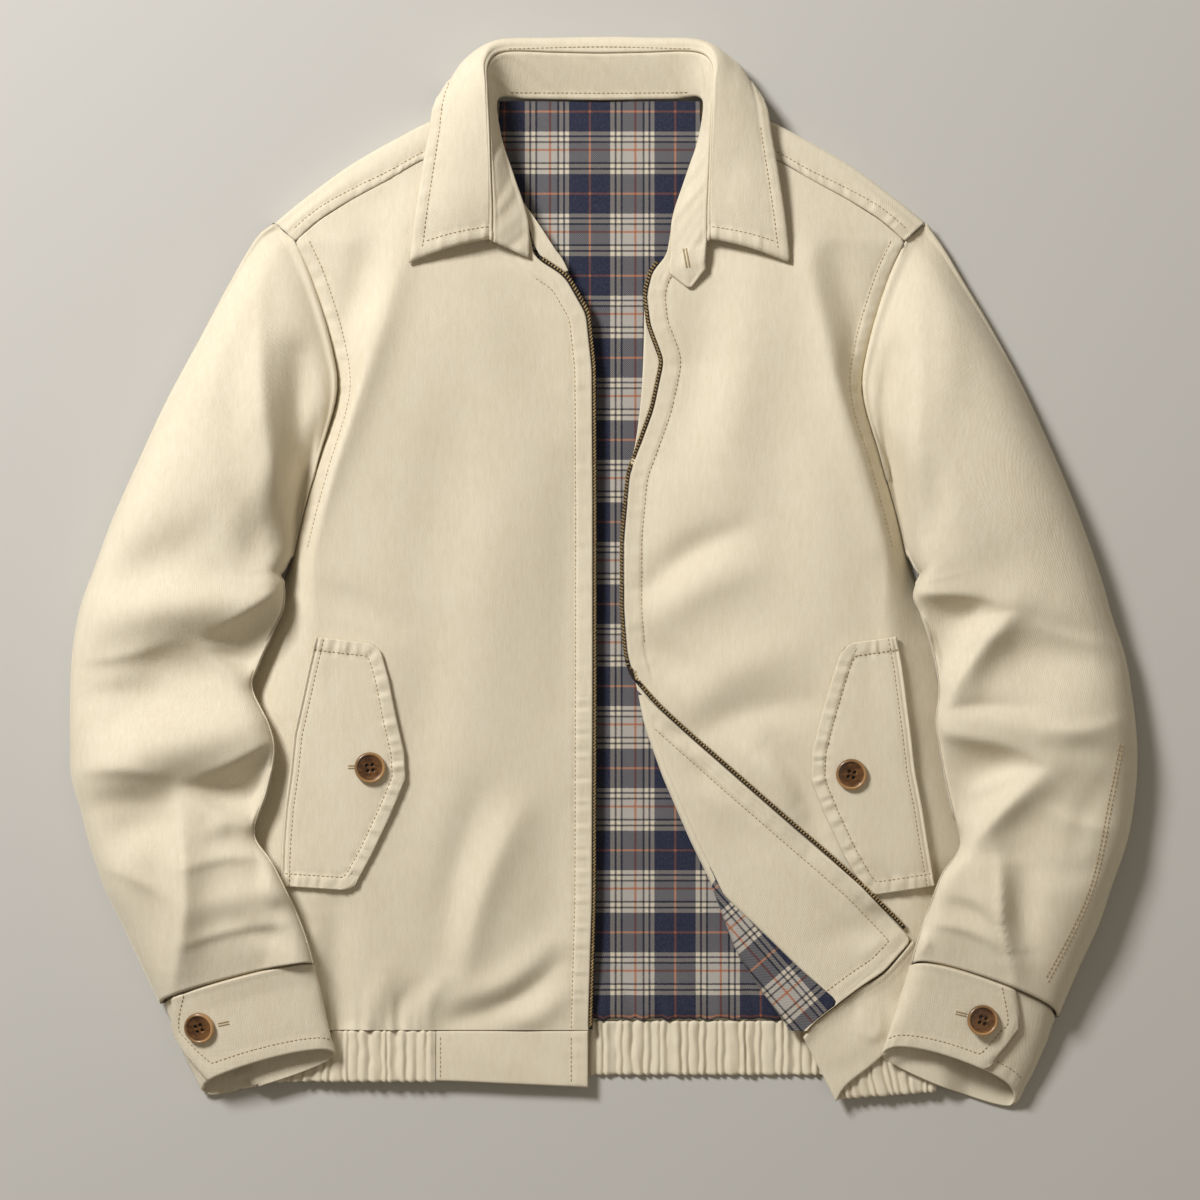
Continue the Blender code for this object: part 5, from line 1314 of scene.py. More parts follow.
RIGHT_SLEEVE_FOLDS = [
    # creases, and recesses: apex, left end, right end, depth, width, ridge
    (-347, 315.5, -215, 334.5, 7, 18), (-326.5, 344, -268.5, 371.5, -6, 18),
    (-268.5, 303.5, -230, 303.5, -4, 12), (-326.5, 284, -245, 284, -5, 20),
    (-350, 216, -224.5, 247.5, 8, 18), (-280, 206.5, -230, 201.5, -4, 12),
    (-334.5, 168.5, -291, 190.5, -7, 16), (-279, 181, -285.5, 82.5, 6, 16),
    (-306, 140, -300.5, 75.5, -5, 14), ((-270, 307.4), (-212, 337), (-235, 269), 15, 5.5, 5),
    ((-285, 207.4), (-218, 234), (-231, 173), 15, 5.5, 5), (-283, 190, -286, 68, 6.5, 12, 5, 1.4, 0.22),
    (-300, 176, -298, 80, -2.6, 8, 3, 1.5), (-210, 372, -230, 548, 6, 14, 5, 1.6, 0.45),
    (-204, 492, -204, 374, -17, 13, 0, 1.8), (-244, 545, -262, 470, 2.2, 7, -4, 1.6, 0.5),
    (-352, 290, -290, 302, 2.8, 9, -3, 1.6, 0.5), (-356, 262, -300, 268, -2.8, 9, 3),
    (-354, 214, -296, 214, 3.2, 9, 3, 1.6, 0.5), (-350, 188, -300, 196, -3, 9, 3),
    (-336, 150, -296, 132, 2.4, 8, 3, 1.6, 0.5), (-262, 300, -240, 296, 2, 3.5, 1, 1.6),
    (-272, 204, -242, 200, 2, 3.5, -1, 1.6), (-280, 150, -226, 158, 2.6, 8, 3, 1.6, 0.5),
    (-276, 98, -214, 112, 2.2, 7, 3, 1.6, 0.5), (-240, 400, -232, 350, -3, 10, 4),
    (-226, 560, -262, 470, 2.6, 12, -6), (-232, 530, -246, 430, -3, 14, -5),
    (-262, 515, -300, 400, 2.2, 16, -6), (-215, 470, -222, 390, 2.4, 9, 3), (-262, 176, -250, 180, 2.6, 7),
    (-272, 122, -220, 132, 3, 10, 3), (-240, 110, -214, 100, -2.4, 8), (-330, 250, -290, 262, -2.4, 12, 3),
    (-345, 270, -300, 300, 2, 12, -4),
]
LEFT_SLEEVE_FOLDS = [
    (232.5, 266.5, 276, 326.5, 9, 14), (228, 317, 266.5, 325, -4, 12), (238, 258.5, 357, 227, 6, 18),
    (272, 289.5, 333, 296.5, -5, 22), (248, 172.5, 299, 216, 9, 14), (239.5, 215, 285.5, 218.5, -4, 12),
    (262, 160.5, 272, 85.5, 6, 14), (280, 153.5, 284, 92.5, -7, 14),
    ((280, 324), (228, 264), (220, 336), 14.5, 5.5, 5), ((303, 219), (243, 163), (229, 243), 14.5, 5.5, 5),
    (229, 257, 290, 258, -4.2, 6, 2, 1.5), (268, 150, 275, 72, 6.5, 12, -3, 1.4, 0.22),
    (201, 372, 217, 548, 6, 14, -5, 1.6, 1), (196, 492, 198, 376, -15, 12, 0, 1.8),
    (352, 250, 300, 244, 3, 9, 3, 1.6, 0.5), (356, 222, 306, 232, -3, 9, -3),
    (350, 300, 296, 312, 2.6, 9, 3, 1.6, 0.5), (346, 176, 300, 190, 2.6, 9, 3, 1.6, 0.5),
    (340, 150, 296, 150, -2.4, 9, 3), (246, 300, 262, 308, 2.2, 4, 1, 1.6),
    (252, 200, 280, 212, 2.2, 4, 1, 1.6), (238, 132, 264, 118, 2.4, 7, 3, 1.6, 0.5),
    (226, 112, 262, 96, 2, 7, 3, 1.6, 0.5), (228, 560, 236, 470, 2.8, 12, 5),
    (222, 530, 218, 440, -2.6, 10, -3), (250, 520, 292, 400, 2.2, 17, 6), (216, 430, 226, 380, -3.4, 9, 4),
    (300, 330, 340, 300, 2.2, 12, 4), (232, 128, 262, 112, -2.6, 9, 3), (318, 160, 340, 210, -1.6, 8, 3),
]


@dataclass
class Cuff:
    """A band that goes once round the wrist and laps over itself with a pointed end."""

    side: Side
    table: list[tuple[float, ...]]
    lap_start: float
    lap_end: float
    upper_taper: float = 14.0
    lower_taper: float = 14.0
    point: float = 0.42
    mouth_rim: float = 7.0
    hem: float = 8.5
    rows: int = 18
    column_steps: int = 4

    def make(self, shop: Workshop, cover: Height) -> None:
        """Lays the band: a ring of section points that spirals in a little where it starts.

        Args:
            shop: the workshop.
            cover: the height of what the cuff lies on.
        """
        shares = np.concatenate([[0, 0.012, 0.03], np.linspace(0.07, 0.93, self.rows), [0.97, 0.988, 1]])
        known = np.linspace(0, 1, len(self.table))
        ends = np.stack([np.interp(shares, known, column) for column in np.array(self.table).T], -1)
        section = np.clip(curved(SECTION, self.column_steps), 0, 1)
        width = section[:, 0]
        plan = spread(ends, width)
        axis = unit(ends[-1, 0:2] - ends[0, 0:2])
        bow = np.sin(np.linspace(0, math.pi, len(width)))[None, :, None]
        lean = ends[:, 5, None, None]
        down = shares[:, None, None]
        below = plan + axis * (0.3 * lean * (1 - down) + self.mouth_rim * down) * bow
        lift = np.maximum(cover(*xy(plan)), cover(*xy(below)))
        lift = np.where(lift < TOUCHING, 0, lift)
        seam = lift + CUFF_SEAM
        upper = seam + (ends[:, 4, None] - seam) * section[:, 1]
        lower = lift + CUFF_SEAM * section[:, 2]
        top, bottom = lifted(plan - axis * lean * bow, upper), lifted(below, lower)
        loop = np.concatenate([top[:, ::-1], bottom[:, 1:-1]], axis=1)
        count = loop.shape[1]
        last_column = len(width) - 1
        first = last_column - np.interp(self.lap_start, width, np.arange(len(width)))
        last = count + last_column - np.interp(self.lap_end, width, np.arange(len(width)))
        whole = np.arange(math.ceil(first), math.floor(last) + 1)
        whole = whole[whole > first + 0.2]
        places = np.concatenate([[first], whole, last - np.array([1.2, 0.8, 0.45, 0.2, 0])])
        places = np.unique(np.round(places, 3))
        step = np.arange(count + 1)
        ring = np.concatenate([loop, loop[:, :1]], axis=1)
        columns = [[np.interp(places % count, step, line) for line in row.T] for row in ring]
        face = np.moveaxis(np.array(columns), 1, -1)
        normals = grid_normals(face)
        middle = ring[:, :-1].mean(axis=1)[:, None]
        normals *= np.where(((face - middle) * normals).sum(-1, keepdims=True) < 0, -1, 1)
        normals[..., :2] -= (normals[..., :2] @ axis)[..., None] * axis
        normals = unit(normals)
        under = (BAND + 1.6) * (1 - smooth((places - first) / (0.55 * count)))
        face = face - normals * under[None, :, None]
        ahead = np.linalg.norm(np.diff(face[len(face) // 2], axis=0), axis=-1)
        tip = np.concatenate([np.cumsum(ahead[::-1])[::-1], [0]])
        top_limit = self.point * (1 - np.clip((tip + 1) / self.upper_taper, 0, 1))
        low_limit = self.point + (1 - self.point) * np.clip((tip + 1) / self.lower_taper, 0, 1)
        near = top_limit + (low_limit - top_limit) * shares[:, None]
        rows = np.clip(np.interp(near, shares, np.arange(len(shares))), 0, len(shares) - 1)
        tapered = np.swapaxes(slid(np.swapaxes(face, 0, 1), rows.T), 0, 1)
        deep = length_of(ends[[0, -1], :2])
        from_mouth = (1 - near) * deep
        from_seam = near * deep
        run = walked_along(tapered[8])
        sewn = SewnEdge(CUFF_STITCH, margin=0.35, pucker=0.5, edge_radius=1, seed=4 + self.side.value)
        border = np.minimum(shares[:, None], 1 - shares[:, None]) * (low_limit - top_limit) * deep
        slant = np.where(near < self.point, self.upper_taper, self.lower_taper)
        slant = slant * np.abs(near - self.point) / np.where(near < self.point, self.point, 1 - self.point)
        border = np.minimum(np.maximum(tip[None, :] - slant, 0), np.where(near > self.point, border, 99))
        lapped = smooth((30 - tip) / 6)[None, :]
        rise = sewn.height(from_mouth, run) * (1 - lapped)
        edged = SewnEdge(self.hem, margin=0.5, groove=0.35, pucker=0.3, edge_radius=1, seed=9)
        rise = rise + edged.height(border, run) * lapped
        rise = rise + 0.5 * bell(from_seam, 1.5, 1) - roll(from_seam, 0.7)
        outer = tapered + normals * rise[..., None]
        cloth = joined(run[None, :], shares[:, None] * deep)
        edge = np.minimum(np.minimum(from_mouth, from_seam), border)
        inner = tapered - normals * BAND
        sewn_in = tip > self.upper_taper + 2
        tucked = sewn_in[:, None] * np.array([axis[0], axis[1], 0])
        steps = ((3.2, 1.9), (0.5, 1.4))
        outer, inner = (
            np.concatenate([
                *(wall[:1] - tucked * back - normals[:1] * low * sewn_in[:, None] for back, low in steps),
                wall,
            ])
            for wall in (outer, inner)
        )
        cloth, edge = (np.concatenate([layer[:1], layer[:1], layer]) for layer in (cloth, edge))
        shop.shell(f"cuff_{self.side.word}", outer, inner, cloth=cloth, edge=edge)
        wide = length_of(ends[-1, :4].reshape(2, 2))
        self.keep_seams(face, shares * deep, tip, normals[8, :, 2], wide)

    def keep_seams(self, face: Array, down: Array, tip: Array, facing: Array, wide: float) -> None:
        """Keeps the plan lines of topstitches: the mouth's, which turns up the tab, and the under end's.

        Args:
            face: the band's grid, without its point.
            down: each row's distance from the seam.
            tip: each column's distance from the tab's tip.
            facing: how far each column's normal points up.
            wide: the mouth's width.
        """
        deep = down[-1]
        legs = np.array([
            (self.upper_taper + self.hem, 0.02 * deep), (self.hem, self.point * deep),
            (self.lower_taper + self.hem, deep - CUFF_STITCH),
        ])
        legs = along(legs, np.arange(0, length_of(legs), 2))
        top = np.flatnonzero((tip > legs[-1, 0]) & (tip < 150) & (facing > 0.3))[::-1]
        run = tip[0] - tip
        hidden = (self.lap_start - self.lap_end) * wide - self.lower_taper + 3
        under = np.flatnonzero((run > hidden) & (run < self.lap_start * wide) & (facing > 0.3))
        mouth = np.column_stack([tip[top], np.full(len(top), deep - CUFF_STITCH)])
        below = np.column_stack([tip[under], np.full(len(under), deep - CUFF_STITCH)])
        self.tab_line, self.under_line = (
            self.placed(face, down, tip, line) for line in (np.vstack([legs, mouth]), below)
        )

    @staticmethod
    def placed(face: Array, down: Array, tip: Array, line: Array) -> Array:
        """The plan places of a line given by its distances from the tab's tip and from the seam."""
        column = np.interp(line[:, 0], tip[::-1], np.arange(len(tip))[::-1])
        row = np.interp(line[:, 1], down, np.arange(len(down)))
        across = slid(np.swapaxes(face[..., :2], 0, 1), np.broadcast_to(row, (len(tip), len(row))))
        return slid(np.swapaxes(across, 0, 1), column[:, None])[:, 0]


# --- shoulders and collar
@dataclass
class Shoulder:
    """The strip that wraps over the shoulder fold, from the front seam to the back seam."""

    side: Side
    stitch: float = 7.0

    def make(self, shop: Workshop) -> None:
        """Sweeps a nine-point section along the shoulder and refines it both ways."""
        table = np.array(SHOULDER, float)
        seam, fold, back = table[:, 0:2], table[:, 2:4], table[:, 4:6]
        height = table[:, 6]
        into = unit(seam - fold)
        reach = np.linalg.norm(seam - fold, axis=1)[:, None]
        front = seam - into * SEAM * 0.7
        rear = back + unit(fold - back) * 0.45
        stations = [
            (front, height), (fold + into * reach * 0.5, height - 0.4), (fold + into * 5, height - 2.6),
            (fold + into * 1.2, height * 0.72), (fold, height * 0.45), (fold + into * 1.2, height * 0.18),
            (fold + into * 5, 0 * height), (0.5 * (fold + into * 5 + rear), 0 * height),
            (rear, 0 * height),
        ]
        grid = np.stack([np.column_stack([plan, level]) for plan, level in stations], axis=1)
        grid[..., 0] *= self.side.value
        grid = refined(grid, 14, 7)
        grid[..., 2] = np.maximum(grid[..., 2], 0)
        normals = grid_normals(grid)
        middle = grid.mean(axis=1, keepdims=True)
        normals *= np.where((normals * (grid - middle)).sum(-1, keepdims=True) < 0, -1, 1)
        normals[:, :4] = (0, 0, 1)
        normals[:, -14:] = (0, 0, -1)
        walked = walked_along(grid, 1)
        run = walked_along(grid[:, 0])
        sewn = SewnEdge(self.stitch, margin=0.6, pucker=0.7, edge_radius=0.6, seed=6)
        top = smooth((grid[..., 2] - 6) / 4)
        rise = sewn.height(walked, run[:, None]) * top
        outer = grid + normals * rise[..., None]
        cloth = joined(run[:, None], walked)
        shop.shell(f"shoulder_{self.side.word}", outer, grid - normals * SHELL, cloth=cloth, edge=walked)
        self.outer = outer
        self.walked = walked


@dataclass
class Collar:
    """Stand and leaf: one curved section swept round the neck and parted at the leaf seam."""

    row_steps: int = 8
    column_steps: int = 14

    def make(self, shop: Workshop) -> None:
        """Lays the collar over the fronts and shoulders, then cuts it into its two pieces."""
        half = np.array(COLLAR, float)
        mirrored = half[:-1].copy()
        half[:, 0::3] *= -1
        rows = np.vstack([half, mirrored[::-1]]).reshape(-1, 5, 3)
        grid = refined(rows, self.row_steps, self.column_steps)
        grid[..., 2] = np.maximum(grid[..., 2], 0)
        cover = shop.relief.cover(BAND + 0.35, 1.4)
        above = self.facing_out(grid)[..., 2] > 0.35
        level = cover(*xy(grid))
        grid[..., 2] = np.where(above, np.maximum(grid[..., 2], level), grid[..., 2])
        normals = self.facing_out(grid)
        inner = grid - normals * BAND
        inner[..., 2] = np.maximum(inner[..., 2], 0)
        walked = walked_along(grid, 1)
        run = walked_along(grid[:, 20])
        seam = self.column_steps
        gap = unit(grid[:, seam + 1] - grid[:, seam - 1]) * SEAM * 0.55
        self.grid, self.inner, self.normals = grid, inner, normals
        self.walked, self.run, self.gap = walked, run, gap
        self.make_stand(shop, cover)
        leaf = grid[:, seam:].copy()
        leaf_inner = inner[:, seam:].copy()
        leaf[:, 0] += gap
        leaf_inner[:, 0] += gap
        across = walked[:, seam:] - walked[:, seam : seam + 1]
        free = across[:, -1:] - across
        ends = np.minimum(run, run[-1] - run)[:, None]
        away = np.minimum(free, ends)
        along_edge = np.where(free < ends, run[:, None], across)
        sewn = SewnEdge(LEAF_STITCH, margin=0.6, pucker=0.75, edge_radius=1, seed=8)
        rise = sewn.height(away, along_edge) + 0.5 * bell(across, 1.6, 1)
        rise = rise - 0.4 * bell(across, 3.2, 0.7) - roll(across, 0.5)
        calm = 0.8 * ripple(along_edge * 0.4 + across * 0.3, 3, 4)
        rise = rise + calm * smooth((away - 12) / 12) * smooth((across - 10) / 14)
        outer = leaf + normals[:, seam:] * rise[..., None]
        cloth = joined(run[:, None], across)
        shop.shell("collar_leaf", outer, leaf_inner, cloth=cloth, edge=away, lay=False)
        self.leaf = outer
        self.leaf_across = across

    def make_stand(self, shop: Workshop, cover: Height) -> None:
        """The stand, with its pointed tab at the wearer's left.

        Args:
            shop: the workshop.
            cover: the height of what the collar lies on.
        """
        grid, run = self.grid, self.run
        seam = self.column_steps
        stand = grid[:, : seam + 1].copy()
        stand_inner = self.inner[:, : seam + 1].copy()
        stand[:, -1] -= self.gap
        stand_inner[:, -1] -= self.gap
        across = self.walked[:, : seam + 1]
        away = np.minimum(across, across[:, -1:] - across)
        rise = 0.4 * bell(away, 1, 0.9) - 0.4 * bell(away, 2.6, 0.6)
        rise = rise - roll(away, 0.5)
        folds = 0.7 * ripple(run[:, None] + across, 5, 2) * smooth(away / 6)
        stand = stand + self.normals[:, : seam + 1] * (rise + folds)[..., None]
        tab = np.vstack([np.concatenate([grid[-1, 0, :2], grid[-1, seam, :2]])[None], np.array(STAND_TAB)])
        known = np.arange(len(tab), dtype=float)
        at = np.concatenate([np.linspace(0.15, 2, 9), np.linspace(2.12, 3, 10)])
        tab = np.stack([np.interp(at, known, column) for column in tab.T], axis=-1)
        plan = spread(tab, np.linspace(0, 1, seam + 1))
        level = cover(*xy(plan))
        last = stand[-1, :, 2]
        blend = smooth(np.arange(1, len(plan) + 1) / len(plan))[:, None]
        level = np.maximum(level, last * (1 - blend) + level * blend)
        far, walk = line_distance(*xy(plan), np.array(TAB_BORDER))
        sewn = SewnEdge(2.2, margin=0.25, groove=0.3, pucker=0.1, edge_radius=0.9)
        level = level + sewn.height(far, walk)
        tab_face = lifted(plan, level)
        outer = np.vstack([stand, tab_face])
        back = np.vstack([stand_inner, up(tab_face, -BAND)])
        more = run[-1] + np.cumsum(np.linalg.norm(np.diff(outer[-len(tab) - 1 :, 5], axis=0), axis=-1))
        rows = np.concatenate([run, more])
        cloth_across = np.vstack([across, np.tile(across[-1], (len(tab), 1))])
        cloth = joined(rows[:, None], cloth_across)
        edge = np.vstack([away, far])
        shop.shell("collar_stand", outer, back, cloth=cloth, edge=edge, lay=False)

    @staticmethod
    def facing_out(grid: Array) -> Array:
        """Unit normals pointing out of the neck and up over the fold."""
        normals = grid_normals(grid)
        return normals * np.where(normals[:, 3, 2] < 0, -1, 1)[:, None, None]


# --- hardware
@dataclass
class Button:
    """A turned four-hole button with a rounded rim and a dished face."""

    name: str
    x: float
    y: float
    turn: float
    radius: float = 10.5
    thick: float = 3.4
    rim: float = 1.9
    hole_radius: float = 1.15
    hole_spread: float = 2.6
    clearance: float = 0.4

    def profile(self, x: Array, y: Array) -> Array:
        """Height over the button's back: a round rim, a shallow dish and four wells."""
        r = np.hypot(x, y)
        ring = self.radius - self.rim
        dish = 2.35 + 0.5 * smooth((r - ring + 1.6) / 1.8)
        shape = np.where(r > ring, self.thick - 0.12 * ((r - ring - 0.6) ** 2), dish)
        lip = dish + 0.6 * smooth(r - ring + 0.8)
        shape = np.where(r < ring + 0.2, np.minimum(shape, lip), shape)
        shape = shape - roll(self.radius - r, 1.5)
        return shape - 1.9 * self.hole(x, y)

    def hole(self, x: Array, y: Array) -> Array:
        """1 in the four holes and 0 outside them, with steep walls between."""
        off = self.hole_spread / math.sqrt(2)
        near = np.minimum(np.hypot(np.abs(x) - off, np.abs(y) - off), 9)
        return 1 - smooth((near - self.hole_radius + 0.25) / 0.5)

    def make(self, shop: Workshop) -> None:
        """Turns the button and lays it on the slope that is below it."""
        net = np.meshgrid(np.linspace(-1, 1, 9), np.linspace(-1, 1, 9))
        u, v = (part[np.hypot(*net) <= 1.01] for part in net)
        plane = np.column_stack([self.radius * u, self.radius * v, np.ones(len(u))])
        relief = shop.relief
        level = relief.sample(relief.height, self.x + plane[:, 0], self.y + plane[:, 1])
        slope = np.linalg.lstsq(plane, level, rcond=None)[0]
        base = float((level - plane @ slope).max() + slope[2]) + self.clearance
        ring = [np.linspace(*span) for span in ((0.3, 4.6, 21), (5.2, 8.2, 6), (8.4, 10.5, 12))]
        ring = np.concatenate([[0.02], *ring])
        angle = np.linspace(0, 2 * math.pi, 97)[:-1]
        x, y = ring[:, None] * np.cos(angle), ring[:, None] * np.sin(angle)
        top = joined(x, y, np.maximum(self.profile(x, y), 0.35))
        shapes = [top, top[-1:] * (1, 1, 0) + (0, 0, 0.3), top[-1:] * (0.93, 0.93, 0), top[:1] * (1, 1, 0)]
        grid = np.concatenate(shapes)
        local = grid.reshape(-1, 3)
        index = np.arange(len(local)).reshape(grid.shape[:2])
        faces = quads_of(np.hstack([index, index[:, :1]]))
        faces = np.vstack([faces, quads_of(np.vstack([index[-1:], index[:1]])[:, [*range(96), 0]])])
        normal = unit(np.array([-slope[0], -slope[1], 1]))
        across = unit(np.cross([0, 1, 0], normal))
        ahead = np.cross(normal, across)
        turn = math.radians(self.turn)
        first = across * math.cos(turn) + ahead * math.sin(turn)
        second = ahead * math.cos(turn) - across * math.sin(turn)
        points = np.array([self.x, self.y, base]) + local @ np.array([first, second, normal])
        rim = self.radius - np.hypot(local[:, 0], local[:, 1])
        # the holes get an edge of -5, where the horn's material paints shade
        within = self.hole(local[:, 0], local[:, 1]) > 0.45
        shop.mesh(
            self.name, points, faces, Slot.HORN, local[:, :2] + 40, np.where(within, -5, rim),
            [self.name],
        )


@dataclass
class Zip:
    """Zip tape and teeth along the front edges."""

    wide: float = 3.4
    thick: float = 1.2
    pitch: float = 2.3

    def make(self, shop: Workshop, name: str, edge: Array, sign: float, twist: float = 0.0) -> None:
        """A strip of tape just beyond an edge, with a row of teeth along its outer half.

        Where it starts with a twist, its width turns from the other side over the top.

        Args:
            shop: the workshop.
            name: the tape's piece.
            edge: points of the front's edge.
            sign: the side on which the tape lies, 1 or -1.
            twist: the length over which it turns.
        """
        line = along(edge, np.arange(0, length_of(edge), 1.5))
        run = np.gradient(line[:, :2], axis=0)
        run = unit(sum(np.roll(run, k, 0) for k in range(-2, 3)))
        run[:3], run[-3:] = run[3], run[-4]
        aside = joined(run[:, 1], -run[:, 0], np.zeros(len(run))) * sign
        turn = np.full(len(line), -math.pi / 2)
        if twist:
            turn = math.pi * (0.5 - smooth(np.arange(len(line)) * 1.5 / twist))
        out = -aside * np.sin(turn)[:, None]
        out[:, 2] = np.cos(turn)
        start = up(line, -0.3) + out * (SEAM + 0.15)
        share = np.linspace(0, 1, 5)
        grid = start[:, None] + out[:, None] * (self.wide - 0.9) * share[None, :, None]
        face = np.cross(out, np.append(run, np.zeros((len(run), 1)), axis=1)) * sign
        shop.shell(name, grid, grid - face[:, None] * self.thick, Slot.TAPE, lay=False)
        at = np.arange(1.5, length_of(line) - 1.5, self.pitch)
        centre = along(start, at) + along(out, at) * (self.wide - 1.35)
        ahead = unit(np.append(along(run, at), np.zeros((len(at), 1)), axis=1))
        across = unit(along(out, at))
        corners = np.array([
            (-1.3, -0.62, -0.75), (-1.3, 0.62, -0.75), (1.3, 0.46, -0.75), (1.3, -0.46, -0.75),
            (-1.3, -0.5, 0.55), (-1.3, 0.5, 0.55), (1.2, 0.36, 0.6), (1.2, -0.36, 0.6),
        ])
        points = centre[:, None] + across[:, None] * corners[:, :1] + ahead[:, None] * corners[:, 1:2]
        points = points + np.cross(across, ahead)[:, None] * sign * corners[:, 2:]
        sides = [(0, 4, 5, 1), (1, 5, 6, 2), (2, 6, 7, 3), (3, 7, 4, 0)]
        faces = np.array([(0, 1, 2, 3), (4, 7, 6, 5), *sides])
        faces = (faces[None] + 8 * np.arange(len(at))[:, None, None]).reshape(-1, 4)
        teeth = name.replace("tape", "teeth")
        piece = shop.mesh(teeth, points.reshape(-1, 3), faces, Slot.METAL)
        piece.data.polygons.foreach_set("use_smooth", np.zeros(len(faces), dtype=bool))


@dataclass
class Sewing:
    """Rows of topstitches lying on the finished pieces."""

    shop: Workshop
    pitch: float = 3.1
    long: float = 2.4
    radius: float = 0.4

    def __post_init__(self) -> None:
        """Starts with no stitches."""
        self.spans: list[Array] = []
        self.trees: dict[str, BVHTree] = {}

    def surface(self, name: str, plan: Array) -> Array:
        """The upper face of a piece under points of a plan; rows that miss it hold NaN."""
        if name not in self.trees:
            data = self.shop.made[name].data
            points = np.empty(len(data.vertices) * 3)
            data.vertices.foreach_get("co", points)
            faces = [tuple(p.vertices) for p in data.polygons]
            self.trees[name] = BVHTree.FromPolygons((points.reshape(-1, 3) / MM).tolist(), faces)
        tree = self.trees[name]
        found = np.full((len(plan), 3), np.nan)
        for k, (x, y) in enumerate(plan - ORIGIN[:2]):
            hit = tree.ray_cast((x, y, 80), (0, 0, -1))[0]
            if hit is not None:
                found[k] = hit
        return found + ORIGIN

    def row(self, name: str, line: Array) -> None:
        """A row of stitches along a line of a plan.

        Args:
            name: the piece that is sewn.
            line: rows of x and y, and a height where stitches only lie at that height.
        """
        half = self.long / 2
        at = np.arange(half, length_of(line) - half, self.pitch)
        if len(at) == 0:
            return
        at = at + 0.12 * np.sin(at * 12.9)
        ends = [self.surface(name, along(line[:, :2], at + s * half)) for s in (-1, 0, 1)]
        span = np.stack(ends, axis=1)
        if line.shape[1] == 3:
            span[np.abs(span[:, 1, 2] - along(line, at)[:, 2]) > 2] = np.nan
        self.spans.append(span)

    def across(self, name: str, centre: Table, turn: float, long: float, wide: float) -> None:
        """A buttonhole: close short stitches across both sides of its slit.

        Args:
            name: the piece that is sewn.
            centre: its middle, x and y.
            turn: direction of the slit in degrees.
            long: its length.
            wide: its width.
        """
        run = np.array([math.cos(math.radians(turn)), math.sin(math.radians(turn))])
        side = np.array([-run[1], run[0]])
        at = np.arange(-long / 2, long / 2 + 0.01, 0.62)
        middle = np.array(centre) + at[:, None] * run
        for sign in (-1, 1):
            near = self.surface(name, middle + side * sign * 0.25)
            far = self.surface(name, middle + side * sign * wide / 2)
            self.spans.append(np.stack([near, 0.5 * (near + far), far], axis=1))

    def make(self) -> None:
        """Turns all stitches into one piece: spindles of five sides that rise and dip."""
        spans = np.concatenate(self.spans)
        spans = spans[np.isfinite(spans).all(axis=(1, 2))]
        steep = np.abs(spans[:, 2, 2] - spans[:, 0, 2]) < 2.4
        spans = spans[steep]
        t = np.array([0, 0.12, 0.35, 0.65, 0.88, 1])
        weights = joined((1 - t) * (1 - 2 * t), 4 * t * (1 - t), t * (2 * t - 1))
        axis = np.einsum("tk,nkc->ntc", weights, spans)
        thick = self.radius * np.array([0.25, 0.75, 1, 1, 0.75, 0.25])
        sink = np.array([-0.35, 0, 0.22, 0.22, 0, -0.35]) * self.radius * 1.6
        along_span = unit(spans[:, 2] - spans[:, 0])
        side = unit(np.cross(along_span, [0, 0, 1]))
        over = np.cross(side, along_span)
        angle = np.linspace(0, 2 * math.pi, 6)[:-1]
        ring = side[:, None, None] * np.cos(angle)[:, None] + over[:, None, None] * np.sin(angle)[:, None]
        points = (axis + over[:, None] * sink[:, None])[:, :, None] + ring * thick[:, None, None]
        index = np.arange(30).reshape(6, 5)
        sides = quads_of(np.hstack([index, index[:, :1]]))
        caps = np.array([(0, 1, 2, 3), (0, 3, 4, 0), (25, 28, 27, 26), (25, 29, 28, 25)])
        faces = np.vstack([sides, caps[[0, 2]]])
        faces = (faces[None] + 30 * np.arange(len(spans))[:, None, None]).reshape(-1, 4)
        points = points.reshape(-1, 3)
        thread = self.shop.finishes.thread
        self.shop.mesh("topstitching", points, faces, Slot.SHELL, finish=thread)
        LOG.info("topstitching: %d stitches", len(spans))


def row_at(grid: Array, distance: Array, at: float) -> Array:
    """The points at which a distance from an edge, rising across a grid, reaches a value."""
    found = []
    for points, far in zip(grid, distance):
        if far[0] < at < far[-1]:
            found.append([np.interp(at, far, points[:, axis]) for axis in range(3)])
    return np.array(found)


# --- shader maths
def operator(operation: str, swapped: bool = False) -> Callable[["Wire", "Wire | float"], "Wire"]:
    """An arithmetic operator of a wire as a Math node; swapped puts the other value first."""

    def method(wire: "Wire", other: "Wire | float") -> "Wire":
        """The operation on a wire and another value."""
        return wire.shader.math(operation, *((other, wire) if swapped else (wire, other)))

    return method


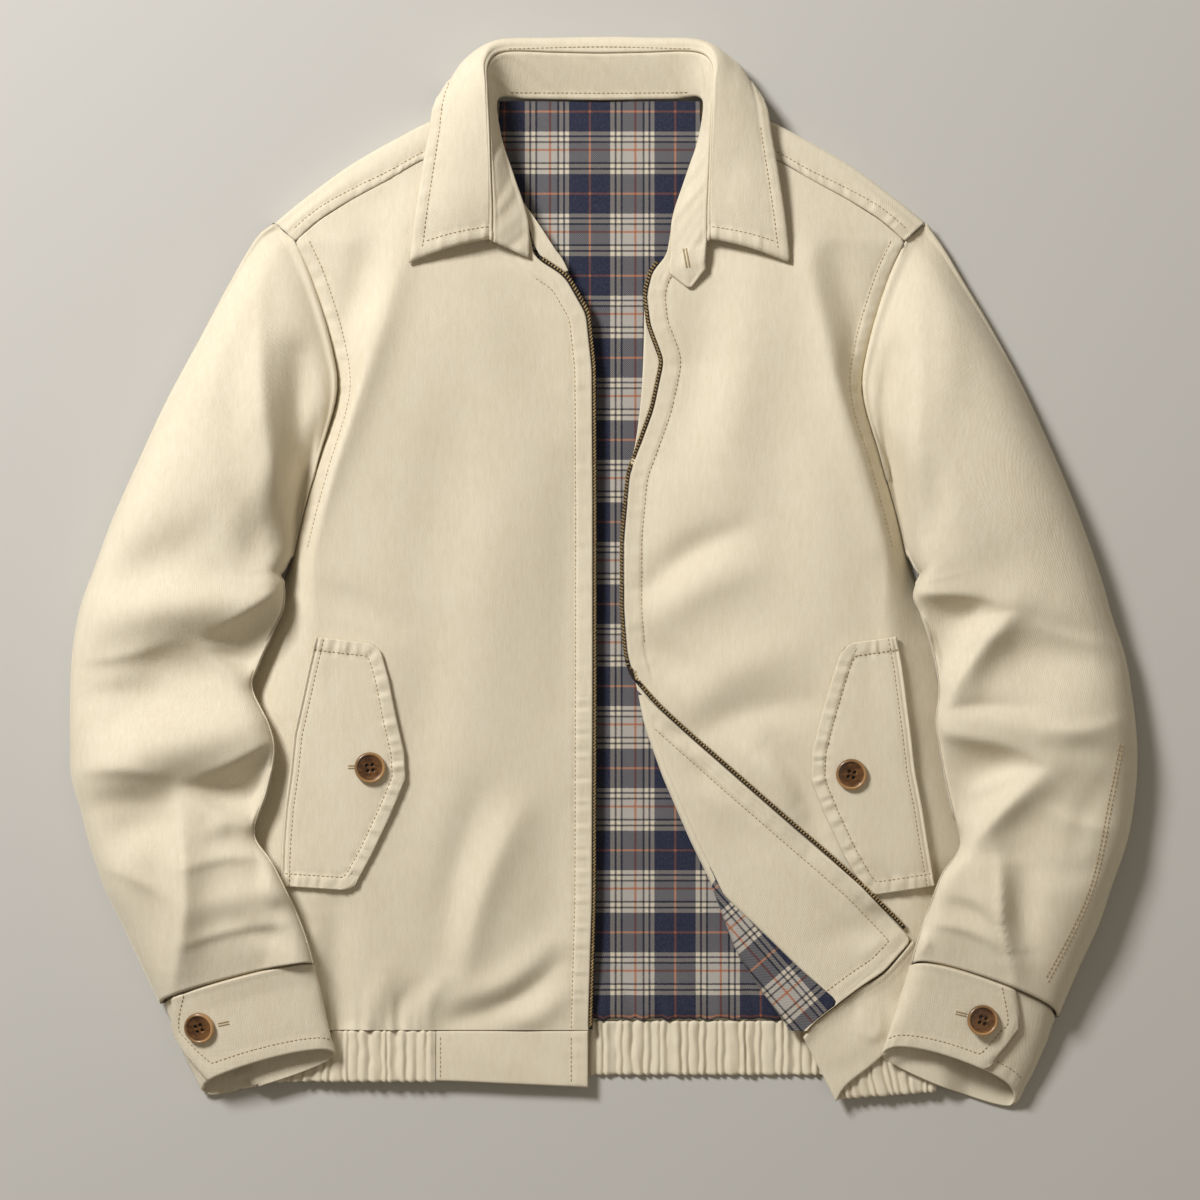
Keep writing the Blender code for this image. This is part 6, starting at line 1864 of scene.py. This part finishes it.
class Wire:
    """A socket with arithmetic: each operator adds a Math node."""

    def __init__(self, shader: "Shader", socket: bpy.types.NodeSocket) -> None:
        """Wraps a socket of a shader's tree."""
        self.shader = shader
        self.socket = socket

    __add__, __radd__ = operator("ADD"), operator("ADD", True)
    __sub__, __rsub__ = operator("SUBTRACT"), operator("SUBTRACT", True)
    __mul__, __rmul__ = operator("MULTIPLY"), operator("MULTIPLY", True)
    __truediv__ = operator("DIVIDE")

    def call(self, operation: str, *others: "Wire | float") -> "Wire":
        """Any other Math operation on this socket."""
        return self.shader.math(operation, self, *others)

    def fract(self) -> "Wire":
        """The part after the point."""
        return self.call("FRACT")

    def clamped(self) -> "Wire":
        """The value, kept between 0 and 1."""
        return self.call("MAXIMUM", 0).call("MINIMUM", 1)

    def between(self, low: float, high: float, soft: float) -> "Wire":
        """1 where the value lies between two others, with edges of width soft."""
        rise = ((self - low) / soft + 0.5).clamped()
        fall = ((high - self) / soft + 0.5).clamped()
        return rise.call("MINIMUM", fall)


Colour = tuple[float, float, float]


class Shader:
    """A material's node tree, made from expressions."""

    def __init__(self, name: str) -> None:
        """Makes the material with its Principled shader."""
        self.material = bpy.data.materials.new(name)
        self.material.use_nodes = True
        self.tree = self.material.node_tree
        self.base = self.tree.nodes["Principled BSDF"]

    def node(self, kind: str, settings: dict | None = None, out: str | int = 0, **inputs: object) -> Wire:
        """Adds a node of any type.

        Args:
            kind: the node's type without ShaderNode.
            settings: its attributes, set first.
            out: the output that is wanted.
            inputs: values or wires of sockets, with _ for a space in their names.

        Returns:
            The output as a wire.
        """
        made = self.tree.nodes.new(f"ShaderNode{kind}")
        for key, value in (settings or {}).items():
            setattr(made, key, value)
        for key, value in inputs.items():
            self.feed(made.inputs[key.replace("_", " ")], value)
        return Wire(self, made.outputs[out])

    def feed(self, socket: bpy.types.NodeSocket, value: object) -> None:
        """Links a wire to a socket, or sets the socket's own value."""
        if isinstance(value, Wire):
            self.tree.links.new(value.socket, socket)
        elif isinstance(value, tuple) and len(value) == 3 and socket.type == "RGBA":
            socket.default_value = (*value, 1)
        else:
            socket.default_value = value

    def math(self, operation: str, *values: "Wire | float") -> Wire:
        """A Math node of an operation on values."""
        made = self.tree.nodes.new("ShaderNodeMath")
        made.operation = operation
        for socket, value in zip(made.inputs, values):
            self.feed(socket, value)
        return Wire(self, made.outputs[0])

    def mix(
        self, share: "Wire | float", first: "Wire | Colour", second: "Wire | Colour", blend: str = "MIX"
    ) -> Wire:
        """A colour between two others, or a blend of them such as the darker one."""
        made = self.tree.nodes.new("ShaderNodeMix")
        made.data_type = "RGBA"
        made.blend_type = blend
        self.feed(made.inputs[0], share)
        self.feed(made.inputs[6], first)
        self.feed(made.inputs[7], second)
        return Wire(self, made.outputs[2])

    def noise(
        self, scale: float, detail: float = 2, rough: float = 0.5, stretch: Colour = (1, 1, 1),
        turn: float = 0,
    ) -> Wire:
        """Noise between 0 and 1, at Object coordinates that are turned and stretched.

        Args:
            scale: how fine it is.
            detail: how many finer layers are added.
            rough: how strong those are.
            stretch: factors of x, y and z.
            turn: angle about z in radians.

        Returns:
            The noise's value.
        """
        place = self.node("TexCoord", out="Object")
        place = self.node("Mapping", Vector=place, Scale=stretch, Rotation=(0, 0, turn))
        return self.node("TexNoise", Vector=place, Scale=scale, Detail=detail, Roughness=rough)

    def cloth(self) -> tuple[Wire, Wire]:
        """The two places on the cloth, in millimetres."""
        plan = self.node("UVMap", {"uv_map": "cloth"})
        split = self.tree.nodes.new("ShaderNodeSeparateXYZ")
        self.feed(split.inputs[0], plan)
        return Wire(self, split.outputs[0]) * 1000, Wire(self, split.outputs[1]) * 1000

    def edge(self) -> Wire:
        """The distance from a sewn edge, in millimetres."""
        return self.node("Attribute", {"attribute_name": "edge"}, out="Fac")

    def bump(self, height: Wire, distance: float, strength: float = 1.0) -> Wire:
        """A Normal from a height between 0 and 1 that stands for distance metres."""
        return self.node("Bump", Height=height, Distance=distance, Strength=strength)

    def finish(self, **sockets: object) -> bpy.types.Material:
        """Sets the Principled shader's sockets and returns the material."""
        for key, value in sockets.items():
            self.feed(self.base.inputs[key.replace("_", " ")], value)
        return self.material


def weave(x: Wire, y: Wire, pitch: float) -> Wire:
    """A twill's height: the product of two rows of waves that run at 63 and -20 degrees."""
    ridge = ((x * 0.89 - y * 0.455) * (2 * math.pi / pitch)).call("SINE")
    grain = ((x * 0.34 + y * 0.94) * (2 * math.pi / (pitch * 0.8))).call("SINE")
    return 0.5 + ridge * 0.32 + grain * 0.18


@dataclass(frozen=True)
class ShellCloth:
    """Brushed cream twill: nap streaks, darker sewn edges (painted shade in the seam crevices, with some
    darkening from wear), a fine weave and a soft sheen.
    """

    light: Colour = (0.79, 0.742, 0.615)
    deep: Colour = (0.66, 0.58, 0.43)
    seam: Colour = (0.46, 0.365, 0.225)
    # seam: the colour of the sewn edges, painted shade in the seam crevices with some darkening from wear

    def make(self) -> bpy.types.Material:
        """Mixes light and deep by streaky noise; the sewn edges are darker, painted shade partly with seam
        wear.
        """
        shader = Shader("shell_cloth")
        x, y = shader.cloth()
        streaks = shader.noise(420, 4, 0.62, (1, 0.22, 0.6))
        cloud = shader.noise(38, 3, 0.55, (1, 0.5, 1))
        fine = shader.noise(1500, 2, 0.6, (1, 0.45, 1))
        share = (streaks * 0.95 + cloud * 0.45 + fine * 0.35 - 0.48).clamped()
        colour = shader.mix(share, self.light, self.deep)
        edge = shader.edge()
        # painted shade at the sewn edges, where pieces meet, partly darkening from wear
        seam = edge.between(-0.4, 0.35, 0.7) * 0.45
        colour = shader.mix(seam, colour, self.seam)
        height = weave(x, y, 1.15) * 0.3 + streaks * 0.55 + fine * 0.35 + cloud * 0.5
        normal = shader.bump(height, 0.00042, 0.85)
        return shader.finish(
            Base_Color=colour, Roughness=0.93, Normal=normal, Sheen_Weight=0.28, Sheen_Roughness=0.45,
            Sheen_Tint=(1, 0.96, 0.88), Specular_IOR_Level=0.18,
        )


Stripe = tuple[float, float, Colour]
NAVY: Colour = (0.011, 0.016, 0.047)
DARK: Colour = (0.01, 0.012, 0.022)
PALE: Colour = (0.44, 0.42, 0.4)
CREAM: Colour = (0.66, 0.6, 0.5)
RUST: Colour = (0.4, 0.125, 0.045)


@dataclass(frozen=True)
class Plaid:
    """Woven plaid: the same stripes both ways, mixed half and half by a fine twill."""

    repeat: float = 58.0
    shift_x: float = 21.0
    shift_y: float = 23.1
    stripes: tuple[Stripe, ...] = (
        (13.4, 14.8, RUST), (28, 35.2, CREAM), (30.9, 32.3, DARK), (35, 36.4, DARK), (36.4, 50, PALE),
        (44.3, 45.8, RUST), (50, 51.3, DARK), (51.3, 58, CREAM), (53.9, 55.3, NAVY),
    )

    def bands(self, shader: Shader, place: Wire, shift: float) -> Wire:
        """The stripes across one direction: each is laid over the navy ground between its ends."""
        at = ((place + shift) / self.repeat).fract() * self.repeat
        colour: Wire | Colour = NAVY
        for low, high, tint in self.stripes:
            colour = shader.mix(at.between(low, high, 0.45), colour, tint)
        return colour

    def make(self) -> bpy.types.Material:
        """Both sets of stripes mixed by a fine diagonal twill, with a brushed surface."""
        shader = Shader("plaid_lining")
        x, y = shader.cloth()
        wobble = (shader.noise(900, 2) - 0.5) * 0.7
        across = self.bands(shader, x + wobble, self.shift_x)
        down = self.bands(shader, y + wobble, self.shift_y)
        twill = ((x + y) * (2 * math.pi / 1.5)).call("SINE")
        share = (0.5 + twill * 0.3).call("MAXIMUM", 0)
        colour = shader.mix(share, across, down)
        colour = shader.mix(0.5, colour, shader.mix(1, across, down, "DARKEN"))
        fibre = shader.noise(1200, 3, 0.6, (1, 0.5, 1))
        colour = shader.mix((fibre - 0.45) * 0.2, colour, (0.5, 0.49, 0.47))
        height = twill * 0.3 + fibre * 0.8
        return shader.finish(
            Base_Color=colour, Roughness=0.74, Normal=shader.bump(height, 0.00025, 0.8), Sheen_Weight=0.12,
            Sheen_Roughness=0.5, Specular_IOR_Level=0.35,
        )


@dataclass(frozen=True)
class Horn:
    """Polished brown horn: clouded dark and amber, with painted light making the rim lightest on its lower
    right, and painted shade in the holes.
    """

    dark: Colour = (0.06, 0.024, 0.009)
    brown: Colour = (0.29, 0.135, 0.045)
    amber: Colour = (0.66, 0.39, 0.17)

    def make(self) -> bpy.types.Material:
        """Three browns mixed by stretched noise and by the place across the button, which paints light on
        the lower right.
        """
        shader = Shader("horn_button")
        x, y = shader.cloth()
        cloud = shader.noise(170, 4, 0.6, (1, 2.2, 1), 0.7)
        # painted light: lighter and more amber towards the lower right, the side away from the key light
        lean = ((x - 40) - (y - 40)) / 26
        share = (cloud * 1.5 - 0.55 + lean * 0.45).clamped()
        colour = shader.mix(share, self.dark, self.brown)
        edge = shader.edge()
        rim = edge.between(-1, 2, 0.8)
        colour = shader.mix(rim * (0.5 + lean * 0.55).call("MAXIMUM", 0.1), colour, self.amber)
        # painted shade: the holes, marked with an edge of -5, are near black
        colour = shader.mix(edge.between(-9, -2.5, 1.5), colour, (0.012, 0.006, 0.003))
        rough = 0.24 + cloud * 0.12
        normal = shader.bump(shader.noise(900, 2), 0.00004, 0.5)
        return shader.finish(
            Base_Color=colour, Roughness=rough, Normal=normal, Coat_Weight=0.35, Coat_Roughness=0.15
        )


@dataclass(frozen=True)
class Tape:
    """Woven tape, dark brown, with fine ribs."""

    colour: Colour = (0.022, 0.014, 0.009)

    def make(self) -> bpy.types.Material:
        """A dark ground with ribs across."""
        shader = Shader("zip_tape")
        _, y = shader.cloth()
        ribs = (y * (2 * math.pi / 0.8)).call("SINE")
        return shader.finish(Base_Color=self.colour, Roughness=0.88, Normal=shader.bump(ribs, 0.0001, 0.7))


@dataclass(frozen=True)
class Brass:
    """Aged brass: brown in places, duller where it is brown."""

    bright: Colour = (0.78, 0.6, 0.31)
    aged: Colour = (0.2, 0.12, 0.05)

    def make(self) -> bpy.types.Material:
        """Bright and aged brass mixed by noise."""
        shader = Shader("zip_metal")
        cloud = shader.noise(500, 4, 0.6)
        share = (cloud * 2.2 - 0.65).clamped()
        normal = shader.bump(cloud, 0.00008, 0.5)
        return shader.finish(
            Base_Color=shader.mix(share, self.bright, self.aged), Metallic=0.55 + share * 0.2,
            Roughness=0.3 + share * 0.22, Normal=normal,
        )


@dataclass(frozen=True)
class Thread:
    """Topstitching thread, a little more golden than the cloth."""

    colour: Colour = (0.5, 0.39, 0.235)

    def make(self) -> bpy.types.Material:
        """The thread's colour with a slight variation from place to place."""
        shader = Shader("thread")
        cloud = shader.noise(300, 2)
        deeper = tuple(0.72 * c for c in self.colour)
        colour = shader.mix(cloud, self.colour, deeper)
        return shader.finish(Base_Color=colour, Roughness=0.75, Sheen_Weight=0.2)


class Finishes:
    """One material for each slot, and the thread's."""

    def __init__(self) -> None:
        """Makes them all."""
        self.by_slot = {
            Slot.SHELL: ShellCloth().make(),
            Slot.PLAID: Plaid().make(),
            Slot.HORN: Horn().make(),
            Slot.TAPE: Tape().make(),
            Slot.METAL: Brass().make(),
        }
        self.thread = Thread().make()

    def of(self, slot: Slot) -> bpy.types.Material:
        """The material of a slot."""
        return self.by_slot[slot]


# --- stage
@dataclass
class Stage:
    """A pale floor, soft light from the upper left, and a camera straight above."""

    half: float = 4.0
    camera_height: float = 3.0
    view: float = 0.816
    centre_x: float = -0.0026
    centre_y: float = -0.0185

    def make(self) -> None:
        """Adds floor, lights, sky and camera."""
        data = bpy.data.meshes.new("floor")
        h = self.half
        z = -0.0004
        data.from_pydata([(-h, -h, z), (h, -h, z), (h, h, z), (-h, h, z)], [], [(0, 1, 2, 3)])
        floor = new_object("floor", data)
        shader = Shader("floor")
        data.materials.append(shader.finish(Base_Color=(0.55, 0.545, 0.53), Roughness=0.9))
        self.light("key", (-1.5, 1.65, 1.95), 0.7, 94, (1, 0.975, 0.935))
        self.light("fill", (1.7, -0.9, 2.4), 2.6, 6.5, (1, 0.92, 0.8))
        world = bpy.data.worlds.new("sky")
        world.use_nodes = True
        world.node_tree.nodes["Background"].inputs[0].default_value = (1, 0.86, 0.66, 1)
        world.node_tree.nodes["Background"].inputs[1].default_value = 0.19
        bpy.context.scene.world = world
        bpy.context.scene.view_settings.view_transform = "Standard"
        lens = bpy.data.cameras.new("camera")
        lens.sensor_width = 36
        lens.lens = 36 * self.camera_height / self.view
        camera = new_object("camera", lens)
        camera.location = (self.centre_x, self.centre_y, self.camera_height)
        bpy.context.scene.camera = camera

    def light(self, name: str, place: Colour, size: float, power: float, colour: Colour) -> None:
        """A square area light that faces the middle of the jacket."""
        data = bpy.data.lights.new(name, "AREA")
        data.size = size
        data.energy = power
        data.color = colour
        lamp = new_object(name, data)
        lamp.location = place
        lamp.rotation_euler = Vector(place).to_track_quat("Z", "Y").to_euler()


# --- the whole jacket
BUTTONS = {
    # x, y, turn of the holes in degrees
    "button_pocket_right": (-155, 217.5, 8),
    "button_pocket_left": (169.5, 213, -12),
    "button_cuff_right": (-270, 42, 20),
    "button_cuff_left": (257.5, 47.5, -15),
}


BUTTONHOLES = [
    # piece, centre, turn in degrees, length
    ("cuff_right", (-253.7, 44.9), 12, 7),
    ("cuff_left", (243.4, 51.7), -14, 7),
    ("pocket_flap_right", (-167.5, 218), 0, 4),
]
TAB_LINE = [(45.6, 561), *TAB_BORDER]
OUTER_SEAM = [(361.8, 231.9), (352.2, 182.2), (343.4, 140.1), (329.8, 106.1), (310, 68)]
OTHER_ROWS = [
    # piece, the line that is followed, how far to its left
    ("sleeve_left_top", OUTER_SEAM, -10),
    ("sleeve_left_top", OUTER_SEAM, -12.6),
    ("collar_leaf", [(-62, 703.2), (0, 705), (62, 703.2)], 0),
    ("collar_stand", [(-61, 675), (0, 674.6), (61, 675)], 0),
    ("hem_front_right", [(-8, 4), (-8, 20), (-8, 37)], EDGE_STITCH),
    ("hem_front_right", [(-110, 7), (-110, 20), (-110, 36)], -1.8),
]


@dataclass
class Jacket:
    """Builds every sub-assembly in the order in which they lie on each other."""

    shop: Workshop
    body: Body = field(default_factory=Body)
    hem: Hem = field(default_factory=Hem)
    zip: Zip = field(default_factory=Zip)

    def button(self, name: str) -> None:
        """Lays a button on what is under it."""
        Button(name, *BUTTONS[name]).make(self.shop)

    def make_body(self) -> None:
        """Back, hem, both fronts, the turned corner, pockets and zips."""
        shop, body = self.shop, self.body
        body.make_back(shop)
        self.hem.make(shop)
        body.make_right(shop)
        edge = body.right.edge_points(np.arange(FRONT_HEM + 0.5, ZIP_TOP, 2))
        self.zip.make(shop, "zip_tape_right", edge, 1)
        left = body.grid(body.left)
        shop.relief.add(left)
        self.pocket_left = PocketFlap("pocket_flap_left", POCKET_LEFT, 3)
        self.pocket_left.make(shop)
        below = shop.relief.cover(LAID, 0.6)
        self.button("button_pocket_left")
        self.corner = TurnedCorner(body.left, below)
        body.make_left(shop, self.corner)
        edge = body.left.edge_points(np.arange(TWIST_TOP, ZIP_TOP, 2))
        self.zip.make(shop, "zip_tape_left", edge, -1)
        edge = self.corner.points(SHELL)[:, -1]
        open_zip = edge[:, 1] > 105
        ahead = up(body.left.edge_points(np.array([TWIST_TOP, 280, 274])), 0.6)
        edge = edge[open_zip][::-1]
        edge = curved(np.vstack([ahead, edge[7::12], edge[-1:]]), 8)
        self.zip.make(shop, "zip_tape_left_turned", edge, -1, 20)
        body.make_corner_linings(shop, self.corner)
        self.hem.make_turned(shop, below)
        self.pocket_right = PocketFlap("pocket_flap_right", POCKET_RIGHT, 4)
        self.pocket_right.make(shop)
        self.button("button_pocket_right")

    def make_limbs(self) -> None:
        """Shoulders, neck facings, sleeves, cuffs and the collar."""
        shop = self.shop
        self.cuffs: list[Cuff] = []
        self.shoulders = [Shoulder(Side.RIGHT), Shoulder(Side.LEFT)]
        for shoulder in self.shoulders:
            shoulder.make(shop)
        self.body.make_neck_facings(shop)
        for side, table, folds, cuff in (
            (Side.RIGHT, RIGHT_SLEEVE, RIGHT_SLEEVE_FOLDS, RIGHT_CUFF),
            (Side.LEFT, LEFT_SLEEVE, LEFT_SLEEVE_FOLDS, LEFT_CUFF),
        ):
            cover = shop.relief.cover(LAID + SEAM, 0.6)
            Sleeve(side, table, folds).make(shop, cover)
            self.cuffs.append(Cuff(side, cuff, *CUFF_LAPS[side]))
            self.cuffs[-1].make(shop, cover)
            self.button(f"button_cuff_{side.word}")
        self.collar = Collar()
        self.collar.make(shop)

    def sew(self) -> None:
        """All rows of topstitching."""
        sewing = Sewing(self.shop)
        for front, low in ((self.body.right, FRONT_HEM), (self.body.left, 300)):
            y = np.arange(low + 1, ZIP_TOP - 2, 3)
            line = joined(front.edge_x(y), y)
            line = inset(line, EDGE_STITCH if front.side is Side.RIGHT else -EDGE_STITCH)
            sewing.row(f"front_{front.side.word}", line)
            line = inset(front.armhole_line, ARMHOLE_STITCH * front.side.value)
            sewing.row(f"front_{front.side.word}", line[2:])
        line = inset(self.corner.edge_line[::3], -EDGE_STITCH)
        sewing.row("facing_left", line)
        for pocket in (self.pocket_right, self.pocket_left):
            sign = 1 if pocket is self.pocket_right else -1
            free = inset(pocket.free_line, FLAP_STITCH * -sign)
            sewing.row(pocket.name, free)
            sewing.row(pocket.name, inset(pocket.hinge_line, HINGE_STITCH * sign))
        for shoulder in self.shoulders:
            line = row_at(shoulder.outer, shoulder.walked, shoulder.stitch)
            sewing.row(f"shoulder_{shoulder.side.word}", line[4:-4, :2])
        collar = self.collar
        free = collar.leaf_across[:, -1:] - collar.leaf_across
        line = row_at(collar.leaf[:, ::-1], free[:, ::-1], LEAF_STITCH)
        sewing.row("collar_leaf", line[2:-2])
        ends = np.broadcast_to(collar.run, collar.leaf.shape[1::-1])
        for grid, walked in ((collar.leaf, ends), (collar.leaf[::-1], (collar.run[-1] - ends)[:, ::-1])):
            line = row_at(np.swapaxes(grid, 0, 1), walked, LEAF_STITCH)
            line = line[:, :2]
            sewing.row("collar_leaf", along(line, np.arange(4, length_of(line) - LEAF_STITCH, 2)))
        tab = inset(np.array(TAB_LINE), -2.4)
        sewing.row("collar_stand", tab)
        sewing.across("collar_stand", (58.4, 561), -80, 13, 3.4)
        for name, centre, turn, long in BUTTONHOLES:
            sewing.across(name, centre, turn, long, 3)
        for cuff in self.cuffs:
            name = f"cuff_{cuff.side.word}"
            sewing.row(name, cuff.tab_line)
            if cuff.lap_end > 0.1:
                sewing.row(name, cuff.under_line)
        for name, line, aside in OTHER_ROWS:
            sewing.row(name, inset(curved(line), aside))
        sewing.make()


def main() -> None:
    """Builds the jacket and the stage, and gives the zip slider its finish."""
    logging.basicConfig(level=logging.INFO, format="%(message)s")
    finishes = Finishes()
    shop = Workshop(finishes)
    jacket = Jacket(shop)
    jacket.make_body()
    jacket.make_limbs()
    jacket.sew()
    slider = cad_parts["zip_slider"]
    for slot in slider.material_slots:
        slot.material = finishes.of(Slot.METAL)
    Stage().make()


if __name__ == "__main__":
    main()
